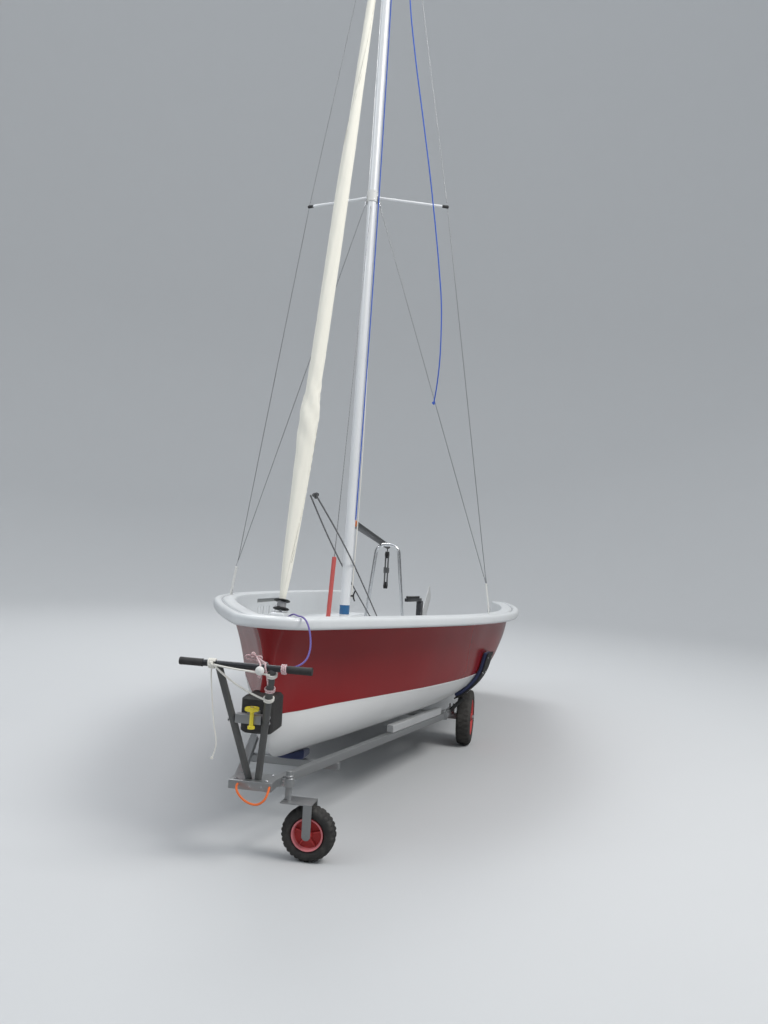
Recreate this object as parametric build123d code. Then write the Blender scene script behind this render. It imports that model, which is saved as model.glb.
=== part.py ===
from build123d import *
import math
import os

# A sailing dinghy of 4.95 m with its mast up, standing on its launching trolley.
# Millimetres. +X points to the bow, +Y to port, +Z up, and Z = 0 is the ground.
# Lengths along the boat are "aft" values, counted from the tip of the bow rim, and
# place() turns (aft, port, up) into the model's own coordinates.

# Hull length, and where the tip of the bow rim lies in the model
HULL_LENGTH = 4950
BOW_X = 2785.5

# Rim in plan: the points (aft, half-breadth) that its tangent arcs pass through
RIM_NOSE = (126, 203)
RIM_SHOULDER = (1420, 757)
RIM_WIDEST = (2870, 1014)
RIM_QUARTER_HALF = 829
QUARTER_RADIUS = 60

# Rim in profile: its top lies in one plane that falls from the bow to the transom
SHEER_BOW = 1083
SHEER_SLOPE = 0.0515
RIM_PLATE = 30
RIM_WIDTH = 135
LIP_DEPTH = 54
LIP_WIDTH = 42
LIP_ROUND = 15
GROOVE_WIDTH = 16
GROOVE_DEPTH = 6
RIM_OVERHANG = 85

# Boot line between the red topsides and the white bottom
BOOT_BOW = 624
BOOT_SLOPE = 0.036

# Hull sections: aft, keel height, deadrise in degrees, bilge start (port, up), bilge end
HULL_SECTIONS = (
    (90, 590, 45, 12, 608, 30, 750),
    (170, 440, 40, 22, 466, 60, 640),
    (300, 385, 30, 48, 418, 115, 620),
    (550, 345, 22, 95, 388, 200, 600),
    (950, 310, 15, 190, 368, 355, 600),
    (1500, 283, 10, 350, 363, 565, 600),
    (2200, 260, 6, 560, 373, 765, 600),
    (2900, 247, 4, 660, 405, 875, 635),
    (3400, 244, 4, 655, 405, 872, 635),
    (3900, 247, 4, 630, 405, 850, 630),
    (HULL_LENGTH, 265, 3, 520, 400, 720, 600),
)
STEM_TOP_HALF = 60

# Deck moulding inside the rim, as depths under the rim's top
LINER_WALL = 8
LINER_FIT = 0.3
FOREDECK_DROP = 110
FOREDECK_END = 1960
BENCH_DROP = 200
SOLE_HEIGHT = 505
FOOTWELL_HALF = 440
FOOTWELL_CORNER = 90
SLOT_START = 2880
SLOT_LENGTH = 620
SLOT_DROP = 42
SLOT_HEIGHT = 26
RIB_COUNT = 8
RIB_PITCH = 76
RIB_WIDTH = 34
RIB_DROP = 86
RIB_HEIGHT = 76
RECESS_DEPTH = 5

# Centreboard, raised into its case
CASE_START = 2090
CASE_LENGTH = 900
CASE_WIDTH = 70
CASE_TOP = 730
BOARD_THICKNESS = 26
BOARD_LENGTH = 820
BOARD_SLOT = 836
BOARD_FOOT = 275
BOARD_HEAD = 765
BOARD_CORNER = 60
BOARD_SIDE_GAP = 3
BOARD_PIN = 16
BOARD_PIVOT_INSET = 120
BOARD_PIVOT_HEIGHT = 640

# Mast and standing rigging
MAST_STEP_AFT = 1677
MAST_STEP_HEIGHT = 24
STEP_LENGTH = 130
STEP_WIDTH = 90
STEP_CORNER = 18
MAST_LENGTH = 6500
MAST_CHORD = 72
MAST_WIDTH = 60
MAST_TOP_SCALE = 0.7
SAIL_TRACK_WIDTH = 5
SAIL_TRACK_DEPTH = 9
SAIL_TRACK_START = 900
SPREADER_HEIGHT = 2666
SPREADER_SWEEP = 166
SPREADER_HALF = 456
SPREADER_DIAMETER = 16
SPREADER_BOOT = 20
SPREADER_COLLAR = 70
COLLAR_WALL = 5
HOUNDS_HEIGHT = 5025
HOUNDS_COLLAR = 44
WIRE_DIAMETER = 4
CHAINPLATE_AFT = 2051
CHAINPLATE_INSET = 72
CHAINPLATE_LENGTH = 44
CHAINPLATE_THICKNESS = 5
CHAINPLATE_RISE = 34
CHAINPLATE_HOLE = 8
CHAINPLATE_HOLE_RISE = 14
ADJUSTER_LAP = 8
ADJUSTER_LENGTH = 170
ADJUSTER_WIDTH = 32
ADJUSTER_THICKNESS = 10
WIRE_SPACING = 18

# Forestay with its furled headsail
FORESTAY_AFT = 242
BOW_BLOCK_HEIGHT = 122
BOW_BLOCK_LENGTH = 150
BOW_BLOCK_WIDTH = 92
BOW_BLOCK_CORNER = 20
BOW_BLOCK_TAPER = 5
TOGGLE_DIAMETER = 14
TOGGLE_LENGTH = 14
DRUM_DIAMETER = 78
DRUM_HEIGHT = 44
DRUM_FLANGE = 5
DRUM_CORE = 34
STAY_DIAMETER = 6
STAY_FIT = 0.1
ROLL_TOP_GAP = 480
ROLL_PROFILE = (
    (0, 30),
    (0.031, 52),
    (0.09, 72),
    (0.162, 92),
    (0.208, 106),
    (0.249, 82),
    (0.5, 80),
    (0.642, 62),
    (0.795, 51),
    (1, 30),
)

# Inner stay with its red cover
INNER_STAY_AFT = 1240
INNER_EYE_HEIGHT = 30
EYE_BASE = 46
EYE_BASE_THICKNESS = 5
EYE_POST = 12
INNER_COVER_LENGTH = 380
INNER_COVER_DIAMETER = 26

# Boom, lying a little to starboard as it was left
GOOSENECK_HEIGHT = 606
PIN_DIAMETER = 8
PIN_FIT = 0.06
BARREL_DIAMETER = 22
BARREL_LENGTH = 40
LUG_THICKNESS = 6
LUG_GAP = 0.4
PIN_STANDOFF = 20
LIFT_PIN_REACH = 36
TONGUE_THICKNESS = 10
BOOM_DIAMETER = 48
BOOM_LENGTH = 2523
BOOM_CAP = 30
BOOM_TRACK = 6
BECKET_DROP = 26
BECKET_THICKNESS = 6
BOOM_SWING = -4.8
BOOM_DROOP = 1.8
FORK_REACH = 26
FORK_CHEEK = 5
CHEEK_GAP = 1
BACK_PLATE = 4

# Sheet hoop across the cockpit
HOOP_AFT = 3110
HOOP_TOP = 1360
HOOP_DIAMETER = 25
HOOP_CORNER_HALF = 82
HOOP_FOOT_HALF = 172
HOOP_RADIUS = 72
HOOP_FLANGE = 70
HOOP_FLANGE_THICKNESS = 6

# Rudder: head on the transom, blade raised
PINTLE_AFT = HULL_LENGTH + 42
PINTLE_DIAMETER = 10
PINTLE_HEIGHTS = (318, 452)
GUDGEON_THICKNESS = 12
GUDGEON_WIDTH = 30
HEAD_FOOT = 300
HEAD_TOP = 770
HEAD_FRONT = PINTLE_AFT + 20
HEAD_LENGTH = 150
HEAD_SPINE = 14
HEAD_CROWN = 40
HEAD_CORNER = 36
PINTLE_LUG = 10
PINTLE_GAP = 0.5
PINTLE_PROUD = 8
CHEEK_THICKNESS = 8
BLADE_THICKNESS = 24
BLADE_FIT = 2
BLADE_HEAD = 52
BLADE_NECK = 200
BLADE_CHORD = 210
BLADE_REACH = 830
BLADE_LIFT = 30
BLADE_PIVOT = (HEAD_FRONT + 74, 420)
BLADE_PIN = 12
TILLER_SECTION = 30
TILLER_LENGTH = 900
TILLER_RISE = 4
TILLER_SEAT = 4
TILLER_LAP = 95
EXTENSION_DIAMETER = 20
EXTENSION_LENGTH = 760

# Launching trolley
BEAM_SECTION = 40
BEAM_FRONT = (0, 80, 346)
BEAM_KNEE = (2200, 600, 280)
BEAM_TAIL = (2670, 600, 226)
KNEE_LENGTH = 90
KNEE_WALL = 4
AXLE_AFT = 2650
AXLE_HEIGHT = 190
HALF_TRACK = 700
TYRE_RADIUS = 190
TYRE_WIDTH = 100
TYRE_BEAD = 122
TYRE_SHOULDER = 26
STUB_DIAMETER = 25
HUB_DIAMETER = 54
WHEEL_HUB = 92
HUB_GAP = 6
RUNNING_FIT = 0.06
WEB_THICKNESS = 8
RIM_WALL = 6
STUB_NUT = 34
NUT_THICKNESS = 8
CROSS_AFT = 620
PAD_LENGTH = 120
PAD_WIDTH = 150
BUNK_START = 1300
BUNK_END = 2080
BUNK_WIDTH = 44
BUNK_HEIGHT = 46
CRADLE_AFT = 2420
CRADLE_WIDTH = 120
CRADLE_PAD = 32
CRADLE_STRAP = 8
CRADLE_LOW = 640
CRADLE_HIGH = 930
CRADLE_TOP = 700
POST_DIAMETER = 26
POST_FOOT = (612, 262)
POST_TOP = (700, 362)
NOSE_MIDDLE = -15
NOSE_LENGTH = 150
NOSE_WIDTH = 200
HANDLE_FOOT = (-40, 22, 366)
HANDLE_TOP = (-250, 120, 896)
HANDLE_TUBE = 32
BAR_DIAMETER = 28
BAR_HALF = 293
GRIP_DIAMETER = 34
GRIP_LENGTH = 105
SNUBBER_FOOT = 565
SNUBBER_HEIGHT = 165
SNUBBER_WIDTH = 150
SNUBBER_FRONT = -52
SNUBBER_BACK = 118
BRACKET_HEIGHT = 655
REEL_PORT = 20
REEL_FOOT = 618
REEL_NECK = 18
REEL_PROFILE = ((0, 0), (16, 0), (16, 12), (9, 16), (9, 72), (31.5, 78), (31.5, 93), (0, 93))
JOCKEY_AXIS = (52, 140)
JOCKEY_TRAIL = 105
JOCKEY_RADIUS = 124
JOCKEY_WIDTH = 85
JOCKEY_BEAD = 74
JOCKEY_AXLE = 16
JOCKEY_STEM = 30
JOCKEY_CLEARANCE = 10
JOCKEY_CHEEK = 51.5
JOCKEY_HUB = 40
JOCKEY_CLAMP_FOOT = 322
JOCKEY_CLAMP_HEIGHT = 40
JOCKEY_CLAMP_LENGTH = 48
JOCKEY_CLAMP_HALF = 26
JOCKEY_COLLAR = 44
JOCKEY_COLLAR_HEIGHT = 10
JOCKEY_STEM_TOP = 392
FORK_PLATE = 6
FORK_LEG = 40

# Free ropes: routes as (aft, port, up) points, from where each one leaves the boat or trolley
BOW_LINE_DIAMETER = 8
BOW_LINE = (
    (242, 34, 1060), (222, 56, 1074), (176, 84, 1086), (112, 118, 1085), (50, 166, 1088),
    (4, 200, 1060), (-48, 226, 1016), (-104, 243, 970), (-158, 243, 930), (-200, 222, 908),
    (-220, 192, 899), (-230, 168, 897),
)
HANDLE_TAIL_DIAMETER = 6
HANDLE_TAIL = (
    (-250, -150, 884), (-253, -149, 856), (-259, -143, 806), (-262, -134, 748), (-261, -129, 690),
    (-264, -119, 634), (-262, -106, 580), (-259, -107, 534), (-262, -121, 496),
)
STROP_DIAMETER = 10
STROP = (
    (-90, -56, 350), (-116, -54, 346), (-134, -42, 326), (-138, -16, 300), (-137, 16, 283),
    (-135, 52, 279), (-132, 82, 299), (-116, 93, 331), (-90, 90, 349),
)
HALYARD_DIAMETER = 8
HALYARD = (
    (1931, 29, 6004), (1912, 40, 5992), (1899, 50, 5962), (1887, 62, 5905), (1875, 79, 5816),
    (1864, 94, 5712), (1853, 104, 5604), (1841, 112, 5494), (1830, 119, 5383), (1819, 128, 5271),
    (1809, 138, 5160), (1799, 147, 5048), (1790, 157, 4937), (1782, 169, 4826), (1774, 183, 4715),
    (1768, 200, 4605), (1762, 219, 4496), (1757, 238, 4386), (1754, 258, 4277), (1750, 279, 4168),
    (1747, 300, 4059), (1745, 320, 3950), (1742, 340, 3841), (1741, 360, 3732), (1742, 379, 3622),
    (1743, 396, 3513), (1746, 414, 3403), (1750, 430, 3294), (1755, 446, 3185), (1761, 460, 3076),
    (1769, 474, 2966), (1777, 483, 2857), (1788, 486, 2748), (1802, 487, 2642), (1822, 484, 2545),
    (1846, 476, 2462), (1875, 467, 2396), (1903, 457, 2345), (1926, 447, 2300),
)
KNOT_SCALE = 1.3
KNOT_GAP = 0.3
ARC_SHARE = 0.45

RIM_TILT = math.degrees(math.atan(SHEER_SLOPE))
RIM_PLANE = Plane(
    origin=(BOW_X, 0, SHEER_BOW),
    x_dir=(math.cos(math.radians(RIM_TILT)), 0, math.sin(math.radians(RIM_TILT))),
    z_dir=(-math.sin(math.radians(RIM_TILT)), 0, math.cos(math.radians(RIM_TILT))),
)
RIM_RUN = HULL_LENGTH / math.cos(math.radians(RIM_TILT))
PAST_TRANSOM = 400
FAR = 3 * HULL_LENGTH
LOW = (Align.CENTER, Align.CENTER, Align.MIN)


def place(aft, port, up):
    """Point of the model for a distance aft of the bow rim, to port and above the ground."""
    return Vector(BOW_X - aft, port, up)


def sheer(aft):
    """Height of the rim's top."""
    return SHEER_BOW - SHEER_SLOPE * aft


def rod(start, end, diameter, bore=0):
    """Round bar, or a tube where a bore is given, from one point to another."""
    axis = end - start
    plane = Plane(origin=start, z_dir=axis)
    bar = plane * Cylinder(diameter / 2, axis.length, align=LOW)
    if bore:
        bar -= plane * Cylinder(bore / 2, axis.length, align=LOW)
    return bar


def beam(start, end, width, height):
    """Rectangular bar from one point to another, its sides level."""
    axis = end - start
    across = axis.cross(Vector(0, 0, 1))
    plane = Plane(origin=start, x_dir=across, z_dir=axis)
    return extrude(plane * Rectangle(width, height), axis.length)


def block(aft, port, up, length, width, height):
    """Plain block, by the middle of its underside."""
    return Location(place(aft, port, up)) * Box(length, width, height, align=LOW)


def pair(shape):
    """The shape and its mirror image on the other side of the boat, as two solids."""
    other = mirror(shape, about=Plane.XZ)
    return Compound(children=[*shape.solids(), *other.solids()])


def turned(profile, origin, axis, x_dir):
    """Profile in (radius, along) coordinates turned about an axis through the origin."""
    face = make_face(Polyline(*profile, close=True))
    solid = revolve(Plane.XZ * face, axis=Axis.Z)
    return Plane(origin=origin, x_dir=x_dir, z_dir=axis) * solid


def rim_outline(inset=0, past=0):
    """Rim outline in its own plane: tangent arcs each side, set in evenly, run on past the transom."""
    widest = Vector(-RIM_WIDEST[0], RIM_WIDEST[1])
    shoulder = Vector(-RIM_SHOULDER[0], RIM_SHOULDER[1])
    nose = Vector(-RIM_NOSE[0], RIM_NOSE[1])
    quarter = Vector(-RIM_RUN, RIM_QUARTER_HALF)
    entry = TangentArc(widest, shoulder, tangent=(1, 0))
    bow = TangentArc(shoulder, nose, tangent=entry % 1)
    heading = bow % 1
    radius = nose.Y / heading.X
    tip = Vector(nose.X + radius * heading.Y + radius, 0)
    run = TangentArc(widest, quarter, tangent=(-1, 0))
    edges = [entry, bow, TangentArc(nose, tip, tangent=heading), run]
    if past:
        end = quarter + (run % 1) * past
        edges.append(Line(quarter, end))
        quarter = end
    edges.append(Line(quarter, Vector(quarter.X, 0)))
    half = Curve() + edges
    face = make_face(half + mirror(half, about=Plane.XZ))
    if inset:
        face = offset(face, -inset, kind=Kind.INTERSECTION)
    return face


def under_rim(face, top, bottom):
    """Face drawn in the rim's plane, made solid between two depths under that plane."""
    return extrude(RIM_PLANE * Pos(0, 0, -bottom) * face, bottom - top)


def rim_half(aft):
    """Half-breadth of the rim at a distance aft, read from its outline."""
    line = Edge.make_line((-aft, 0, 0), (-aft, 2 * RIM_WIDEST[1], 0))
    return sum(edge.length for edge in (OUTLINE & line).edges())


def hull_section(aft, keel, deadrise, start_y, start_z, end_y, end_z):
    """One hull section: bottom, bilge and topside arcs, each tangent to the last."""
    top_y = max(rim_half(aft) - RIM_OVERHANG, STEM_TOP_HALF)
    top_z = sheer(aft)
    heading = (math.cos(math.radians(deadrise)), math.sin(math.radians(deadrise)))
    bottom = TangentArc((0, keel), (start_y, start_z), tangent=heading)
    bilge = TangentArc((start_y, start_z), (end_y, end_z), tangent=bottom % 1)
    side = TangentArc((end_y, end_z), (top_y, top_z), tangent=bilge % 1)
    half = Curve() + [bottom, bilge, side, Line((top_y, top_z), (0, top_z))]
    face = make_face(half + mirror(half, about=Plane.YZ))
    return Plane(origin=(BOW_X - aft, 0, 0), x_dir=(0, 1, 0), z_dir=(1, 0, 0)) * face


def across_band(start, end, bottom_start, bottom_end, top):
    """Slab right across the boat: from one aft value to another, with a sloping underside."""
    corners = (
        (BOW_X - start, bottom_start),
        (BOW_X - end, bottom_end),
        (BOW_X - end, top),
        (BOW_X - start, top),
    )
    return extrude(Plane.XZ * make_face(Polyline(*corners, close=True)), FAR / 2, both=True)


def wells(spread):
    """The room inside the rim: foredeck well, cockpit and footwell, each grown by spread."""
    inner = rim_outline(RIM_WIDTH - spread, PAST_TRANSOM)
    past = HULL_LENGTH + PAST_TRANSOM / 2
    fore = under_rim(inner, -FOREDECK_DROP, FOREDECK_DROP + spread)
    fore &= across_band(-PAST_TRANSOM, FOREDECK_END - spread, 0, 0, FAR)
    cockpit = under_rim(inner, -FOREDECK_DROP, BENCH_DROP + spread)
    cockpit &= across_band(FOREDECK_END - spread, past, 0, 0, FAR)
    length = past - FOREDECK_END + spread
    corner = FOOTWELL_CORNER + spread
    foot = Rectangle(length, 2 * (FOOTWELL_HALF + spread))
    foot = fillet(foot.vertices().group_by(Axis.X)[-1], corner)
    middle = place(FOREDECK_END - spread + length / 2, 0, SOLE_HEIGHT - spread)
    foot = extrude(Plane(origin=middle) * foot, sheer(0) - SOLE_HEIGHT)
    return fore, cockpit + foot


def recesses():
    """Stowage slots and the ribbed panels under them, cut into the cockpit's side walls."""
    ring = rim_outline(RIM_WIDTH - RECESS_DEPTH, PAST_TRANSOM)
    ring -= rim_outline(RIM_WIDTH + RECESS_DEPTH, PAST_TRANSOM)
    slot = under_rim(ring, SLOT_DROP, SLOT_DROP + SLOT_HEIGHT)
    slot &= across_band(SLOT_START, SLOT_START + SLOT_LENGTH, 0, 0, FAR)
    panel = under_rim(ring, RIB_DROP, RIB_DROP + RIB_HEIGHT)
    cuts = [slot]
    for index in range(RIB_COUNT):
        start = SLOT_START + index * RIB_PITCH
        cuts.append(panel & across_band(start, start + RIB_WIDTH, 0, 0, FAR))
    return Part() + cuts


OUTLINE = rim_outline()
MAST_PLANE = Plane(
    origin=RIM_PLANE.from_local_coords(Vector(-MAST_STEP_AFT, 0, MAST_STEP_HEIGHT - FOREDECK_DROP)),
    x_dir=RIM_PLANE.x_dir,
    z_dir=RIM_PLANE.z_dir,
)


def rim():
    """Gunwale: a flat plate with a rolled outer lip and a shallow groove inside the lip."""
    corners = OUTLINE.vertices().group_by(Axis.X)[0]
    edge = fillet(corners, QUARTER_RADIUS)
    ring = under_rim(edge, 0, LIP_DEPTH)
    ring = fillet(ring.edges().filter_by(GeomType.CIRCLE), LIP_ROUND)
    ring -= under_rim(rim_outline(LIP_WIDTH, PAST_TRANSOM), RIM_PLATE, 2 * LIP_DEPTH)
    ring -= under_rim(rim_outline(RIM_WIDTH, PAST_TRANSOM), -RIM_PLATE, 2 * LIP_DEPTH)
    groove = rim_outline(LIP_WIDTH, PAST_TRANSOM)
    groove -= rim_outline(LIP_WIDTH + GROOVE_WIDTH, PAST_TRANSOM)
    ring -= under_rim(groove, -RIM_PLATE, GROOVE_DEPTH)
    return ring


def hull_parts():
    """Hull in its two colours, and the deck moulding inside the rim."""
    whole = loft([hull_section(*row) for row in HULL_SECTIONS], ruled=True)
    inside = under_rim(Rectangle(FAR, FAR), RIM_PLATE, FAR)
    whole &= inside
    fore_in, cockpit_in = wells(0)
    fore_out, cockpit_out = wells(LINER_WALL)
    fore_cut, cockpit_cut = wells(LINER_WALL + LINER_FIT)
    slot = board_slot()
    hollow = whole - fore_cut - cockpit_cut - slot
    ahead, past = -PAST_TRANSOM, HULL_LENGTH + PAST_TRANSOM
    above = across_band(ahead, past, BOOT_BOW - BOOT_SLOPE * ahead, BOOT_BOW - BOOT_SLOPE * past, FAR)
    trim = inside & across_band(ahead, HULL_LENGTH, 0, 0, FAR)
    foredeck = (fore_out - fore_in - cockpit_out) & trim
    liner = (cockpit_out - cockpit_in - fore_in - recesses() - slot) & trim
    return whole, hollow & above, hollow - above, foredeck, liner


def board_slot():
    """Slot for the centreboard, right through the bottom, the sole and the case."""
    middle = CASE_START + CASE_LENGTH / 2
    return block(middle, 0, 0, BOARD_SLOT, BOARD_THICKNESS + 2 * BOARD_SIDE_GAP, SHEER_BOW)


def centreboard_parts():
    """Case with its slot, and the board raised into it on its pivot pin."""
    middle = CASE_START + CASE_LENGTH / 2
    case = block(middle, 0, SOLE_HEIGHT, CASE_LENGTH, CASE_WIDTH, CASE_TOP - SOLE_HEIGHT)
    case = fillet(case.edges().filter_by(Axis.Z), CASE_WIDTH / 2 - 1)
    pivot = place(CASE_START + BOARD_PIVOT_INSET, 0, BOARD_PIVOT_HEIGHT)
    half = Vector(0, CASE_WIDTH / 2, 0)
    pin = rod(pivot - half, pivot + half, BOARD_PIN)
    board = block(middle, 0, BOARD_FOOT, BOARD_LENGTH, BOARD_THICKNESS, BOARD_HEAD - BOARD_FOOT)
    board = fillet(board.edges().filter_by(Axis.Y).group_by(Axis.Z)[-1], BOARD_CORNER)
    return case - board_slot() - pin, board + pin


def mast_point(height, ahead=0, port=0):
    """Point by the mast: height up from its foot, ahead of its centre line and to port."""
    return MAST_PLANE.from_local_coords(Vector(ahead, port, height))


def mast_core(wall=0):
    """The mast's oval, solid and thicker by a wall, for trimming what meets the mast."""
    oval = Ellipse(MAST_CHORD / 2 + wall, MAST_WIDTH / 2 + wall)
    return extrude(MAST_PLANE * oval, HOUNDS_HEIGHT + HOUNDS_COLLAR)


def mast_parts():
    """Mast, its step and the two collars that carry the spreaders and the rigging."""
    footprint = Pos(-MAST_STEP_AFT, 0) * RectangleRounded(STEP_LENGTH, STEP_WIDTH, STEP_CORNER)
    step = under_rim(footprint, FOREDECK_DROP - MAST_STEP_HEIGHT, FOREDECK_DROP)
    oval = Ellipse(MAST_CHORD / 2, MAST_WIDTH / 2)
    small = Ellipse(MAST_TOP_SCALE * MAST_CHORD / 2, MAST_TOP_SCALE * MAST_WIDTH / 2)
    straight = HOUNDS_HEIGHT + HOUNDS_COLLAR
    mast = mast_core()
    mast += loft([MAST_PLANE * Pos(0, 0, straight) * oval, MAST_PLANE * Pos(0, 0, MAST_LENGTH) * small])
    track = Pos((SAIL_TRACK_DEPTH - MAST_CHORD) / 2, 0, SAIL_TRACK_START) * Box(
        SAIL_TRACK_DEPTH, SAIL_TRACK_WIDTH, HOUNDS_HEIGHT - SAIL_TRACK_START, align=LOW)
    mast -= MAST_PLANE.location * track
    sleeve = Ellipse(MAST_CHORD / 2 + COLLAR_WALL, MAST_WIDTH / 2 + COLLAR_WALL) - oval
    collars = []
    for middle, length in ((SPREADER_HEIGHT, SPREADER_COLLAR), (HOUNDS_HEIGHT, HOUNDS_COLLAR)):
        collars.append(extrude(MAST_PLANE * Pos(0, 0, middle - length / 2) * sleeve, length))
    return step, mast, *collars


def rigging_parts():
    """Spreaders, chainplates, shroud adjusters, and the upper and lower shrouds."""
    core = mast_core(COLLAR_WALL)
    beside = MAST_WIDTH / 2 + COLLAR_WALL + WIRE_DIAMETER / 4
    tip = mast_point(SPREADER_HEIGHT, -SPREADER_SWEEP, SPREADER_HALF)
    spreader = rod(mast_point(SPREADER_HEIGHT), tip, SPREADER_DIAMETER) - core
    spreader += Location(tip) * Sphere(SPREADER_BOOT / 2)
    half = rim_half(CHAINPLATE_AFT) - CHAINPLATE_INSET
    base = RIM_PLANE.location * Pos(-CHAINPLATE_AFT, half, 0)
    plate = Box(CHAINPLATE_LENGTH, CHAINPLATE_THICKNESS, CHAINPLATE_RISE, align=LOW)
    plate = fillet(plate.edges().filter_by(Axis.Y).group_by(Axis.Z)[-1], CHAINPLATE_HOLE)
    plate -= Pos(0, 0, CHAINPLATE_HOLE_RISE) * Rot(90, 0, 0) * Cylinder(
        CHAINPLATE_HOLE / 2, 2 * CHAINPLATE_THICKNESS)
    plate = base * plate
    low = (base * Pos(0, 0, CHAINPLATE_RISE - ADJUSTER_LAP)).position
    along = (tip - low).normalized()
    fore = along.cross(Vector(0, -1, 0)).normalized()
    adjuster = Plane(origin=low, x_dir=fore, z_dir=along) * Box(
        ADJUSTER_WIDTH, ADJUSTER_THICKNESS, ADJUSTER_LENGTH, align=LOW)
    adjuster -= plate
    high = low + along * (ADJUSTER_LENGTH - WIRE_DIAMETER)
    step = fore * (WIRE_SPACING / 2)
    path = Polyline(high - step, tip, mast_point(HOUNDS_HEIGHT, 0, beside))
    wire = Plane(origin=path @ 0, z_dir=path % 0) * Circle(WIRE_DIAMETER / 2)
    upper = sweep(wire, path=path, transition=Transition.ROUND)
    lower = rod(high + step, mast_point(SPREADER_HEIGHT - WIRE_SPACING, 0, beside), WIRE_DIAMETER)
    upper, lower = upper - adjuster - core, lower - adjuster - core
    return pair(spreader - upper), pair(plate), pair(adjuster), pair(upper), pair(lower)


def forestay_parts():
    """Bow block, forestay, furling drum and the headsail rolled round the stay."""
    base = RIM_PLANE.location * Pos(-FORESTAY_AFT, 0, -FOREDECK_DROP)
    footprint = RectangleRounded(BOW_BLOCK_LENGTH, BOW_BLOCK_WIDTH, BOW_BLOCK_CORNER)
    bow_block = base * extrude(footprint, BOW_BLOCK_HEIGHT, taper=BOW_BLOCK_TAPER)
    foot = (base * Pos(0, 0, BOW_BLOCK_HEIGHT)).position
    head = mast_point(HOUNDS_HEIGHT, MAST_CHORD / 2 + COLLAR_WALL + WIRE_DIAMETER / 4)
    along = (head - foot).normalized()
    stay = rod(foot, head, STAY_DIAMETER) - mast_core(COLLAR_WALL + STAY_FIT)
    stay += rod(foot - along * TOGGLE_LENGTH, foot + along * TOGGLE_LENGTH, TOGGLE_DIAMETER)
    stay -= bow_block
    bore, core, flange = STAY_DIAMETER / 2 + STAY_FIT, DRUM_CORE / 2, DRUM_DIAMETER / 2
    rise = DRUM_HEIGHT - DRUM_FLANGE
    profile = (
        (bore, 0), (flange, 0), (flange, DRUM_FLANGE), (core, DRUM_FLANGE),
        (core, rise), (flange, rise), (flange, DRUM_HEIGHT), (bore, DRUM_HEIGHT))
    drum = turned(profile, foot + along * TOGGLE_LENGTH, along, Vector(0, 1, 0))
    start = TOGGLE_LENGTH + DRUM_HEIGHT
    length = (head - foot).length - ROLL_TOP_GAP - start
    profile = [(diameter / 2, start + share * length) for share, diameter in ROLL_PROFILE]
    profile = [(bore, start), *profile, (bore, start + length)]
    return bow_block, stay, drum, turned(profile, foot, along, Vector(0, 1, 0))


def inner_stay_parts():
    """Deck eye, the inner stay from it to the mast, and the stay's red cover."""
    base = RIM_PLANE.location * Pos(-INNER_STAY_AFT, 0, -FOREDECK_DROP)
    eye = Cylinder(EYE_BASE / 2, EYE_BASE_THICKNESS, align=LOW)
    eye = base * (eye + Cylinder(EYE_POST / 2, INNER_EYE_HEIGHT, align=LOW))
    start = (base * Pos(0, 0, INNER_EYE_HEIGHT)).position
    head = mast_point(SPREADER_HEIGHT - SPREADER_COLLAR, MAST_CHORD / 2 + WIRE_DIAMETER / 4)
    along = (head - start).normalized()
    wire = rod(start - along * WIRE_DIAMETER, head, WIRE_DIAMETER) - eye - mast_core()
    cover = rod(start - along * WIRE_DIAMETER, start + along * INNER_COVER_LENGTH,
                INNER_COVER_DIAMETER, WIRE_DIAMETER + 2 * STAY_FIT)
    return eye, wire, cover - eye


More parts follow.
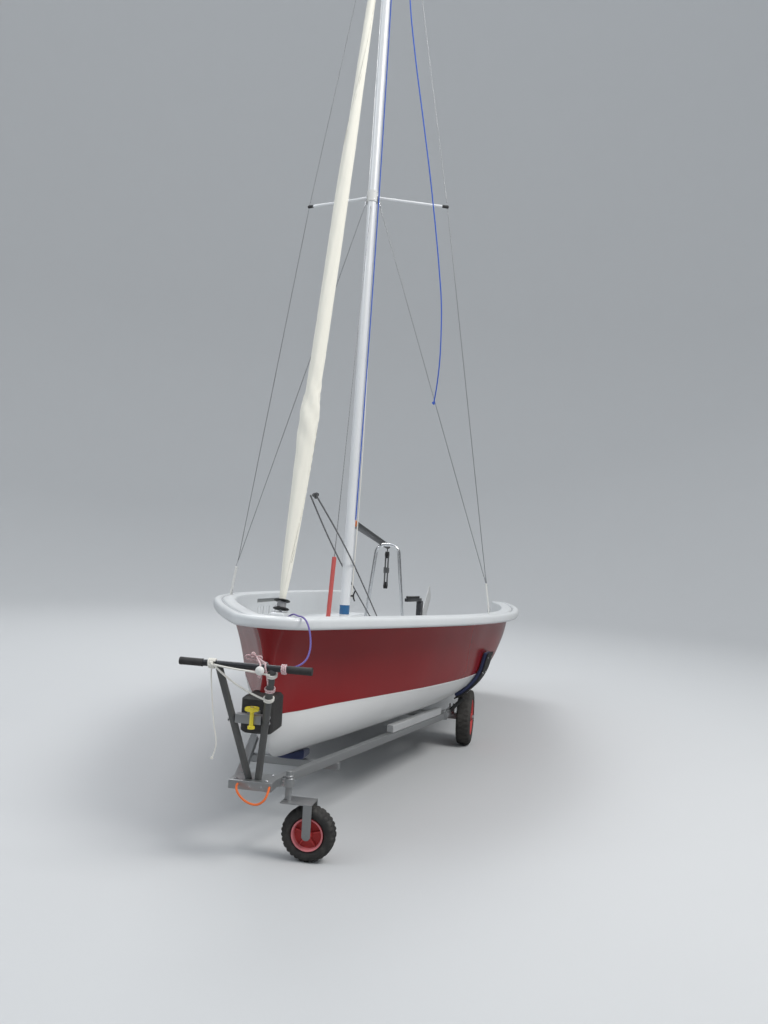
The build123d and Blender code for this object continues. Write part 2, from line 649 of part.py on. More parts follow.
def boom_parts():
    """Gooseneck bracket on the mast, the toggle that swings in it, and the boom's three pieces."""
    swing = mast_point(GOOSENECK_HEIGHT, -MAST_CHORD / 2 - PIN_STANDOFF)
    frame = Plane(origin=swing, x_dir=-MAST_PLANE.x_dir, z_dir=MAST_PLANE.z_dir).location
    aft_side = (Align.MAX, Align.CENTER, Align.MIN)
    front_side = (Align.MIN, Align.CENTER, Align.CENTER)
    half = BARREL_LENGTH / 2 + LUG_GAP
    foot = -half - LUG_THICKNESS
    bracket = Pos(0, 0, foot) * Cylinder(PIN_DIAMETER / 2, -2 * foot, align=LOW)
    for low in (half, foot):
        lug = Box(PIN_STANDOFF + MAST_CHORD / 4, BARREL_DIAMETER, LUG_THICKNESS, align=aft_side)
        bracket += Pos(0, 0, low) * (lug + Cylinder(BARREL_DIAMETER / 2, LUG_THICKNESS, align=LOW))
    bracket += Pos(BACK_PLATE - PIN_STANDOFF, 0, foot) * Box(
        MAST_CHORD / 4, BARREL_DIAMETER, -2 * foot, align=aft_side)
    bracket = frame * bracket - mast_core()
    heading = frame * Rot(0, 0, -BOOM_SWING)
    across = Rot(90, 0, 0)
    hole = PIN_DIAMETER / 2 + PIN_FIT
    toggle = Cylinder(BARREL_DIAMETER / 2, BARREL_LENGTH)
    toggle += Box(LIFT_PIN_REACH, TONGUE_THICKNESS, BARREL_DIAMETER, align=front_side)
    toggle += Pos(LIFT_PIN_REACH, 0, 0) * across * Cylinder(BARREL_DIAMETER / 2, TONGUE_THICKNESS)
    toggle -= Cylinder(hole, 2 * BARREL_LENGTH)
    toggle -= Pos(LIFT_PIN_REACH, 0, 0) * across * Cylinder(hole, 2 * BARREL_LENGTH)
    lift = heading * Pos(LIFT_PIN_REACH, 0, 0) * Rot(0, BOOM_DROOP, 0)
    cheek_y = TONGUE_THICKNESS / 2 + CHEEK_GAP
    along = Rot(0, 90, 0)
    fork = across * Cylinder(PIN_DIAMETER / 2, 2 * (cheek_y + FORK_CHEEK))
    for side in (1, -1):
        cheek = across * Cylinder(BARREL_DIAMETER / 2, FORK_CHEEK)
        cheek += Box(FORK_REACH, FORK_CHEEK, BARREL_DIAMETER, align=front_side)
        fork += Pos(0, side * (cheek_y + FORK_CHEEK / 2), 0) * cheek
    fork += Pos(FORK_REACH, 0, 0) * along * Cylinder(BOOM_DIAMETER / 2, BOOM_CAP, align=LOW)
    spar = along * Cylinder(BOOM_DIAMETER / 2, BOOM_LENGTH, align=LOW)
    spar -= Pos(0, 0, (BOOM_DIAMETER - BOOM_TRACK) / 2) * Box(
        BOOM_LENGTH, SAIL_TRACK_WIDTH, BOOM_TRACK, align=front_side)
    spar = Pos(FORK_REACH + BOOM_CAP, 0, 0) * spar
    end = Pos(FORK_REACH + BOOM_CAP + BOOM_LENGTH, 0, 0)
    cap = end * along * Cylinder(BOOM_DIAMETER / 2, BOOM_CAP, align=LOW)
    cap += end * Pos(BOOM_CAP / 2, 0, -(BOOM_DIAMETER + BECKET_DROP) / 2) * Box(
        BOOM_CAP, BECKET_THICKNESS, BECKET_DROP + BECKET_THICKNESS)
    return bracket, heading * toggle, lift * fork, lift * spar, lift * cap


def hoop_part():
    """Sheet hoop of bent tube, standing on the cockpit sole on two flanges."""
    foot = SOLE_HEIGHT + HOOP_FLANGE_THICKNESS / 2
    top = HOOP_TOP - HOOP_DIAMETER / 2
    path = FilletPolyline(
        place(HOOP_AFT, -HOOP_FOOT_HALF, foot),
        place(HOOP_AFT, -HOOP_CORNER_HALF, top),
        place(HOOP_AFT, HOOP_CORNER_HALF, top),
        place(HOOP_AFT, HOOP_FOOT_HALF, foot),
        radius=HOOP_RADIUS)
    hoop = sweep(Plane(origin=path @ 0, z_dir=path % 0) * Circle(HOOP_DIAMETER / 2), path=path)
    for side in (1, -1):
        middle = place(HOOP_AFT, side * HOOP_FOOT_HALF, SOLE_HEIGHT)
        hoop += Location(middle) * Cylinder(HOOP_FLANGE / 2, HOOP_FLANGE_THICKNESS, align=LOW)
    return hoop


def rudder_parts():
    """Gudgeons on the transom, the rudder head, its tiller and extension, and the blade."""
    length = PINTLE_AFT - HULL_LENGTH
    gudgeons, head = [], Part()
    for height in PINTLE_HEIGHTS:
        axis = Location(place(PINTLE_AFT, 0, height))
        strap = block(HULL_LENGTH + length / 2, 0, height, length, GUDGEON_WIDTH, GUDGEON_THICKNESS)
        strap += axis * Cylinder(GUDGEON_WIDTH / 2, GUDGEON_THICKNESS, align=LOW)
        gudgeons.append(strap - axis * Cylinder(PINTLE_DIAMETER / 2 + PIN_FIT, 3 * GUDGEON_THICKNESS))
        low = height + GUDGEON_THICKNESS + PINTLE_GAP
        reach = HEAD_FRONT - PINTLE_AFT
        head += block(PINTLE_AFT + reach / 2, 0, low, reach, GUDGEON_WIDTH, PINTLE_LUG)
        head += Location(place(PINTLE_AFT, 0, low)) * Cylinder(GUDGEON_WIDTH / 2, PINTLE_LUG, align=LOW)
        head += rod(place(PINTLE_AFT, 0, height - PINTLE_PROUD), place(PINTLE_AFT, 0, low + 1),
                    PINTLE_DIAMETER)
    cheek_y = BLADE_THICKNESS / 2 + BLADE_FIT
    width = 2 * (cheek_y + CHEEK_THICKNESS)
    tall = HEAD_TOP - HEAD_FOOT
    cheek = block(HEAD_FRONT + HEAD_LENGTH / 2, cheek_y + CHEEK_THICKNESS / 2, HEAD_FOOT,
                  HEAD_LENGTH, CHEEK_THICKNESS, tall)
    cheek = fillet(cheek.edges().filter_by(Axis.Y).group_by(Axis.X)[0], HEAD_CORNER)
    head += cheek + mirror(cheek, about=Plane.XZ)
    head += block(HEAD_FRONT + HEAD_SPINE / 2, 0, HEAD_FOOT, HEAD_SPINE, width, tall)
    head += block(HEAD_FRONT + HEAD_LENGTH / 4, 0, HEAD_TOP - HEAD_CROWN, HEAD_LENGTH / 2, width, HEAD_CROWN)
    pivot = place(BLADE_PIVOT[0], 0, BLADE_PIVOT[1])
    half = Vector(0, (width + NUT_THICKNESS) / 2, 0)
    head += rod(pivot - half, pivot + half, BLADE_PIN)
    rise = math.radians(TILLER_RISE)
    forward = Vector(math.cos(rise), 0, math.sin(rise))
    upright = Vector(-math.sin(rise), 0, math.cos(rise))
    foot = place(HEAD_FRONT + TILLER_LAP, 0, HEAD_TOP + TILLER_SECTION / 2 - TILLER_SEAT)
    tiller = beam(foot, foot + forward * TILLER_LENGTH, TILLER_SECTION, TILLER_SECTION)
    tiller -= block(HEAD_FRONT, 0, 0, HULL_LENGTH, FOOTWELL_HALF, HEAD_TOP)
    front = foot + forward * (TILLER_LENGTH - TILLER_SECTION)
    front += upright * ((TILLER_SECTION + EXTENSION_DIAMETER) / 2)
    extension = rod(front, front - forward * EXTENSION_LENGTH, EXTENSION_DIAMETER)
    outline = (
        (0, BLADE_HEAD), (BLADE_NECK, BLADE_CHORD / 2), (BLADE_REACH, BLADE_CHORD / 3),
        (BLADE_REACH, -BLADE_CHORD / 2), (BLADE_NECK, -BLADE_CHORD / 2), (0, -BLADE_HEAD))
    face = make_face(Polyline(*outline, close=True)) + Circle(BLADE_HEAD)
    face = fillet(face.vertices().group_by(Axis.X)[-1], BLADE_CHORD / 4)
    face -= Circle(BLADE_PIN / 2 + PIN_FIT)
    blade = extrude(face, BLADE_THICKNESS / 2, both=True)
    side_view = Plane(origin=pivot, x_dir=(-1, 0, 0), z_dir=(0, 1, 0)).location
    return Part() + gudgeons, head, tiller, extension, side_view * Rot(0, 0, BLADE_LIFT) * blade


def wheel(centre, axis, radius, width, bead, hub, hub_length, bore):
    """Wheel about a centre: the tyre, and the rim with its hub and web."""
    seat, lip = 0.36 * width, 0.42 * width
    half = width / 2
    tyre = (
        (bead, -seat), (bead + 12, -half), (radius - TYRE_SHOULDER, -half), (radius - 8, -lip),
        (radius, -half / 2), (radius, half / 2),
        (radius - 8, lip), (radius - TYRE_SHOULDER, half), (bead + 12, half), (bead, seat))
    web, wall, end = WEB_THICKNESS / 2, bead - RIM_WALL, hub_length / 2
    rim = (
        (bore, -end), (hub, -end), (hub, -web), (wall, -web), (wall, -seat), (bead, -seat),
        (bead, seat), (wall, seat), (wall, web), (hub, web), (hub, end), (bore, end))
    x_dir = Vector(0, 0, 1)
    return turned(tyre, centre, axis, x_dir), turned(rim, centre, axis, x_dir)


def trolley_frame(whole):
    """Side beams, nose, cross member, axle, and the boards and keel pad the boat sits on."""
    knee, tail = place(*BEAM_KNEE), place(*BEAM_TAIL)
    half = Vector(0, HALF_TRACK - HUB_DIAMETER, 0)
    centre = place(AXLE_AFT, 0, AXLE_HEIGHT)
    axle = beam(centre - half, centre + half, BEAM_SECTION, BEAM_SECTION)
    stub = Vector(0, HALF_TRACK + WHEEL_HUB / 2 + HUB_GAP + NUT_THICKNESS, 0)
    nut = Vector(0, NUT_THICKNESS, 0)
    axle += rod(centre - stub, centre + stub, STUB_DIAMETER)
    axle += rod(centre + stub - nut, centre + stub, STUB_NUT)
    axle += rod(centre - stub, centre - stub + nut, STUB_NUT)
    run = beam(place(*BEAM_FRONT), knee, BEAM_SECTION, BEAM_SECTION)
    run += beam(knee, tail, BEAM_SECTION, BEAM_SECTION)
    sleeve = BEAM_SECTION + 2 * KNEE_WALL
    run += block(BEAM_KNEE[0], BEAM_KNEE[1], BEAM_KNEE[2] - sleeve / 2, KNEE_LENGTH, sleeve, sleeve)
    run -= axle
    nose_foot = BEAM_FRONT[2] - BEAM_SECTION / 2
    nose = block(NOSE_MIDDLE, 0, nose_foot, NOSE_LENGTH, NOSE_WIDTH, BEAM_SECTION)
    share = CROSS_AFT / BEAM_KNEE[0]
    half_width = BEAM_FRONT[1] + share * (BEAM_KNEE[1] - BEAM_FRONT[1]) + BEAM_SECTION / 2
    level = BEAM_FRONT[2] + share * (BEAM_KNEE[2] - BEAM_FRONT[2])
    cross = block(CROSS_AFT, 0, level - 1.5 * BEAM_SECTION, BEAM_SECTION, 2 * half_width, BEAM_SECTION)
    cross -= pair(run)
    pad = block(CROSS_AFT, 0, level - BEAM_SECTION / 2, PAD_LENGTH, PAD_WIDTH, 2 * BEAM_SECTION)
    direction = (knee - place(*BEAM_FRONT)).normalized()
    start = place(*BEAM_FRONT) + direction * ((BUNK_START - BEAM_FRONT[0]) / -direction.X)
    end = place(*BEAM_FRONT) + direction * ((BUNK_END - BEAM_FRONT[0]) / -direction.X)
    lift = Vector(0, 0, (BEAM_SECTION + BUNK_HEIGHT) / 2)
    board = beam(start + lift, end + lift, BUNK_WIDTH, BUNK_HEIGHT) - run - whole
    beams = pair(run)
    return beams, nose - beams, cross, pad - cross - whole, pair(board), axle


def cradle_parts(whole, beams):
    """Pads against the bilges, and the strap and post that carry each of them."""
    aft_of = [row for row in HULL_SECTIONS if row[0] > CRADLE_AFT][0]
    ahead = [row for row in HULL_SECTIONS if row[0] <= CRADLE_AFT][-1]
    share = (CRADLE_AFT - ahead[0]) / (aft_of[0] - ahead[0])
    middle = hull_section(*(a + share * (b - a) for a, b in zip(ahead, aft_of)))
    band = block(CRADLE_AFT, (CRADLE_LOW + CRADLE_HIGH) / 2, 0, 2 * CRADLE_WIDTH,
                 CRADLE_HIGH - CRADLE_LOW, CRADLE_TOP)
    skins = []
    for grown in (CRADLE_PAD, CRADLE_PAD + CRADLE_STRAP):
        skins.append(extrude(offset(middle, grown), CRADLE_WIDTH / 2, both=True) & band)
    pad = skins[0] - whole
    arm = skins[1] - skins[0]
    arm += rod(place(CRADLE_AFT, *POST_FOOT), place(CRADLE_AFT, *POST_TOP), POST_DIAMETER)
    arm -= skins[0] + whole
    return pair(pad), pair(max((arm - beams).solids(), key=lambda solid: solid.volume))


def handle_parts(nose):
    """Handle post, its bar and grips, the bow snubber on its bracket, and the line reel."""
    foot, top = place(*HANDLE_FOOT), place(*HANDLE_TOP)
    centre = place(HANDLE_TOP[0], 0, HANDLE_TOP[2])
    half = Vector(0, BAR_HALF, 0)
    bar = rod(centre - half, centre + half, BAR_DIAMETER)
    grip = rod(centre + half - Vector(0, GRIP_LENGTH, 0), centre + half, GRIP_DIAMETER, BAR_DIAMETER)
    direction = (top - foot).normalized()
    tube = rod(foot - direction * HANDLE_TUBE, top, HANDLE_TUBE) - bar - nose
    arm = foot + direction * ((BRACKET_HEIGHT - foot.Z) / direction.Z)
    arm_aft = BOW_X - arm.X
    tubes = pair(tube)
    bracket = block(arm_aft, 0, BRACKET_HEIGHT - BEAM_SECTION / 2, BEAM_SECTION, 2 * arm.Y, BEAM_SECTION)
    bracket += block((arm_aft + SNUBBER_FRONT) / 2, 0, BRACKET_HEIGHT - BEAM_SECTION / 2,
                     SNUBBER_FRONT - arm_aft, BEAM_SECTION, BEAM_SECTION)
    bracket -= tubes
    axis = place(arm_aft - BEAM_SECTION / 2 - REEL_NECK / 2, REEL_PORT, REEL_FOOT)
    reel = turned(REEL_PROFILE, axis, Vector(0, 0, 1), Vector(1, 0, 0))
    return tubes, bar, pair(grip), bracket, reel


def snubber(whole):
    """Bow snubber, notched to the stem."""
    length = SNUBBER_BACK - SNUBBER_FRONT
    shape = block(SNUBBER_FRONT + length / 2, 0, SNUBBER_FOOT, length, SNUBBER_WIDTH, SNUBBER_HEIGHT)
    return shape - whole


def jockey_parts(beams, nose):
    """Clamp on the nose, the swivelling fork, and the jockey wheel."""
    aft, port = JOCKEY_AXIS
    inner = NOSE_WIDTH / 2
    outer = port + JOCKEY_CLAMP_HALF
    clamp = block(aft, (inner + outer) / 2, JOCKEY_CLAMP_FOOT, JOCKEY_CLAMP_LENGTH,
                  outer - inner, JOCKEY_CLAMP_HEIGHT)
    clamp -= beams + nose
    stem_hole = rod(place(aft, port, 0), place(aft, port, JOCKEY_STEM_TOP), JOCKEY_STEM + 2 * RUNNING_FIT)
    crown_foot = 2 * JOCKEY_RADIUS + JOCKEY_CLEARANCE
    hub_port = port + JOCKEY_TRAIL
    fork = rod(place(aft, port, crown_foot), place(aft, port, JOCKEY_STEM_TOP), JOCKEY_STEM)
    collar = JOCKEY_CLAMP_FOOT + JOCKEY_CLAMP_HEIGHT + LUG_GAP
    fork += rod(place(aft, port, collar), place(aft, port, collar + JOCKEY_COLLAR_HEIGHT), JOCKEY_COLLAR)
    length = JOCKEY_TRAIL + JOCKEY_COLLAR / 2 + FORK_LEG / 2
    width = 2 * (JOCKEY_CHEEK + FORK_PLATE)
    fork += block(aft, hub_port + FORK_LEG / 2 - length / 2, crown_foot, width, length, FORK_PLATE)
    for side in (1, -1):
        middle = aft + side * (JOCKEY_CHEEK + FORK_PLATE / 2)
        leg = block(middle, hub_port, JOCKEY_RADIUS, FORK_PLATE, FORK_LEG, crown_foot - JOCKEY_RADIUS)
        reach = Vector(FORK_PLATE / 2, 0, 0)
        hub = place(middle, hub_port, JOCKEY_RADIUS)
        fork += leg + rod(hub - reach, hub + reach, FORK_LEG)
    centre = place(aft, hub_port, JOCKEY_RADIUS)
    reach = Vector(JOCKEY_CHEEK + FORK_PLATE + NUT_THICKNESS / 2, 0, 0)
    fork += rod(centre - reach, centre + reach, JOCKEY_AXLE)
    tyre, rim_part = wheel(centre, Vector(1, 0, 0), JOCKEY_RADIUS, JOCKEY_WIDTH, JOCKEY_BEAD,
                           JOCKEY_HUB / 2, 2 * JOCKEY_CHEEK - 2 * CHEEK_GAP, JOCKEY_AXLE / 2 + RUNNING_FIT)
    return clamp - stem_hole, fork, tyre, rim_part


def rope(name, route, diameter, knot=False):
    """Free rope: straight runs joined by arcs as large as the runs allow, with a knot at its end."""
    points = [place(*point) for point in route]
    runs = [end - start for start, end in zip(points, points[1:])]
    radii = []
    for before, after in zip(runs, runs[1:]):
        turn = math.radians(before.get_angle(after))
        radii.append(ARC_SHARE * min(before.length, after.length) / math.tan(turn / 2))
    path = FilletPolyline(*points, radius=radii)
    tube = sweep(Plane(origin=path @ 0, z_dir=path % 0) * Circle(diameter / 2), path=path)
    share = tube.volume / (math.pi * diameter**2 / 4 * path.length)
    print(f"{name}: length {path.length:.0f}, volume {share:.4f} of section times length,"
          f" tightest radius {min(radii) / diameter:.1f} diameters, radii {[round(r) for r in radii]}")
    if knot:
        tube += Location(points[-1]) * Sphere(KNOT_SCALE * diameter)
    return tube


def parts():
    """Every node of the assembly by name."""
    whole, topsides, bottom, foredeck, liner = hull_parts()
    case, board = centreboard_parts()
    step, mast, spreader_bracket, hounds = mast_parts()
    spreaders, chainplates, adjusters, upper, lower = rigging_parts()
    bow_block, stay, drum, roll = forestay_parts()
    eye, inner_stay, cover = inner_stay_parts()
    bracket, toggle, fork, spar, cap = boom_parts()
    gudgeons, head, tiller, extension, blade = rudder_parts()
    beams, nose, cross, keel_pad, boards, axle = trolley_frame(whole)
    pads, arms = cradle_parts(whole, beams)
    tubes, bar, grips, handle_bracket, reel = handle_parts(nose)
    clamp, jockey_fork, jockey_tyre, jockey_rim = jockey_parts(beams, nose)
    bar_end = Vector(0, BAR_HALF, 0)
    bar_middle = place(HANDLE_TOP[0], 0, HANDLE_TOP[2])
    bar_room = rod(bar_middle - bar_end, bar_middle + bar_end, BAR_DIAMETER + 2 * KNOT_GAP)
    bow_line = rope("bow_line", BOW_LINE, BOW_LINE_DIAMETER, knot=True) - bow_block - bar_room
    handle_tail = rope("handle_tail", HANDLE_TAIL, HANDLE_TAIL_DIAMETER, knot=True) - bar
    strop = rope("strop", STROP, STROP_DIAMETER) - nose
    halyard = rope("halyard", HALYARD, HALYARD_DIAMETER, knot=True) - mast - lower
    hub, bore = HUB_DIAMETER / 2, STUB_DIAMETER / 2 + RUNNING_FIT
    port_tyre, port_rim = wheel(
        place(AXLE_AFT, HALF_TRACK, AXLE_HEIGHT), Vector(0, 1, 0),
        TYRE_RADIUS, TYRE_WIDTH, TYRE_BEAD, hub, WHEEL_HUB, bore)
    starboard_tyre, starboard_rim = wheel(
        place(AXLE_AFT, -HALF_TRACK, AXLE_HEIGHT), Vector(0, 1, 0),
        TYRE_RADIUS, TYRE_WIDTH, TYRE_BEAD, hub, WHEEL_HUB, bore)
    return {
        "hull_topsides": topsides,
        "hull_bottom": bottom,
        "gunwale": rim(),
        "foredeck": foredeck,
        "cockpit_liner": liner,
        "centreboard_case": case,
        "centreboard": board,
        "mast_step": step,
        "mast": mast,
        "spreader_bracket": spreader_bracket,
        "hounds_fitting": hounds,
        "spreaders": spreaders,
        "chainplates": chainplates,
        "shroud_adjusters": adjusters,
        "upper_shrouds": upper,
        "lower_shrouds": lower,
        "bow_block": bow_block,
        "forestay": stay,
        "furling_drum": drum,
        "furled_jib": roll,
        "inner_stay_eye": eye,
        "inner_stay": inner_stay,
        "inner_stay_cover": cover,
        "gooseneck_bracket": bracket,
        "gooseneck_toggle": toggle,
        "boom_fork": fork,
        "boom": spar,
        "boom_end": cap,
        "sheet_hoop": hoop_part(),
        "rudder_gudgeons": gudgeons,
        "rudder_head": head,
        "tiller": tiller,
        "tiller_extension": extension,
        "rudder_blade": blade,
        "trolley_side_beams": beams,
        "trolley_nose": nose,
        "trolley_cross_member": cross,
        "trolley_axle": axle,
        "keel_pad": keel_pad,
        "bunk_boards": boards,
        "cradle_pads": pads,
        "cradle_arms": arms,
        "handle_tubes": tubes,
        "handlebar": bar,
        "handle_grips": grips,
        "snubber_bracket": handle_bracket,
        "bow_snubber": snubber(whole),
        "line_reel": reel,
        "jockey_clamp": clamp,
        "jockey_fork": jockey_fork,
        "jockey_tyre": jockey_tyre,
        "jockey_rim": jockey_rim,
        "wheel_port_tyre": port_tyre,
        "wheel_port_rim": port_rim,
        "wheel_starboard_tyre": starboard_tyre,
        "wheel_starboard_rim": starboard_rim,
        "bow_line": bow_line,
        "handle_tail": handle_tail,
        "strop": strop,
        "halyard": halyard,
    }


def save(shapes):
    """Write each node to its own STEP file, and print what it holds."""
    os.makedirs("parts", exist_ok=True)
    for name, shape in shapes.items():
        solids = shape.solids()
        body = solids[0] if len(solids) == 1 else Compound(children=list(solids))
        export_step(body, f"parts/{name}.step")
        box = body.bounding_box()
        print(f"{name}: {len(solids)} solids, {body.volume / 1e6:.2f} dm3,"
              f" x {box.min.X:.1f}..{box.max.X:.1f}, y {box.min.Y:.1f}..{box.max.Y:.1f},"
              f" z {box.min.Z:.1f}..{box.max.Z:.1f}")


save(parts())
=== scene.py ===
"""Looks of a sailing dinghy on its launching trolley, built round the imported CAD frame.

Metres, in the frame's own axes: +X to the bow, +Y to port, +Z up, ground at Z = 0.
Lengths along the boat are "aft" values from the tip of the bow rim, as in the CAD source.
"""

import logging
from collections.abc import Callable
from dataclasses import dataclass
from enum import Enum
from math import acos, atan, atan2, cos, exp, pi, radians, sin, sqrt, tan
from typing import Self

import bmesh
import bpy
import numpy as np
from mathutils import Matrix, Vector


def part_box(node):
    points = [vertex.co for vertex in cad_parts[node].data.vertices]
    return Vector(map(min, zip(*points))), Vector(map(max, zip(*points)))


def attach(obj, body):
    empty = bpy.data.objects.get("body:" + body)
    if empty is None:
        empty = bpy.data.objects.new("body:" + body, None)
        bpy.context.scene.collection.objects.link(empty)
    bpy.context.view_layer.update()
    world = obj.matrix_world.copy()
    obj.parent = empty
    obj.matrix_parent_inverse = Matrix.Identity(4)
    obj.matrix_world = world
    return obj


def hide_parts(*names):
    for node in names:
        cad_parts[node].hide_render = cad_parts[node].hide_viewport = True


logging.basicConfig(level=logging.INFO, format="%(message)s")
LOG = logging.getLogger("dinghy")
Array = np.ndarray | tuple | list
Socket = bpy.types.NodeSocket

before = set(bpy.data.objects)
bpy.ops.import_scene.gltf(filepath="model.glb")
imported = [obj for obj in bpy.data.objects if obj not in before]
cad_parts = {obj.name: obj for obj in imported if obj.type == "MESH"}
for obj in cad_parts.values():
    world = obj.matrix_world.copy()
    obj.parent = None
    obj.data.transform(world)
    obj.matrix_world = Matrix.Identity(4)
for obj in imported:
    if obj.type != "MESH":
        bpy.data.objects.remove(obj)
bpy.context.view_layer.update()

BOW = 2.7855
HULL_LENGTH = 4.95
SHEER_BOW = 1.083
SHEER_SLOPE = 0.0515
RIM_TILT = atan(SHEER_SLOPE)
BOOT_BOW = 0.624
BOOT_SLOPE = 0.036
RIM_OVERHANG = 0.085
RIM_WIDTH = 0.135
FOREDECK_DROP = 0.11
SOLE = 0.505
HOUNDS = 5.025
TRANSOM_ALONG = HULL_LENGTH / cos(RIM_TILT)
BAR_AFT, BAR_HEIGHT = -0.25, 0.896
POST_AFT, POST_HEIGHT = -0.04, 0.366
POST_FOOT_HALF, POST_TOP_HALF = 0.022, 0.12
ARM_HEIGHT = 0.655
CLAMP_HEIGHT = 0.342
PINTLE_HEIGHTS = (0.318, 0.452)
ROUND = 2 * pi
COAT_ROUGHNESS = 0.08
SHARP_ANGLE = 38

# One row per station: aft, keel height, deadrise in degrees, then half-breadth and height of the
# points where the bilge arc starts and ends.
HULL_SECTIONS = (
    (0.09, 0.59, 45, 0.012, 0.608, 0.03, 0.75),
    (0.17, 0.44, 40, 0.022, 0.466, 0.06, 0.64),
    (0.3, 0.385, 30, 0.048, 0.418, 0.115, 0.62),
    (0.55, 0.345, 22, 0.095, 0.388, 0.2, 0.6),
    (0.95, 0.31, 15, 0.19, 0.368, 0.355, 0.6),
    (1.5, 0.283, 10, 0.35, 0.363, 0.565, 0.6),
    (2.2, 0.26, 6, 0.56, 0.373, 0.765, 0.6),
    (2.9, 0.247, 4, 0.66, 0.405, 0.875, 0.635),
    (3.4, 0.244, 4, 0.655, 0.405, 0.872, 0.635),
    (3.9, 0.247, 4, 0.63, 0.405, 0.85, 0.63),
    (4.95, 0.265, 3, 0.52, 0.4, 0.72, 0.6),
)


UP, PORT = np.array((0, 0, 1.0)), np.array((0, 1.0, 0))
PIECES = []


def mm(*numbers: float) -> Array:
    """Pairs (radius, along) of a turned profile, given one after the other in millimetres."""
    return np.array(numbers, float).reshape(-1, 2) / 1000


def mirrored(*numbers: float) -> Array:
    """A profile that is the same both ways from its middle, from the pairs of its first half."""
    half = mm(*numbers)
    return np.vstack((half, half[::-1] * (1, -1)))


def place(aft: Array, port: Array, up: Array) -> Array:
    """Points of the frame for distances aft of the bow rim, to port and above the ground.

    Args:
        aft: distances aft of the bow's rim, in metres.
        port: distances to port.
        up: heights above the ground.

    Returns:
        An array whose last axis holds x, y, z.
    """
    aft, port, up = np.broadcast_arrays(*(np.asarray(v, float) for v in (aft, port, up)))
    return np.stack((BOW - aft, port, up), axis=-1)


def sheer(aft: Array) -> Array:
    """Height of the rim's top at a distance aft."""
    return SHEER_BOW - SHEER_SLOPE * np.asarray(aft, float)


def on_rim(along: Array, port: Array, drop: Array) -> Array:
    """Points given in the rim's own tilted plane: along it aft, to port, and dropped under it.

    Args:
        along: distances aft along the plane.
        port: distances to port.
        drop: depths square to the plane.

    Returns:
        An array whose last axis holds x, y, z.
    """
    along, port, drop = (np.asarray(v, float) for v in (along, port, drop))
    c, s = cos(RIM_TILT), sin(RIM_TILT)
    return place(along * c - drop * s, port, SHEER_BOW - along * s - drop * c)


def smooth(edge0: float, edge1: float, x: Array) -> Array:
    """Smooth step from 0 to 1 between two edges."""
    t = np.clip((np.asarray(x, float) - edge0) / (edge1 - edge0), 0, 1)
    return t * t * (3 - 2 * t)


def tangent_arc(start: Array, end: Array, heading: Array, count: int) -> tuple[Array, Array]:
    """Arc from start to end that leaves start along a heading.

    The centre lies on the normal at the start, at the radius chord / (2 sin(turn / 2)), and the
    points are the start turned about that centre in equal steps.

    Args:
        start: first point, in 2-D.
        end: last point.
        heading: direction at the start.
        count: how many points.

    Returns:
        The (count, 2) points and the heading at the end.
    """
    start, end = np.asarray(start, float), np.asarray(end, float)
    heading = np.asarray(heading, float) / np.linalg.norm(heading)
    chord = end - start
    span = np.linalg.norm(chord)
    turn = 2 * atan2(heading[0] * chord[1] - heading[1] * chord[0], heading @ chord)
    steps = np.linspace(0, 1, count)
    if abs(turn) < 1e-6:
        return start + steps[:, None] * chord, chord / span
    radius = span / (2 * sin(turn / 2))
    normal = np.array((-heading[1], heading[0]))
    centre = start + radius * normal
    arm = start - centre
    a = steps * turn
    points = centre + np.stack((arm[0] * np.cos(a) - arm[1] * np.sin(a), arm[0] * np.sin(a) + arm[1]
        * np.cos(a)), -1)
    end_heading = np.array((heading[0] * cos(turn) - heading[1] * sin(turn), heading[0] * sin(turn)
        + heading[1] * cos(turn)))
    return points, end_heading


def resample(points: Array, count: int) -> Array:
    """Polyline resampled to a number of points evenly spaced along its length.

    Args:
        points: points (n, k).
        count: how many points.

    Returns:
        Points (count, k).
    """
    points = np.asarray(points, float)
    steps = np.r_[0, np.cumsum(np.linalg.norm(np.diff(points, axis=0), axis=1))]
    wanted = np.linspace(0, steps[-1], count)
    return np.stack([np.interp(wanted, steps, points[:, k]) for k in range(points.shape[1])], -1)


def rim_plan(count: int = 360) -> tuple[Array, Array]:
    """Half of the rim's outline in its own plane, from the tip aft to the transom.

    Tangent arcs: widest to shoulder, shoulder to nose, nose to the tip on the centreline, and
    widest to the quarter, the same as in the CAD source.

    Args:
        count: how many points.

    Returns:
        The (count, 2) points (aft along the rim, half-breadth) and their outward normals.
    """
    widest, shoulder, nose = np.array((2.87, 1.014)), np.array((1.42, 0.757)), np.array((0.126,
        0.203))
    quarter = np.array((TRANSOM_ALONG, 0.829))
    entry, heading = tangent_arc(widest, shoulder, (-1, 0), 80)
    bow, heading = tangent_arc(shoulder, nose, heading, 80)
    radius = nose[1] / -heading[0]
    centre = nose[0] - radius * heading[1]
    angles = np.linspace(acos((nose[0] - centre) / radius), pi, 60)
    front = np.stack((centre + radius * np.cos(angles), radius * np.sin(angles)), -1)
    run, _ = tangent_arc(widest, quarter, (1, 0), 80)
    line = np.concatenate((front[::-1], bow[::-1][1:], entry[::-1][1:], run[1:]))
    line = resample(line, count)
    step = np.gradient(line, axis=0)
    step /= np.linalg.norm(step, axis=1)[:, None]
    normal = np.stack((-step[:, 1], step[:, 0]), -1)
    normal[0] = (-1, 0)
    return line, normal


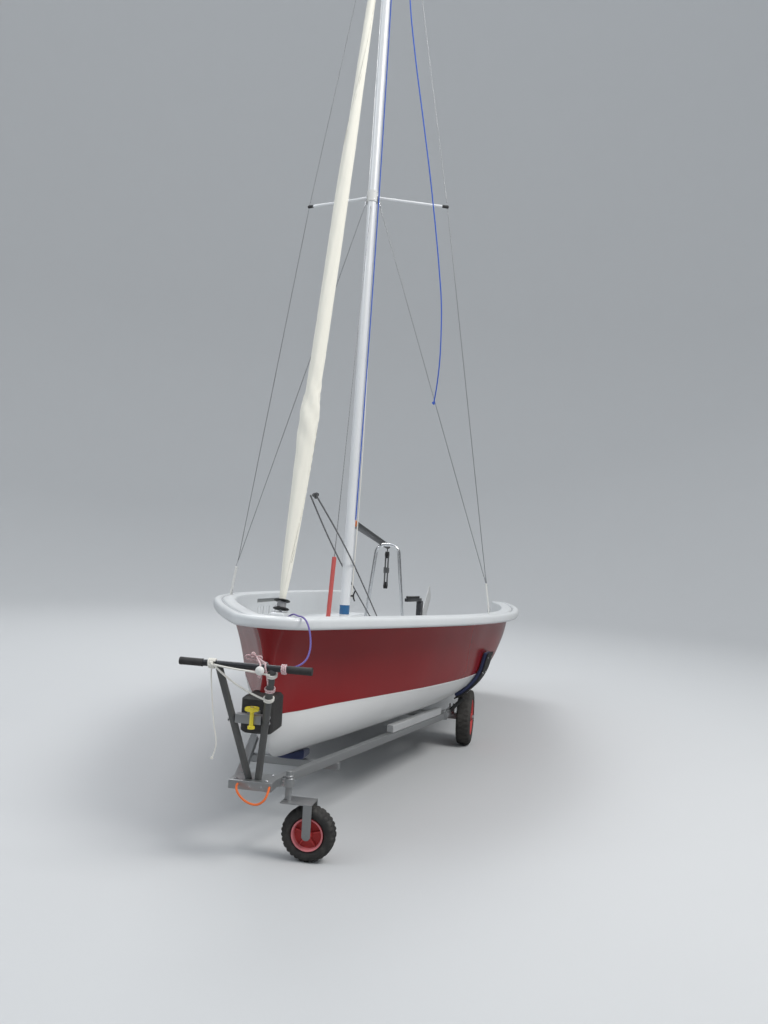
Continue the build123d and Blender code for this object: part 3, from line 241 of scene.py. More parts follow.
def section_points(row: tuple, half: float) -> Array:
    """One hull section from the keel to the sheer: bottom, bilge and topside arcs.

    Args:
        row: a row of HULL_SECTIONS, or one interpolated between two rows.
        half: the section's half-breadth at the sheer.

    Returns:
        Points (half-breadth, height) from the keel up.
    """
    aft, keel, deadrise, start_y, start_z, end_y, end_z = row
    rise = radians(deadrise)
    bottom, heading = tangent_arc((0, keel), (start_y, start_z), (cos(rise), sin(rise)), 30)
    bilge, heading = tangent_arc((start_y, start_z), (end_y, end_z), heading, 30)
    side, _ = tangent_arc((end_y, end_z), (half, float(sheer(aft))), heading, 30)
    return np.concatenate((bottom, bilge[1:], side[1:]))


class Mesh:
    """Collects vertices and faces of one piece and turns them into a Blender object."""

    def __init__(self) -> None:
        """Starts without points."""
        self.vertices = []
        self.faces = []
        self.uvs = []
        self.count = 0

    def add(self, vertices: Array, faces: list, uvs: list | None) -> Self:
        """Adds vertices (n, 3), faces that index them from zero, and each face's UV corners.

        Args:
            vertices: points (n, 3).
            faces: tuples of indices.
            uvs: one pair for each corner of each face.

        Returns:
            The mesh itself.
        """
        vertices = np.asarray(vertices, float).reshape(-1, 3)
        self.vertices.append(vertices)
        self.faces.extend([tuple(i + self.count for i in face) for face in faces])
        self.uvs.extend(uvs)
        self.count += len(vertices)
        return self

    def grid(self, rows: Array, wrap: bool = False, turn: bool = False, caps: bool = False) -> Self:
        """Adds a grid of points (n, m, 3) as quads.

        Args:
            rows: the points, row by row.
            wrap: True where a row closes into a loop.
            turn: True to flip the faces over.
            caps: True to close the first and last loop with a face.

        Returns:
            The mesh itself.
        """
        rows = np.asarray(rows, float)
        n, m = rows.shape[:2]
        last = m if wrap else m - 1
        run = np.r_[0, np.cumsum(np.linalg.norm(np.diff(rows.mean(axis=1), axis=0), axis=1))]
        i, j = np.meshgrid(np.arange(n - 1), np.arange(last), indexing="ij")
        a, b = i * m + j, i * m + (j + 1) % m
        faces = np.stack((a, b, b + m, a + m), -1).reshape(-1, 4)
        corners = ((i, j), (i, j + 1), (i + 1, j + 1), (i + 1, j))
        uvs = np.stack([np.stack((run[p], q / last), -1) for p, q in corners], -2).reshape(-1, 4, 2)
        way = -1 if turn else 1
        faces, uvs = faces[:, ::way].tolist(), uvs[:, ::way].tolist()
        if caps:
            first, end = tuple(range(m)), tuple(range((n - 1) * m, n * m))
            faces += [first[::-way], end[::way]]
            uvs += [((0.0, 0.0),) * m, ((run[-1], 0.0),) * m]
        return self.add(rows, faces, uvs)

    def closed(self, rows: Array) -> Self:
        """Adds rows of points as a closed body: each row a loop, a face at either end."""
        return self.grid(rows, wrap=True, caps=True)

    def rod(self, path: Array, radius: float, sides: int = 10) -> Self:
        """Adds a round rod that follows a path."""
        return self.closed(swept(path, circle(radius, sides)))

    def both_sides(self) -> Self:
        """Adds the mirror image of everything so far on the other side of the boat.

        Returns:
            The mesh itself.
        """
        vertices = np.concatenate(self.vertices)
        faces = [tuple(reversed(face)) for face in self.faces]
        return self.add(vertices * (1, -1, 1), faces, [tuple(reversed(uv)) for uv in self.uvs])

    def build(self, name: str, finish: "Finish", body: str = "base", replaces: str = "",
            flat: bool = False, weld: float = 0.00005) -> bpy.types.Object:
        """Args:
            name: the piece's name.
            finish: its finish.
            body: the CAD body it rides on.
            replaces: CAD nodes that it stands for, with a space between.
            flat: True to keep flat shading.
            weld: distance under which points are merged.

        Returns:
            The Blender object.
        """
        vertices = np.concatenate(self.vertices)
        mesh = bpy.data.meshes.new(name)
        mesh.from_pydata(vertices.tolist(), [], self.faces)
        layer = mesh.uv_layers.new(name="run")
        layer.data.foreach_set("uv", np.array([v for uv in self.uvs for corner in uv
            for v in corner]))
        mesh.validate()
        obj = bpy.data.objects.new(name, mesh)
        bpy.context.scene.collection.objects.link(obj)
        tidy_mesh(mesh, weld, flat)
        mesh.materials.append(finish.material())
        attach(obj, body)
        if replaces:
            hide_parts(*replaces.split())
        PIECES.append(obj)
        LOG.info("%s: %d faces on %s", name, len(mesh.polygons), body)
        return obj


def tidy_mesh(mesh: bpy.types.Mesh, weld: float, flat: bool) -> None:
    """Merges doubled points, turns all faces outwards and sets the shading.

    Args:
        mesh: the mesh data.
        weld: distance under which points are merged.
        flat: True to keep flat shading.
    """
    work = bmesh.new()
    work.from_mesh(mesh)
    if weld:
        bmesh.ops.remove_doubles(work, verts=work.verts, dist=weld)
    bmesh.ops.recalc_face_normals(work, faces=work.faces)
    for face in work.faces:
        face.smooth = not flat
    work.to_mesh(mesh)
    work.free()
    if not flat:
        mesh.set_sharp_from_angle(angle=radians(SHARP_ANGLE))


def frames_along(path: Array) -> tuple[Array, Array, Array]:
    """Directions along a path and two directions across it that don't twist.

    Args:
        path: points (n, 3).

    Returns:
        The directions along, across and up, (n, 3) each.
    """
    path = np.asarray(path, float)
    along = np.gradient(path, axis=0)
    along /= np.linalg.norm(along, axis=1)[:, None] + 1e-12
    first = np.cross(along[0], UP)
    if np.linalg.norm(first) < 1e-3:
        first = np.cross(along[0], PORT)
    across = [first / np.linalg.norm(first)]
    for direction in along[1:]:
        v = across[-1] - (across[-1] @ direction) * direction
        across.append(v / np.linalg.norm(v))
    across = np.array(across)
    return along, across, np.cross(along, across)


def swept(path: Array, outline: Array, scale: Array | None = None,
        sideways: Array | None = None) -> Array:
    """Rows of points: an outline carried along a path.

    Each row is path + u across + v up, for the outline's own (u, v).

    Args:
        path: points (n, 3).
        outline: points (m, 2), or (n, m, 2) to vary along the path.
        scale: one factor per row.
        sideways: fixed direction for u.

    Returns:
        Points (n, m, 3).
    """
    path = np.asarray(path, float)
    outline = np.asarray(outline, float)
    if outline.ndim == 2:
        outline = np.repeat(outline[None], len(path), axis=0)
    if scale is not None:
        outline = outline * np.asarray(scale, float)[:, None, None]
    along, across, up = frames_along(path)
    if sideways is not None:
        across = np.cross(np.cross(along, np.asarray(sideways, float)), along)
        across /= np.linalg.norm(across, axis=1)[:, None]
        up = np.cross(along, across)
    return path[:, None] + outline[..., :1] * across[:, None] + outline[..., 1:] * up[:, None]


def circle(radius: float, count: int = 20) -> Array:
    """Points (u, v) of a circle."""
    a = np.linspace(0, ROUND, count, endpoint=False)
    return np.stack((radius * np.cos(a), radius * np.sin(a)), -1)


def rounded_rectangle(width: float, height: float, radius: float, steps: int = 4) -> Array:
    """Points (u, v) of a rectangle with rounded corners.

    Args:
        width: size along u.
        height: size along v.
        radius: of the corners.
        steps: parts of each corner.

    Returns:
        Points (n, 2).
    """
    points = []
    for quarter, (sx, sy) in enumerate(((1, 1), (-1, 1), (-1, -1), (1, -1))):
        for a in np.linspace(quarter * pi / 2, (quarter + 1) * pi / 2, steps + 1):
            points.append((sx * (width / 2 - radius) + radius * cos(a), sy * (height / 2 - radius)
                + radius * sin(a)))
    return np.array(points)


def tube(mesh: Mesh, path: Array, radius: Array, sides: int = 16) -> Mesh:
    """Adds a closed round tube along a path, with slightly rounded ends.

    Args:
        mesh: the mesh that it is added to.
        path: points (n, 3).
        radius: one value, or one a point.
        sides: points round it.

    Returns:
        The mesh.
    """
    path = np.asarray(path, float)
    if len(path) == 2:
        path = np.linspace(path[0], path[1], 5)
    radius = np.broadcast_to(np.asarray(radius, float), (len(path),))
    rows = swept(path, circle(1.0, sides), radius)
    start = swept(path[:2], circle(radius[0] * 0.72, sides))[:1]
    end = swept(path[-2:], circle(radius[-1] * 0.72, sides))[-1:]
    along = frames_along(path)[0]
    rows[0] += along[0] * radius[0] * 0.25
    rows[-1] -= along[-1] * radius[-1] * 0.25
    return mesh.closed(np.concatenate((start, rows, end)))


def rounded_block(mesh: Mesh, centre: Array, size: tuple, radius: float = 0.004,
        axes: Array | None = None, steps: int = 3) -> Mesh:
    """Adds a block with rounded edges and corners.

    Each point of a subdivided box is moved to the inner box (smaller by the radius all round) and
    pushed out by the radius along the way it came.

    Args:
        mesh: the mesh that it is added to.
        centre: the block's middle.
        size: its three lengths.
        radius: of its edges.
        axes: its three directions as rows, the frame's own by default.
        steps: cells across each rounding.

    Returns:
        The mesh.
    """
    half = np.asarray(size, float) / 2
    radius = min(radius, *(0.98 * half))
    edge = np.sin(np.linspace(0, pi / 2, steps + 1))
    axes = np.eye(3) if axes is None else np.asarray(axes, float)
    for axis in range(3):
        for side in (-1, 1):
            u, v = (axis + 1) % 3, (axis + 2) % 3
            ticks = []
            for k in (u, v):
                inner = half[k] - radius
                low = -inner - radius * edge[::-1]
                ticks.append(np.r_[low, -low[::-1]])
            gu, gv = np.meshgrid(*ticks, indexing="ij")
            point = np.zeros(gu.shape + (3,))
            point[..., axis] = side * half[axis]
            point[..., u], point[..., v] = gu, gv
            inner = np.clip(point, radius - half, half - radius)
            away = point - inner
            length = np.linalg.norm(away, axis=-1)[..., None]
            point = inner + radius * away / np.maximum(length, 1e-9)
            mesh.grid(np.asarray(centre, float) + point @ axes, turn=side < 0)
    return mesh


def lathe(mesh: Mesh, profile: Array, origin: Array, axis: Array, sides: int = 48,
        ripple: Callable | None = None) -> Mesh:
    """Adds a turned piece: (radius, along) points carried round an axis.

    Args:
        mesh: the mesh that it is added to.
        profile: pairs (radius, distance along the axis).
        origin: where the axis starts.
        axis: its direction.
        sides: points round it.
        ripple: function of angle and profile index that is added to the radius.

    Returns:
        The mesh.
    """
    profile = np.asarray(profile, float)
    axis = np.asarray(axis, float) / np.linalg.norm(axis)
    helper = UP if abs(axis[2]) < 0.9 else PORT
    u = np.cross(helper, axis)
    u /= np.linalg.norm(u)
    v = np.cross(axis, u)
    angles = np.linspace(0, ROUND, sides, endpoint=False)
    radius = np.repeat(profile[:, :1], sides, axis=1)
    if ripple is not None:
        radius = radius + ripple(angles[None, :], np.arange(len(profile))[:, None])
    spin = np.cos(angles)[:, None] * u + np.sin(angles)[:, None] * v
    rows = np.asarray(origin, float) + profile[:, 1][:, None, None] * axis + radius[...,
        None] * spin
    return mesh.grid(rows, wrap=True)


class Texture(Enum):
    """What a finish shows at close range."""

    GLOSS = "gloss"
    MOULDED = "moulded"
    NONSKID = "nonskid"
    GALVANISED = "galvanised"
    BRUSHED = "brushed"
    WEBBING = "webbing"
    SAILCLOTH = "sailcloth"
    BRAID = "braid"
    STRANDS = "strands"
    RUBBER = "rubber"


class Graph:
    """Shorthand for adding nodes to one node tree."""

    def __init__(self, tree: bpy.types.NodeTree) -> None:
        """Wraps a node tree."""
        self.tree = tree

    def add(self, kind: str, **inputs: object) -> bpy.types.Node:
        """Adds a node; keyword names are input names with _ for a space, or node attributes.

        Args:
            kind: the node's type.
            inputs: values by input name, with _ for a space, or node attributes.

        Returns:
            The node.
        """
        node = self.tree.nodes.new(kind)
        for key, value in inputs.items():
            if hasattr(node, key) and key not in node.inputs:
                setattr(node, key, value)
                continue
            self.put(node.inputs[key.replace("_", " ")], value)
        return node

    def put(self, socket: Socket, value: object) -> None:
        """Links an output, or sets a plain value.

        Args:
            socket: the input.
            value: an output or a plain value.
        """
        if isinstance(value, bpy.types.NodeSocket):
            self.tree.links.new(value, socket)
        else:
            socket.default_value = value

    def math(self, operation: str, a: Socket | float, b: Socket | float = 0.0,
            c: Socket | float | None = None) -> Socket:
        """Math node on two or three values or outputs.

        Args:
            operation: the node's operation.
            a: first value or output.
            b: second.
            c: third, where it has one.

        Returns:
            The node's output.
        """
        node = self.tree.nodes.new("ShaderNodeMath")
        node.operation = operation
        self.put(node.inputs[0], a)
        self.put(node.inputs[1], b)
        if c is not None:
            self.put(node.inputs[2], c)
        return node.outputs[0]

    def mix(self, factor: Socket | float, a: Socket | float, b: Socket | float) -> Socket:
        """Mix of two colours.

        Args:
            factor: share of the second colour.
            a: first colour.
            b: second colour.

        Returns:
            The node's output.
        """
        node = self.tree.nodes.new("ShaderNodeMix")
        node.data_type = "RGBA"
        self.put(node.inputs[0], factor)
        self.put(node.inputs[6], a)
        self.put(node.inputs[7], b)
        return node.outputs[2]

    def spread(self, value: Socket, low: float, high: float, out_low: float = 0.0,
            out_high: float = 1.0) -> Socket:
        """Map range, clamped.

        Args:
            value: what is mapped.
            low: value that gives out_low.
            high: value that gives out_high.
            out_low: result at the low end.
            out_high: result at the high end.

        Returns:
            The node's output.
        """
        node = self.tree.nodes.new("ShaderNodeMapRange")
        self.put(node.inputs[0], value)
        for index, number in enumerate((low, high, out_low, out_high), start=1):
            self.put(node.inputs[index], number)
        return node.outputs[0]


def group_for(texture: Texture) -> bpy.types.NodeTree:
    """Node group of one texture: Position, Colour and Second in; Colour, Roughness, Height out.

    Args:
        texture: which texture.

    Returns:
        The node group.
    """
    name = f"surface_{texture.value}"
    if name in bpy.data.node_groups:
        return bpy.data.node_groups[name]
    tree = bpy.data.node_groups.new(name, "ShaderNodeTree")
    for label, kind in (("Position", "NodeSocketVector"), ("Colour", "NodeSocketColor"),
            ("Second", "NodeSocketColor"), ("Base Roughness", "NodeSocketFloat"),
            ("Wear", "NodeSocketFloat"), ("Scale", "NodeSocketFloat")):
        tree.interface.new_socket(label, in_out="INPUT", socket_type=kind)
    for label, kind in (("Colour", "NodeSocketColor"), ("Roughness", "NodeSocketFloat"),
            ("Height", "NodeSocketFloat")):
        tree.interface.new_socket(label, in_out="OUTPUT", socket_type=kind)
    g = Graph(tree)
    enter = tree.nodes.new("NodeGroupInput").outputs
    leave = tree.nodes.new("NodeGroupOutput").inputs
    place_in, colour, second = enter["Position"], enter["Colour"], enter["Second"]
    rough, wear, scale = enter["Base Roughness"], enter["Wear"], enter["Scale"]

    def noise(size: float, detail: float = 3.0, stretch: tuple | None = None) -> Socket:
        """Noise of a size in metres; stretch scales the position first.

        Args:
            size: width of a blotch in metres.
            detail: how many finer layers.
            stretch: factors on the position.

        Returns:
            The node's output.
        """
        vector = place_in
        if stretch is not None:
            vector = g.add("ShaderNodeMapping", Vector=place_in, Scale=stretch).outputs[0]
        node = g.add("ShaderNodeTexNoise", Vector=vector, Scale=1 / size, Detail=detail)
        return node.outputs[0]

    broad, dust = noise(0.35), noise(0.012, 5.0)
    blotch = g.spread(broad, 0.3, 0.7)
    tint = g.mix(g.math("MULTIPLY", blotch, wear), colour, second)
    speck = g.math("MULTIPLY", g.spread(dust, 0.55, 0.75), wear)
    base = g.mix(g.math("MULTIPLY", speck, 0.6), tint, second)
    height = g.math("MULTIPLY", noise(0.004, 2.0), 0.15)
    roughness = g.math("ADD", rough, g.math("MULTIPLY", g.math("SUBTRACT", dust, 0.5), 0.25))

    if texture is Texture.GLOSS:
        height = g.math("MULTIPLY", noise(0.05, 2.0), 0.3)
        base = tint
        roughness = g.math("ADD", rough, g.math("MULTIPLY", g.math("SUBTRACT", broad, 0.5), 0.1))
        streak = g.spread(noise(0.05, 4.0, (1.0, 1.0, 0.15)), 0.5, 0.85)
        base = g.mix(g.math("MULTIPLY", streak, g.math("MULTIPLY", wear, 0.7)), base, second)
    elif texture is Texture.NONSKID:
        dots = g.add("ShaderNodeTexVoronoi", Vector=place_in, Scale=170.0, feature="F1")
        bump = g.spread(dots.outputs["Distance"], 0.15, 0.5, 1.0, 0.0)
        height = bump
        # Darker between the raised dots: painted shade in the hollows.
        base = g.mix(g.math("MULTIPLY", g.math("SUBTRACT", 1.0, bump), 0.25), base, second)
        roughness = g.math("ADD", roughness, 0.1)
    elif texture is Texture.GALVANISED:
        cells = g.add("ShaderNodeTexVoronoi", Vector=place_in, Scale=g.math("DIVIDE", 1.0, scale),
            feature="F1")
        flake = g.add("ShaderNodeSeparateColor", Color=cells.outputs["Color"]).outputs[0]
        base = g.mix(g.math("MULTIPLY", flake, 0.55), base, second)
        roughness = g.math("ADD", rough, g.math("MULTIPLY", g.math("SUBTRACT", flake, 0.5), 0.25))
        height = g.math("ADD", g.math("MULTIPLY", flake, 0.2),
            g.math("MULTIPLY", noise(0.006), 0.8))
    elif texture is Texture.BRUSHED:
        lines = noise(0.0016, 2.0, (1.0, 1.0, 0.04))
        roughness = g.math("ADD", rough, g.math("MULTIPLY", g.math("SUBTRACT", lines, 0.5), 0.3))
        height = g.math("MULTIPLY", lines, 0.5)
    elif texture in (Texture.WEBBING, Texture.SAILCLOTH):
        parts = g.add("ShaderNodeSeparateXYZ", Vector=place_in).outputs
        turn = g.math("DIVIDE", pi, scale)
        flat = g.math("SINE", g.math("MULTIPLY", g.math("ADD", parts[0], parts[1]), turn))
        tall = g.math("SINE", g.math("MULTIPLY", g.math("ADD", parts[2],
            g.math("MULTIPLY", parts[1], 0.5)), turn))
        weave = g.math("MULTIPLY", g.math("ABSOLUTE", flat), g.math("ABSOLUTE", tall))
        height = g.math("ADD", weave, g.math("MULTIPLY", noise(0.03), 2.0))
        base = g.mix(g.math("MULTIPLY", g.math("SUBTRACT", 1.0, weave), 0.3), base, second)
    elif texture in (Texture.BRAID, Texture.STRANDS):
        parts = g.add("ShaderNodeSeparateXYZ", Vector=place_in).outputs
        around = g.math("MULTIPLY", parts[1], 2 * pi * (3.0 if texture is Texture.BRAID else 2.0))
        along = g.math("MULTIPLY", parts[0], g.math("DIVIDE", 2 * pi, scale))
        one = g.math("SINE", g.math("ADD", along, around))
        other = g.math("SINE", g.math("SUBTRACT", along, around))
        weave = g.math("MAXIMUM", one, other) if texture is Texture.BRAID else one
        height = weave
        base = g.mix(g.spread(weave, -0.2, 0.6, 0.75, 0.0), base, second)
        roughness = g.math("ADD", rough, 0.05)
    elif texture is Texture.RUBBER:
        scuff = g.spread(noise(0.03, 6.0), 0.5, 0.75)
        base = g.mix(g.math("MULTIPLY", scuff, wear), base, second)
        height = noise(0.0012, 3.0)
    g.put(leave["Colour"], base)
    g.put(leave["Roughness"], roughness)
    g.put(leave["Height"], height)
    return tree


@dataclass(frozen=True)
class Finish:
    """One surface finish, as a material made of nodes."""

    name: str
    colour: tuple
    second: tuple
    texture: Texture
    roughness: float = 0.5
    metallic: float = 0.0
    coat: float = 0.0
    wear: float = 0.3
    bump: float = 0.2
    distance: float = 0.0004
    scale: float = 0.004
    by_uv: bool = False
    sheen: float = 0.0
    specular: float = 0.5

    def material(self) -> bpy.types.Material:
        """Makes the finish's material, or takes the one that already has its name.

        Returns:
            The material.
        """
        if self.name in bpy.data.materials:
            return bpy.data.materials[self.name]
        material = bpy.data.materials.new(self.name)
        material.use_nodes = True
        tree = material.node_tree
        shader = tree.nodes["Principled BSDF"]
        g = Graph(tree)
        coordinates = tree.nodes.new("ShaderNodeTexCoord")
        surface = tree.nodes.new("ShaderNodeGroup")
        surface.node_tree = group_for(self.texture)
        bump = tree.nodes.new("ShaderNodeBump")
        where = coordinates.outputs["UV" if self.by_uv else "Object"]
        settings = (
            (surface, {"Position": where, "Colour": (*self.colour, 1), "Second": (*self.second, 1),
                "Base Roughness": self.roughness, "Wear": self.wear, "Scale": self.scale}),
            (bump, {"Strength": self.bump, "Distance": self.distance,
                "Height": surface.outputs["Height"]}),
            (shader, {"Base Color": surface.outputs["Colour"],
                "Roughness": surface.outputs["Roughness"], "Normal": bump.outputs[0],
                "Metallic": self.metallic, "Coat Weight": self.coat,
                "Coat Roughness": COAT_ROUGHNESS, "Sheen Weight": self.sheen,
                "Specular IOR Level": self.specular}),
        )
        for node, values in settings:
            for name, value in values.items():
                g.put(node.inputs[name], value)
        return material


RED_GEL = Finish("red_gelcoat", (0.225, 0.012, 0.014), (0.16, 0.01, 0.012), Texture.GLOSS, 0.22,
    coat=0.06, wear=0.22, bump=0.03, distance=0.002, specular=0.28)
WHITE_GEL = Finish("white_gelcoat", (0.66, 0.665, 0.665), (0.55, 0.55, 0.53), Texture.GLOSS, 0.32,
    coat=0.25, wear=0.15, bump=0.03, distance=0.002)
DECK_GEL = Finish("deck_gelcoat", (0.68, 0.7, 0.715), (0.54, 0.55, 0.55), Texture.GLOSS, 0.4,
    coat=0.15, wear=0.2, bump=0.04, distance=0.001)
# Its second colour gives random tone and, between the raised dots, painted shade.
NONSKID = Finish("deck_nonskid", (0.66, 0.68, 0.7), (0.45, 0.46, 0.46), Texture.NONSKID, 0.6,
    wear=0.4, bump=0.5, distance=0.0006)
# Painted shade: the grey laid in the floor of the rim's shallow groove.
GROOVE_PAINTED_SHADE = Finish("groove_painted_shade", (0.33, 0.34, 0.36), (0.22, 0.22, 0.23), Texture.MOULDED, 0.6,
    wear=0.4)
# Painted shade: the grey of the dark sheets laid in the cockpit's stowage slot and rib recesses.
SLOT_PAINTED_SHADE = Finish("slot_shade", (0.2, 0.21, 0.21), (0.13, 0.13, 0.13), Texture.MOULDED, 0.7,
    wear=0.3)
SPAR = Finish("spar_lacquer", (0.76, 0.775, 0.79), (0.58, 0.59, 0.6), Texture.BRUSHED, 0.36,
    metallic=0.1, wear=0.2, bump=0.05)
BLUE_BAND = Finish("blue_band", (0.015, 0.13, 0.3), (0.02, 0.04, 0.16), Texture.MOULDED, 0.35,
    coat=0.3)
DARK_SPAR = Finish("dark_anodised", (0.045, 0.047, 0.052), (0.09, 0.09, 0.095), Texture.BRUSHED,
    0.38, metallic=0.6, wear=0.3, bump=0.05)
STEEL = Finish("stainless", (0.74, 0.75, 0.77), (0.55, 0.55, 0.56), Texture.BRUSHED, 0.24,
    metallic=1.0, wear=0.2, bump=0.05)
WIRE = Finish("wire_rope", (0.5, 0.51, 0.53), (0.16, 0.16, 0.17), Texture.STRANDS, 0.32,
    metallic=0.9, wear=0.2, bump=0.6, distance=0.0005, scale=0.02, by_uv=True)
ZINC = Finish("galvanised", (0.4, 0.415, 0.43), (0.24, 0.25, 0.26), Texture.GALVANISED, 0.42,
    metallic=0.75, wear=0.4, bump=0.12, scale=0.012)
BLACK = Finish("black_plastic", (0.022, 0.022, 0.024), (0.06, 0.06, 0.06), Texture.MOULDED, 0.48,
    wear=0.35, bump=0.25)
GREY = Finish("grey_plastic", (0.36, 0.37, 0.38), (0.22, 0.22, 0.22), Texture.MOULDED, 0.5,
    wear=0.4, bump=0.25)
WHITE = Finish("white_plastic", (0.72, 0.72, 0.7), (0.5, 0.5, 0.47), Texture.MOULDED, 0.42,
    wear=0.3, bump=0.15)
SLEEVE = Finish("red_sleeve", (0.52, 0.095, 0.085), (0.34, 0.05, 0.05), Texture.MOULDED, 0.6,
    wear=0.4, bump=0.3)
HANDLE_GREY = Finish("handle_paint", (0.088, 0.09, 0.09), (0.15, 0.15, 0.145), Texture.BRUSHED, 0.5,
    metallic=0.2, wear=0.4, bump=0.1)
RED = Finish("red_plastic", (0.42, 0.022, 0.022), (0.22, 0.02, 0.02), Texture.MOULDED, 0.45,
    wear=0.4, bump=0.2)
PINK = Finish("pink_edge", (0.72, 0.22, 0.24), (0.4, 0.1, 0.12), Texture.MOULDED, 0.5, wear=0.3)
ORANGE = Finish("orange_plastic", (0.62, 0.17, 0.03), (0.35, 0.1, 0.03), Texture.MOULDED, 0.5,
    wear=0.4)
YELLOW = Finish("yellow_plastic", (0.78, 0.62, 0.03), (0.5, 0.36, 0.03), Texture.MOULDED, 0.4,
    wear=0.35, bump=0.15)
RUBBER = Finish("black_rubber", (0.018, 0.018, 0.019), (0.055, 0.053, 0.05), Texture.RUBBER, 0.62,
    wear=0.5, bump=0.3, distance=0.0003)
TYRE = Finish("tyre_rubber", (0.016, 0.016, 0.017), (0.075, 0.07, 0.062), Texture.RUBBER, 0.72,
    wear=0.7, bump=0.35, distance=0.0004)
NAVY = Finish("navy_webbing", (0.012, 0.022, 0.085), (0.03, 0.04, 0.1), Texture.WEBBING, 0.85,
    wear=0.5, bump=0.5, distance=0.0008, scale=0.004, sheen=0.3)
SAIL = Finish("sailcloth", (0.63, 0.61, 0.54), (0.47, 0.45, 0.39), Texture.SAILCLOTH, 0.62,
    wear=0.35, bump=0.3, distance=0.0015, scale=0.0012)
SAIL_EDGE = Finish("sail_edge", (0.62, 0.6, 0.5), (0.42, 0.4, 0.33), Texture.SAILCLOTH, 0.65,
    wear=0.4, bump=0.3, distance=0.0008, scale=0.0012)
FOIL = Finish("foil_white", (0.68, 0.69, 0.69), (0.48, 0.48, 0.45), Texture.GLOSS, 0.3, coat=0.3,
    wear=0.35, bump=0.04, distance=0.001)
BOARD = Finish("grey_board", (0.42, 0.43, 0.44), (0.28, 0.28, 0.27), Texture.MOULDED, 0.6, wear=0.5,
    bump=0.4)


def rope_finish(name: str, colour: tuple, second: tuple, pitch: float) -> Finish:
    """Braided rope whose pattern repeats every pitch of its UV length."""
    return Finish(name, colour, second, Texture.BRAID, 0.8, wear=0.25, bump=0.7, distance=0.0008,
        scale=pitch, by_uv=True, sheen=0.2)


def monotone(t: Array, values: Array, x: Array) -> Array:
    """Smooth curves through rows of values without overshoot (harmonic-mean slopes).

    Args:
        t: knots (n,).
        values: rows (n, ...).
        x: where to sample.

    Returns:
        Samples (len(x), ...).
    """
    t, values, x = np.asarray(t, float), np.asarray(values, float), np.asarray(x, float)
    shape = (-1,) + (1,) * (values.ndim - 1)
    h = np.diff(t).reshape(shape)
    rise = np.diff(values, axis=0) / h
    product = rise[:-1] * rise[1:]
    inner = np.where(product > 0, 2 * product / (rise[:-1] + rise[1:] + 1e-12
        * np.sign(rise[1:] + 1e-15)), 0)
    slope = np.concatenate((rise[:1], inner, rise[-1:]))
    i = np.clip(np.searchsorted(t, x, side="right") - 1, 0, len(t) - 2)
    u = ((x - t[i]) / (t[i + 1] - t[i])).reshape(shape)
    step = (t[i + 1] - t[i]).reshape(shape)
    return ((2 * u**3 - 3 * u**2 + 1) * values[i] + (u**3 - 2 * u**2 + u) * step * slope[i]
        + (3 * u**2 - 2 * u**3) * values[i + 1] + (u**3 - u**2) * step * slope[i + 1])


RIM_LINE, RIM_NORMAL = rim_plan()


def rim_half(aft: float) -> float:
    """Half-breadth of the rim at a distance aft."""
    return float(np.interp(aft, RIM_LINE[:, 0], RIM_LINE[:, 1]))


def inner_line(inset: float, count: int = 260) -> tuple[Array, Array]:
    """The rim's outline set in evenly, along its normals.

    Args:
        inset: distance in from the rim's edge.
        count: how many points.

    Returns:
        The points (aft along the rim, half-breadth) and their normals.
    """
    points = RIM_LINE - RIM_NORMAL * inset
    points[0, 1] = 0
    pick = np.linspace(0, len(points) - 1, count)
    index = np.arange(len(points))
    line = np.stack([np.interp(pick, index, points[:, k]) for k in (0, 1)], -1)
    normal = np.stack([np.interp(pick, index, RIM_NORMAL[:, k]) for k in (0, 1)], -1)
    return line, normal / np.linalg.norm(normal, axis=1)[:, None]


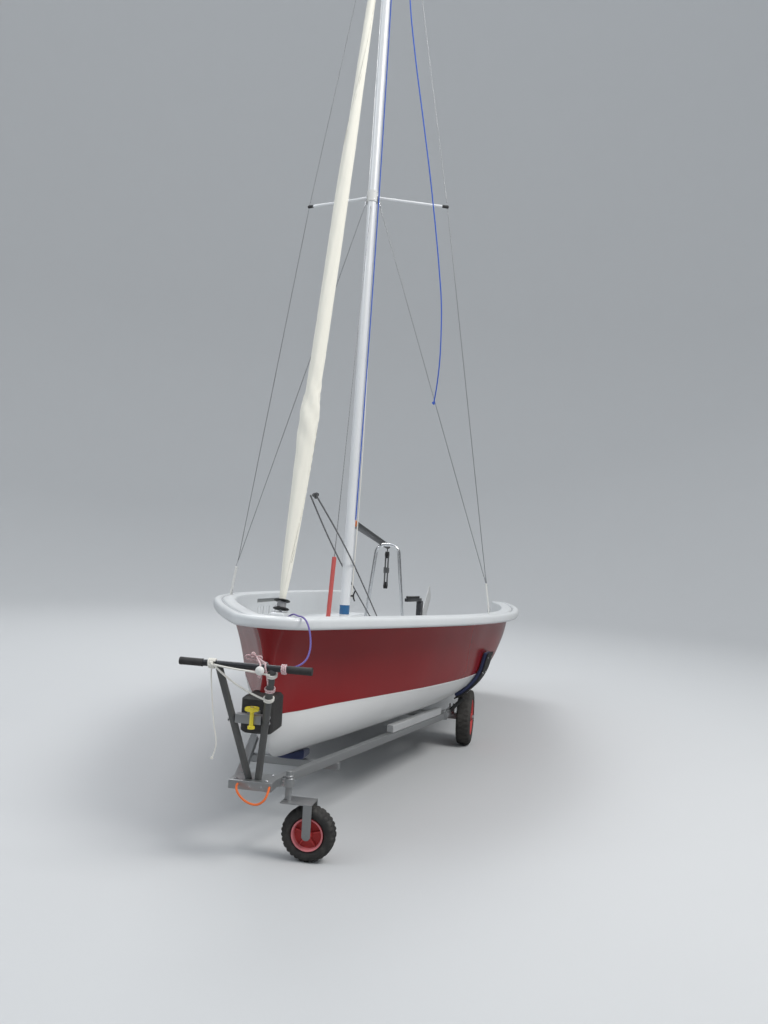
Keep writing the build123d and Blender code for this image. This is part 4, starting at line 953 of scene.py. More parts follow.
@dataclass
class Hull:
    """Outer skin of the boat in its two colours, its stem, and the transom."""

    stations: int = 120
    side_points: int = 26
    bottom_points: int = 26
    stem_fullness: float = 0.8
    inner_drop: float = 0.03

    def contours(self) -> tuple[Array, Array]:
        """Section contours at many stations.

        Each fixed section is made of tangent arcs; between them every point follows a smooth
        curve along the boat.

        Returns:
            The stations aft, and the contours (stations, points, 2).
        """
        knots = [row[0] for row in HULL_SECTIONS]
        fixed = [section_points(row, max(rim_half(row[0]) - RIM_OVERHANG, 0.06))
            for row in HULL_SECTIONS]
        share = np.linspace(0, 1, self.stations) ** 1.35
        aft = knots[0] + share * (knots[-1] - knots[0])
        return aft, monotone(knots, np.array(fixed), aft)

    def halves(self) -> tuple[Array, Array, Array]:
        """Contours cut at the boot line: bottom rows and topside rows, each resampled evenly.

        Returns:
            The stations, the bottom's rows and the topside's rows.
        """
        aft, contours = self.contours()
        bottoms, sides = [], []
        for a, contour in zip(aft, contours):
            boot = BOOT_BOW - BOOT_SLOPE * a
            top = float(sheer(a)) - self.inner_drop
            height = np.maximum.accumulate(contour[:, 1])
            height += np.arange(len(height)) * 1e-7
            cut = np.array((np.interp(boot, height, contour[:, 0]), boot))
            end = np.array((np.interp(top, height, contour[:, 0]), top))
            low = contour[height < boot]
            high = contour[(height > boot) & (height < top)]
            bottoms.append(resample(np.vstack((low, cut)), self.bottom_points))
            sides.append(resample(np.vstack((cut, high, end)), self.side_points))
        return aft, np.array(bottoms), np.array(sides)

    def skin(self, aft: Array, rows: Array) -> Array:
        """Rows of 3-D points with the rounded stem ahead of the first station.

        Args:
            aft: the stations.
            rows: their contours (stations, points, 2).

        Returns:
            Points (rows, points, 3).
        """
        body = place(aft[:, None], rows[..., 0], rows[..., 1])
        angle = np.linspace(pi / 2, 0, 8)[:-1]
        first = rows[0]
        stem = place(aft[0] - self.stem_fullness * first[None, :, 0] * np.sin(angle)[:, None],
            first[None, :, 0] * np.cos(angle)[:, None], first[None, :, 1])
        return np.concatenate((stem, body))

    def transom(self, bottoms: Array, sides: Array) -> Array:
        """Flat transom between the hull's last contour and the open cockpit.

        Args:
            bottoms: the bottom's rows.
            sides: the topside's rows.

        Returns:
            Points (2, points, 3).
        """
        outer = resample(np.vstack((bottoms[-1], sides[-1])), 60)
        inner = inside_skin(Deck().cockpit()[-1])[::-1, 1:]
        inner = resample(inner, 60)
        rows = [outer + (inner - outer) * t for t in (0, 1)]
        return place(HULL_LENGTH, np.array(rows)[..., 0], np.array(rows)[..., 1])

    def build(self) -> None:
        """Makes the three pieces."""
        aft, bottoms, sides = self.halves()
        Mesh().grid(self.skin(aft, sides)).both_sides().build("hull_red_topsides", RED_GEL,
            replaces="hull_topsides")
        Mesh().grid(self.skin(aft, bottoms)).both_sides().build("hull_white_bottom", WHITE_GEL,
            replaces="hull_bottom")
        Mesh().grid(self.transom(bottoms, sides)).both_sides().build("hull_transom", RED_GEL,
            flat=True)
        line = np.array([place(a, s[0, 0] + 0.0008, s[0, 1]) for a, s in zip(aft, sides)])
        low = line - (0, 0, 0.004)
        high = line + (0, 0, 0.004)
        Mesh().grid(np.stack((low, high))).both_sides().build("boot_line_edge", WHITE_GEL)


def hull_table() -> tuple[Array, Array]:
    """The hull skin as (stations, contours) for pieces that lie against it."""
    aft, bottoms, sides = Hull().halves()
    return aft, np.concatenate((bottoms, sides[:, 1:]), axis=1)


HULL_AFT, HULL_LINES = hull_table()


def hull_contour(aft: float) -> Array:
    """One half section of the skin at a distance aft: (half-breadth, height) from the keel up.

    Args:
        aft: distance aft.

    Returns:
        Points (half-breadth, height).
    """
    i = int(np.clip(np.searchsorted(HULL_AFT, aft) - 1, 0, len(HULL_AFT) - 2))
    t = (aft - HULL_AFT[i]) / (HULL_AFT[i + 1] - HULL_AFT[i])
    return HULL_LINES[i] * (1 - t) + HULL_LINES[i + 1] * t


def inside_skin(points: Array, gap: float = 0.008) -> Array:
    """Points of the inner mouldings, kept a gap inside the skin below the rim.

    Args:
        points: points of one moulding.
        gap: how far inside the skin they stay.

    Returns:
        The points, moved in where the skin is nearer.
    """
    points = np.array(points, float)
    flat = points.reshape(-1, 3)
    for p in flat:
        aft = BOW - p[0]
        if HULL_AFT[0] < aft and p[2] < float(sheer(aft)) - 0.034:
            line = hull_contour(min(aft, HULL_LENGTH))
            p[1] = min(p[1], max(float(np.interp(p[2], line[:, 1], line[:, 0])) - gap, 0.0))
    return flat.reshape(points.shape)


@dataclass
class Gunwale:
    """Rim of the deck moulding: a rolled lip, a flat top with a shallow groove, an inner edge."""

    lip_depth: float = 0.054
    lip_width: float = 0.042
    plate: float = 0.03
    lip_round: float = 0.018
    quarter: float = 0.06

    def profile(self) -> Array:
        """The rim's section: rounded inner edge, groove, rolled outer lip.

        Returns:
            Closed outline as (inset, depth) points.
        """

        def arc(cx: float, cy: float, r: float, start: float, end: float, steps: int = 6) -> list:
            """Points of an arc about (cx, cy), from one angle to another."""
            a = np.radians(np.linspace(start, end, steps))
            return [(cx + r * cos(t), cy + r * sin(t)) for t in a]

        r, w = self.lip_round, RIM_WIDTH
        points = [(w, self.plate)] + arc(w - 0.012, 0.012, 0.012, 0, -90)
        points += [(0.09, 0.0), (0.0615, 0.0), (0.059, 0.0015), (0.0565, 0.0055), (0.05, 0.0062),
            (0.0435, 0.0055), (0.041, 0.0015), (0.0385, 0.0)]
        points += arc(r, r, r, -90, -180)
        points += arc(r, self.lip_depth - r, r, 180, 90)
        points += arc(self.lip_width - 0.008, self.lip_depth - 0.008, 0.008, 90, 0, 4)
        points += [(self.lip_width, self.plate)]
        return np.array(points)

    def build(self) -> None:
        """Makes the rim and the grey band of painted shade in its groove."""
        line, normal = RIM_LINE, RIM_NORMAL
        end = line[-1, 0]
        reach = np.clip(line[:, 0] - (end - self.quarter), 0, self.quarter)
        least = self.quarter - np.sqrt(self.quarter**2 - reach**2)
        profile = self.profile()
        inset = np.maximum(profile[None, :, 0], np.minimum(least, RIM_WIDTH)[:, None])
        depth = np.broadcast_to(profile[None, :, 1], inset.shape)
        plan = line[:, None] - normal[:, None] * inset[..., None]
        plan[0, :, 1] = 0
        rows = on_rim(plan[..., 0], plan[..., 1], depth)
        mesh = Mesh().grid(rows, wrap=True)
        last = len(rows) - 1
        count = rows.shape[1]
        mesh.faces.append(tuple(last * count + j for j in range(count)))
        mesh.uvs.append(((0.0, 0.0),) * count)
        mesh.both_sides().build("gunwale_rim", DECK_GEL, replaces="gunwale")
        # A grey band just over the groove's floor: painted shade in the groove.
        band = np.array((0.0452, 0.0548))
        plan = line[:-6, None] - normal[:-6, None] * band[None, :, None]
        plan[0, :, 1] = 0
        Mesh().grid(on_rim(plan[..., 0], plan[..., 1],
            0.0056)).both_sides().build("gunwale_groove_shade_band", GROOVE_PAINTED_SHADE)


@dataclass
class Deck:
    """Sunken foredeck, bulkhead, and the cockpit's walls, benches and sole."""

    foredeck_end: float = 1.96
    bench_drop: float = 0.2
    foot_half: float = 0.44
    corner: float = 0.09
    slot: tuple = (2.69, 3.3, 0.042, 0.072)
    ribs: tuple = (2.715, 0.076, 8, 0.04, 0.094, 0.17)

    def foredeck(self) -> Array:
        """Walls and floor of the foredeck well as one smooth surface.

        Returns:
            Points (rows, columns, 3).
        """
        line, normal = inner_line(RIM_WIDTH, 300)
        keep = line[:, 0] < self.foredeck_end
        end = np.array((self.foredeck_end, np.interp(self.foredeck_end, line[:, 0], line[:, 1])))
        line, normal = np.vstack((line[keep], end)), np.vstack((normal[keep], normal[keep][-1]))
        rows = []
        for p, n in zip(line, normal):
            r = min(0.03, 0.6 * p[1] + 1e-4)
            row = [(p[0], p[1], d) for d in (0.012, 0.04, FOREDECK_DROP - r)]
            row[0] = (p[0] + 0.0015 * n[0], max(p[1] + 0.0015 * n[1], 0), 0.012)
            for a in np.radians((20, 45, 70, 90)):
                inset = r * (1 - cos(a))
                q = p - n * inset
                row.append((q[0], max(q[1], 0), FOREDECK_DROP - r * (1 - sin(a))))
            q = p - n * r
            for t in np.linspace(0, 1, 12)[1:]:
                row.append((q[0], max(q[1], 0) * (1 - t), FOREDECK_DROP))
            rows.append(row)
        rows = np.array(rows)
        return on_rim(rows[..., 0], rows[..., 1], rows[..., 2])

    def foot_edge(self, aft: float) -> float:
        """Half-width of the footwell, rounded at its front corners."""
        x = np.clip(self.foredeck_end + self.corner - aft, 0, self.corner)
        return self.foot_half - self.corner + sqrt(self.corner**2 - x**2)

    def recess(self, aft: float, depth: float) -> Array:
        """How far the side wall is pressed outwards: the stowage slot and the ribbed panels.

        Args:
            aft: distance aft along the rim.
            depth: depth under the rim.

        Returns:
            The distance outwards at that point.
        """
        a0, a1, d0, d1 = self.slot
        slot = smooth(a0, a0 + 0.012, aft) * (1 - smooth(a1 - 0.012, a1, aft))
        slot = slot * smooth(d0 - 0.003, d0 + 0.003, depth) * (1
            - smooth(d1 - 0.003, d1 + 0.003, depth))
        start, pitch, count, width, r0, r1 = self.ribs
        phase = np.mod(aft - start, pitch)
        rib = smooth(0, 0.008, phase) * (1 - smooth(width - 0.008, width, phase))
        rib = rib * ((aft > start) & (aft < start + pitch * count))
        rib = rib * smooth(r0, r0 + 0.008, depth) * (1 - smooth(r1 - 0.008, r1, depth))
        return 0.012 * slot + 0.009 * rib

    def cockpit(self) -> Array:
        """Rows of points across half of the cockpit: wall, bench, footwell side and sole.

        Returns:
            Points (rows, columns, 3).
        """
        aft = np.r_[self.foredeck_end, self.foredeck_end + self.corner
            * (1 - np.cos(np.linspace(0.2, 1.57, 12))), np.arange(2.06, 4.95, 0.009), TRANSOM_ALONG]
        line, _ = inner_line(RIM_WIDTH, 400)
        rows = []
        for a in aft:
            y = float(np.interp(a, line[:, 0], line[:, 1]))
            depths = np.linspace(0.012, self.bench_drop - 0.022, 30)
            row = [(y + float(self.recess(a, d)) + 0.054 * max(0.04 - d, 0.0), d) for d in depths]
            for t in np.radians((20, 45, 70, 90)):
                row.append((y - 0.022 * (1 - cos(t)), self.bench_drop - 0.022 * (1 - sin(t))))
            edge = self.foot_edge(a)
            for t in np.linspace(0, 1, 8)[1:]:
                row.append((y - 0.022 + t * (edge + 0.02 - y + 0.022), self.bench_drop))
            for t in np.radians((30, 60, 90)):
                row.append((edge + 0.02 - 0.02 * sin(t), self.bench_drop + 0.02 * (1 - cos(t))))
            points = on_rim(a, np.array([p[0] for p in row]), np.array([p[1] for p in row]))
            x = float(points[-1, 0])
            down = [(edge, SOLE + 0.03)]
            down += [(edge - 0.03 * (1 - cos(t)), SOLE + 0.03 * (1 - sin(t)))
                for t in np.radians((30, 60, 90))]
            down += [(w, SOLE) for w in np.linspace(edge - 0.03, 0, 8)[1:]]
            rows.append(np.concatenate((points, [(x, y2, z2) for y2, z2 in down])))
        return np.array(rows)

    def build(self) -> None:
        """Makes the deck moulding's pieces, their non-skid panels, and dark sheets of painted shade
        in the stowage slot and the ribs' recesses.
        """
        fore = inside_skin(self.foredeck(), 0.004)
        cockpit = inside_skin(self.cockpit())
        cockpit[-1, :, 0] = BOW - HULL_LENGTH
        edge = fore[-1, 6:]
        target = resample(cockpit[0][30:], len(edge))
        target = np.stack([np.interp(edge[:, 1][::-1], target[:, 1][::-1], target[:, k][::-1])[::-1]
            for k in range(3)], -1)
        target[:, 0] = cockpit[0][-1, 0]
        steps = np.linspace(0, 1, 5)
        lip = 0.012
        bulkhead = [edge, edge - (lip * 0.7, 0, lip * 0.3)]
        bulkhead += [edge * (1 - t) + target * t - (lip * (1 - t), 0, 0) for t in steps[1:]]
        Mesh().grid(fore).both_sides().build("foredeck_moulding", DECK_GEL, replaces="foredeck")
        moulding = Mesh().grid(cockpit).grid(bulkhead)
        corner = fore[-1, 2:7]
        moulding.grid((corner, np.tile((corner[-1, 0], corner[0, 1], corner[-1, 2]), (5, 1))))
        line = hull_contour(self.foredeck_end - 0.008)
        up = np.linspace(0.45, edge[0, 2] - 0.004, 12)
        wide = np.maximum(np.interp(up, line[:, 1], line[:, 0]) - 0.01, 0.0)
        moulding.grid(place(self.foredeck_end - 0.008, wide[:, None] * np.linspace(1, 0, 8),
            up[:, None]))
        moulding.both_sides().build("cockpit_moulding", DECK_GEL, replaces="cockpit_liner")
        self.panels()
        # Dark sheets a hair in front of the pressed-out wall of the slot and of each rib: painted
        # shade in these recesses.
        a0, a1, d0, d1 = self.slot
        line, _ = inner_line(RIM_WIDTH, 400)
        aft = np.linspace(a0 + 0.01, a1 - 0.01, 60)
        y = np.interp(aft, line[:, 0], line[:, 1]) + 0.0112
        rows = [on_rim(aft, y, d) for d in (d0 + 0.003, d1 - 0.003)]
        shade = Mesh().grid(inside_skin(rows, 0.009))
        start, pitch, count, width, r0, r1 = self.ribs
        for index in range(count):
            aft = start + index * pitch + np.linspace(0.007, width - 0.007, 5)
            y = np.interp(aft, line[:, 0], line[:, 1]) + 0.0082
            rows = [on_rim(aft, y, d) for d in np.linspace(r0 + 0.006, r1 - 0.006, 6)]
            shade.grid(inside_skin(rows, 0.009))
        shade.both_sides().build("cockpit_slot_shadow", SLOT_PAINTED_SHADE)

    def panels(self) -> None:
        """Non-skid panels on the foredeck, benches and sole, each a hair proud of the moulding."""
        line, _ = inner_line(RIM_WIDTH + 0.075, 200)
        mesh = Mesh()
        for low, high in ((0.42, 1.12), (1.34, 1.9)):
            aft = np.linspace(low, high, 40)
            y = np.interp(aft, line[:, 0], line[:, 1])
            near = 0.06 + 0 * aft
            rows = [on_rim(aft, near + (y - near) * t, FOREDECK_DROP - 0.0012)
                for t in np.linspace(0, 1, 10)]
            mesh.grid(rows)
        aft = np.linspace(2.12, 4.86, 90)
        y = np.interp(aft, line[:, 0], line[:, 1])
        rows = [on_rim(aft, 0.485 + (y + 0.03 - 0.485) * t, self.bench_drop - 0.0012)
            for t in np.linspace(0, 1, 6)]
        mesh.grid(rows)
        for low, high, inner in ((2.12, 2.98, 0.07), (3.24, 4.88, 0.0)):
            rows = [place(np.linspace(low, high, 60), inner + (0.385 - inner) * t, SOLE + 0.0012)
                for t in np.linspace(0, 1, 8)]
            mesh.grid(rows)
        mesh.both_sides().build("deck_nonskid_panels", NONSKID)


def mast_point(height: float, ahead: float = 0.0, port: float = 0.0) -> Array:
    """Point given along the raked mast, ahead of its axis and to port of it."""
    return MAST_FOOT + height * MAST_UP + ahead * MAST_AHEAD + np.array((0, port, 0))


MAST_UP = np.array((-sin(RIM_TILT), 0, cos(RIM_TILT)))
MAST_AHEAD = np.array((cos(RIM_TILT), 0, sin(RIM_TILT)))
MAST_FOOT = on_rim(1.677, 0, FOREDECK_DROP) + 0.024 * MAST_UP


def oval(chord: float, width: float, count: int = 40) -> Array:
    """Points (ahead, port) of a mast section."""
    a = np.linspace(0, ROUND, count, endpoint=False)
    return np.stack((chord / 2 * np.cos(a), width / 2 * np.sin(a)), -1)


def mast_rows(levels: Array, outline: Callable) -> Array:
    """Rows of points of an outline at heights along the mast; outline(height) gives its points.

    Args:
        levels: heights along the mast.
        outline: gives the outline at a height.

    Returns:
        Points (levels, points, 3).
    """
    rings = [(h, np.asarray(outline(h))) for h in levels]
    return np.array([MAST_FOOT + h * MAST_UP + ring[:, :1] * MAST_AHEAD + ring[:, 1:] * PORT for h,
        ring in rings])


@dataclass
class Rig:
    """Mast with its fittings, the shrouds, and the deck fittings that hold the stays."""

    length: float = 6.5
    chord: float = 0.072
    width: float = 0.06
    taper_start: float = 5.047
    top_scale: float = 0.7
    spreader_height: float = 2.666
    spreader_tip: tuple = (-0.166, 0.456)
    hounds: float = HOUNDS
    wire: float = 0.004

    def size(self, height: float) -> float:
        """Share of the full section left at a height."""
        t = np.clip((height - self.taper_start) / (self.length - self.taper_start), 0, 1)
        return 1 - (1 - self.top_scale) * t

    def section(self, height: float, grown: float = 0.0) -> Array:
        """Mast outline with the luff groove in its aft face.

        Args:
            height: height along the mast.
            grown: how far the outline is set out.

        Returns:
            Outline points (ahead, port).
        """
        k = self.size(height)
        points = oval(self.chord * k + 2 * grown, self.width * k + 2 * grown)
        if grown or not 0.9 < height < self.hounds:
            return points
        aft = -self.chord * k / 2
        lips = [(aft + 0.0004, -0.0075), (aft - 0.0002, -0.0045), (aft + 0.0015, -0.0026),
            (aft + 0.0085, -0.0026), (aft + 0.0085, 0.0026), (aft + 0.0015, 0.0026),
            (aft - 0.0002, 0.0045), (aft + 0.0004, 0.0075)]
        keep = points[points[:, 0] > aft + 0.0018]
        angle = np.arctan2(keep[:, 1], keep[:, 0])
        keep = keep[np.argsort(angle)]
        ring = np.vstack((keep, lips[::-1]))
        return resample(np.vstack((ring, ring[:1])), 57)[:-1]

    def mast(self) -> None:
        """Mast in three lengths: plain foot, grooved middle, tapered top; and its blue band."""
        mesh = Mesh()
        top = self.length
        mesh.closed(mast_rows((0.0, 0.45, 0.9), self.section))
        middle = np.linspace(0.9001, self.hounds - 0.0001, 24)
        mesh.closed(mast_rows(middle, self.section))
        ends = np.r_[np.linspace(self.hounds, top - 0.006, 24), top - 0.002, top]
        shrink = {top - 0.002: 0.94, top: 0.8}
        mesh.closed(mast_rows(ends, lambda h: self.section(h) * shrink.get(h, 1.0)))
        mesh.build("mast_tube", SPAR, replaces="mast")
        band = mast_rows(np.linspace(0.035, 0.092, 4), lambda h: self.section(h, 0.0006))
        Mesh().grid(band, wrap=True).build("mast_blue_band", BLUE_BAND)

    def collar(self, mesh: Mesh, middle: float, length: float) -> None:
        """Adds a sleeve with rounded rims round the mast.

        Args:
            mesh: the mesh that it is added to.
            middle: height of its middle.
            length: its length.
        """
        half = length / 2
        rise = [(-half, 0.0004), (-half, 0.004), (-half + 0.0012, 0.005), (half - 0.0012, 0.005),
            (half, 0.004), (half, 0.0004)]
        rows = np.array([[mast_point(middle + d, u, v) for u, v in self.section(middle - 2.7, g)]
            for d, g in rise])
        mesh.grid(rows, wrap=True)

    def fittings(self) -> None:
        """Collars, tangs and rivets at the spreaders and hounds."""
        mesh = Mesh()
        self.collar(mesh, self.spreader_height, 0.07)
        self.collar(mesh, self.hounds, 0.044)
        mesh.build("mast_collars", WHITE, replaces="spreader_bracket hounds_fitting")
        rivets = Mesh()
        for middle, spread in ((self.spreader_height, 0.024), (self.hounds, 0.014)):
            for up in (-spread, spread):
                for angle in (0.5, 1.1, 2.0, 2.6, -0.5, -1.1, -2.0, -2.6):
                    u, v = 0.041 * cos(angle), 0.035 * sin(angle)
                    normal = MAST_AHEAD * cos(angle) / 0.041 + np.array((0, sin(angle) / 0.035, 0))
                    lathe(rivets, mm(3, 0, 2.6, 0.8, 1.4, 1.3, 0, 1.5),
                        mast_point(middle + up, u, v), normal, 12)
        for side in (1, -1):
            for ahead in (-0.01, 0.01):
                rounded_block(rivets, mast_point(self.spreader_height - 0.018, ahead, side
                    * 0.0358), (0.014, 0.0022, 0.05), 0.001)
        rivets.build("mast_rivets", STEEL)

    def spreaders(self) -> None:
        """Round spreader tubes with rubber boots on their ends."""
        mesh, boots = Mesh(), Mesh()
        ahead, out = self.spreader_tip
        tip = mast_point(self.spreader_height, ahead, out)
        root = mast_point(self.spreader_height, ahead * 0.075, out * 0.075)
        path = np.linspace(root, tip, 12)
        rows = swept(path, circle(0.008, 20))
        mesh.closed(rows)
        along = (tip - root) / np.linalg.norm(tip - root)
        lathe(boots, mm(8.2, -34, 9.2, -32, 9.5, -12, 10, -2, 9.8, 4, 7.8, 7.8, 4, 9.6, 0, 10), tip,
            along, 20)
        mesh.both_sides().build("spreader_tubes", SPAR, replaces="spreaders")
        boots.both_sides().build("spreader_boots", BLACK)

    def shroud_line(self) -> tuple[Array, ...]:
        """Where the port shrouds run: their foot, their direction, ahead of it, spreader's tip.

        Returns:
            The foot, the two unit directions and the tip.
        """
        half = rim_half(2.051) - 0.072
        low = on_rim(2.051, half, -0.026)
        tip = mast_point(self.spreader_height, *self.spreader_tip)
        along = (tip - low) / np.linalg.norm(tip - low)
        fore = np.cross(along, (0, -1, 0))
        fore /= np.linalg.norm(fore)
        return low, along, fore, tip

    def shrouds(self) -> None:
        """Wires with swaged ends, and adjusters with their rows of holes and their pins."""
        low, along, fore, tip = self.shroud_line()
        high = low + along * 0.166
        beside = self.width / 2 + 0.006
        ends = (mast_point(self.hounds, 0, beside), mast_point(self.spreader_height - 0.018, 0,
            beside))
        wires, swages = Mesh(), Mesh()
        upper = np.vstack((np.linspace(high - fore * 0.009, tip, 40),
            np.linspace(tip, ends[0], 40)[1:]))
        lower = np.linspace(high + fore * 0.009, ends[1], 50)
        for path in (upper, lower):
            wires.rod(path, self.wire / 2, 12)
        for path in (upper, lower):
            for at, way in ((path[0], path[1] - path[0]), (path[-1], path[-2] - path[-1])):
                way = way / np.linalg.norm(way)
                lathe(swages, mm(0, -2, 3.4, -1, 3.8, 4, 3.6, 40, 3, 46, 2.2, 50), at, way, 14)
        wires.both_sides().build("shroud_wires", WIRE, replaces="upper_shrouds lower_shrouds")
        swages.both_sides().build("shroud_swages", STEEL)
        adjusters, holes = Mesh(), Mesh()
        across = np.cross(along, fore)
        axes = np.array((fore, across, along))
        rounded_block(adjusters, low + along * 0.085, (0.032, 0.01, 0.17), 0.003, axes)
        for index in range(8):
            for shift in (-0.008, 0.008):
                spot = low + along * (0.045 + 0.0135 * index + (0.006 if shift > 0
                    else 0)) + fore * shift
                for side in (1, -1):
                    lathe(holes, mm(2.6, 0, 2.6, 0.6, 0, 0.7), spot + across * side * 0.0048, across
                        * side, 12)
        adjusters.both_sides().build("shroud_adjuster_plates", WHITE, replaces="shroud_adjusters")
        for up in (0.012, 0.158):
            spot = low + along * up
            for side in (1, -1):
                lathe(holes, mm(4.5, 0, 4.5, 1.2, 3, 2, 0, 2.2), spot + across * side * 0.005,
                    across * side, 16)
        holes.both_sides().build("shroud_adjuster_pins", STEEL)

    def build(self) -> None:
        """Makes the rig's pieces."""
        self.mast()
        self.fittings()
        self.spreaders()
        self.shrouds()


@dataclass
class Headsail:
    """Forestay with the drum and the headsail rolled round it, and the block under it."""

    aft: float = 0.242
    block_height: float = 0.122
    toggle: float = 0.014
    drum_height: float = 0.044
    start: float = 0.058
    top_gap: float = 0.48
    profile: tuple = ((0, 30), (0.031, 52), (0.09, 72), (0.162, 92), (0.208, 106), (0.249, 82),
        (0.5, 80), (0.642, 62), (0.795, 51), (1, 30))

    def line(self) -> tuple:
        """Foot and head of the stay, its direction and length.

        Returns:
            Foot, head, unit direction and length.
        """
        foot = on_rim(self.aft, 0, FOREDECK_DROP - self.block_height)
        head = mast_point(HOUNDS, 0.042, 0)
        length = np.linalg.norm(head - foot)
        return foot, head, (head - foot) / length, length

    def edge_turn(self, up: float) -> float:
        """How far round the roll the sail's loose edge is, at a height."""
        return 1.9 * up + 0.5 * sin(2.3 * up)

    def roll(self) -> None:
        """The rolled sail: a spiral of cloth whose edge winds round the roll.

        Radius = profile(up) x (1 + lumps); the loose edge is a ridge that turns with height, and
        folds run beside it. The clew bulges where the profile is widest.
        """
        foot, _, along, length = self.line()
        start, end = self.start, length - self.top_gap
        knots = np.array(self.profile)
        levels = np.r_[np.linspace(0, 0.03, 10), np.linspace(0.035, 0.3, 110),
            np.linspace(0.303, 0.98, 190), np.linspace(0.983, 1, 10)]
        base = monotone(knots[:, 0], knots[:, 1] / 2000, levels)
        side = PORT
        front = np.cross(side, along)
        angle = np.linspace(0, ROUND, 72, endpoint=False)
        rows = []
        for level, radius in zip(levels, base):
            up = start + level * (end - start)
            phase = np.mod(angle - self.edge_turn(up), 2 * pi)
            spiral = 1 - 0.13 * phase / (2 * pi)
            edge = 0.035 * np.exp(-((phase - 0.12) / 0.1) ** 2)
            folds = 0.02 * np.sin(3 * angle + 5.1 * up) + 0.013 * np.sin(7 * angle - 9.0 * up + 1.3)
            wrinkle = 0.01 * np.sin(2 * angle + 31 * up) * np.sin(11.0 * up)
            bulge = 0.06 * exp(-((level - 0.205) / 0.035) ** 2) * np.cos(angle - 0.6)
            crumple = 0.055 * exp(-((level - 0.215) / 0.05) ** 2) * np.sin(3 * angle + 34 * up)
            crumple += 0.035 * exp(-((level - 0.235) / 0.03) ** 2) * np.sin(6 * angle - 71 * up)
            shape = np.clip(spiral + edge + folds + wrinkle + bulge + crumple, 0.5, 1.0)
            fade = min(1.0, 40 * level + 0.4, 40 * (1 - level) + 0.5)
            r = radius * (1 - fade * (1 - shape))
            centre = foot + along * up
            rows.append(centre + np.outer(r * np.cos(angle), front)
                + np.outer(r * np.sin(angle), side))
        mesh = Mesh().closed(rows)
        mesh.build("jib_roll", SAIL, replaces="furled_jib")
        edge_rows = []
        for level, radius in list(zip(levels, base))[12:-14]:
            up = start + level * (end - start)
            a = self.edge_turn(up) + np.linspace(0.02, 0.34, 4)[:, None]
            r = radius * 0.992
            edge_rows.append(foot + along * up + r * np.cos(a) * front + r * np.sin(a) * side)
        Mesh().grid(edge_rows).build("jib_leech_tape", SAIL_EDGE)

    def drum(self) -> None:
        """Furling drum: two thin flanges with rounded rims and a wound core, on its toggle."""
        foot, head, along, _ = self.line()
        h = self.drum_height
        profile = [(0.0032, 0), (0.03, 0), (0.0375, 0.0006), (0.039, 0.0024), (0.0375, 0.0044),
            (0.03, 0.005), (0.0185, 0.0052), (0.017, 0.0065), (0.017, h - 0.0065),
            (0.0185, h - 0.0052), (0.03, h - 0.005), (0.0375, h - 0.0044), (0.039, h - 0.0024),
            (0.0375, h - 0.0006), (0.03, h), (0.0032, h)]
        mesh = Mesh()
        lathe(mesh, profile, foot + along * self.toggle, along, 64)
        mesh.build("furler_drum", BLACK, replaces="furling_drum")
        t = np.linspace(0, 1, 160)[:, None]
        a = t * 7 * 2 * pi
        path = foot + along * (self.toggle + 0.0085 + t * (h - 0.017))
        path = path + 0.02 * (np.cos(a) * np.cross(PORT, along) + np.sin(a) * PORT)
        Mesh().rod(path, 0.0024, 8).build("furler_line_turns", GREY)
        stay = Mesh()
        stay.rod(np.linspace(foot + along * self.toggle, head - along * 0.008, 30), 0.003, 14)
        lathe(stay, mm(0, -4, 5, -3, 6.6, 0, 7, 4, 7, 12, 5, 14, 3, 14.2), foot, along, 24)
        lathe(stay, mm(3, -50, 4.6, -48, 5, -10, 4, -4, 0, -3), head - along * 0.004, along, 20)
        stay.build("forestay_wire", STEEL, replaces="forestay")

    def bow_block(self) -> None:
        """Raised block with rounded corners and a rounded top edge, and the screws of the stay's
        deck fitting.
        """
        mesh = Mesh()
        rows = []
        taper = tan(radians(5))
        for drop, shrink in ((0, 0), (0.05, 0), (0.1, 0), (0.114, 0.0015), (0.119, 0.0045),
                (0.122, 0.011)):
            grow = drop * taper + shrink
            outline = rounded_rectangle(0.15 - 2 * grow, 0.092 - 2 * grow, max(0.02 - grow, 0.006),
                6)
            rows.append([on_rim(self.aft - u, v, FOREDECK_DROP - drop) for u, v in outline])
        mesh.closed(rows)
        mesh.build("bow_block_moulding", DECK_GEL, replaces="bow_block")
        plate = Mesh()
        for u in (-0.045, 0.045):
            for v in (-0.02, 0.02):
                lathe(plate, mm(5.2, 0, 5.2, 1.2, 4, 2.6, 0, 3.2),
                    on_rim(self.aft - u, v, FOREDECK_DROP - self.block_height), MAST_UP, 16)
        plate.build("bow_block_screws", STEEL)

    def build(self) -> None:
        """Makes the headsail's pieces."""
        self.bow_block()
        self.drum()
        self.roll()
        self.inner_stay()

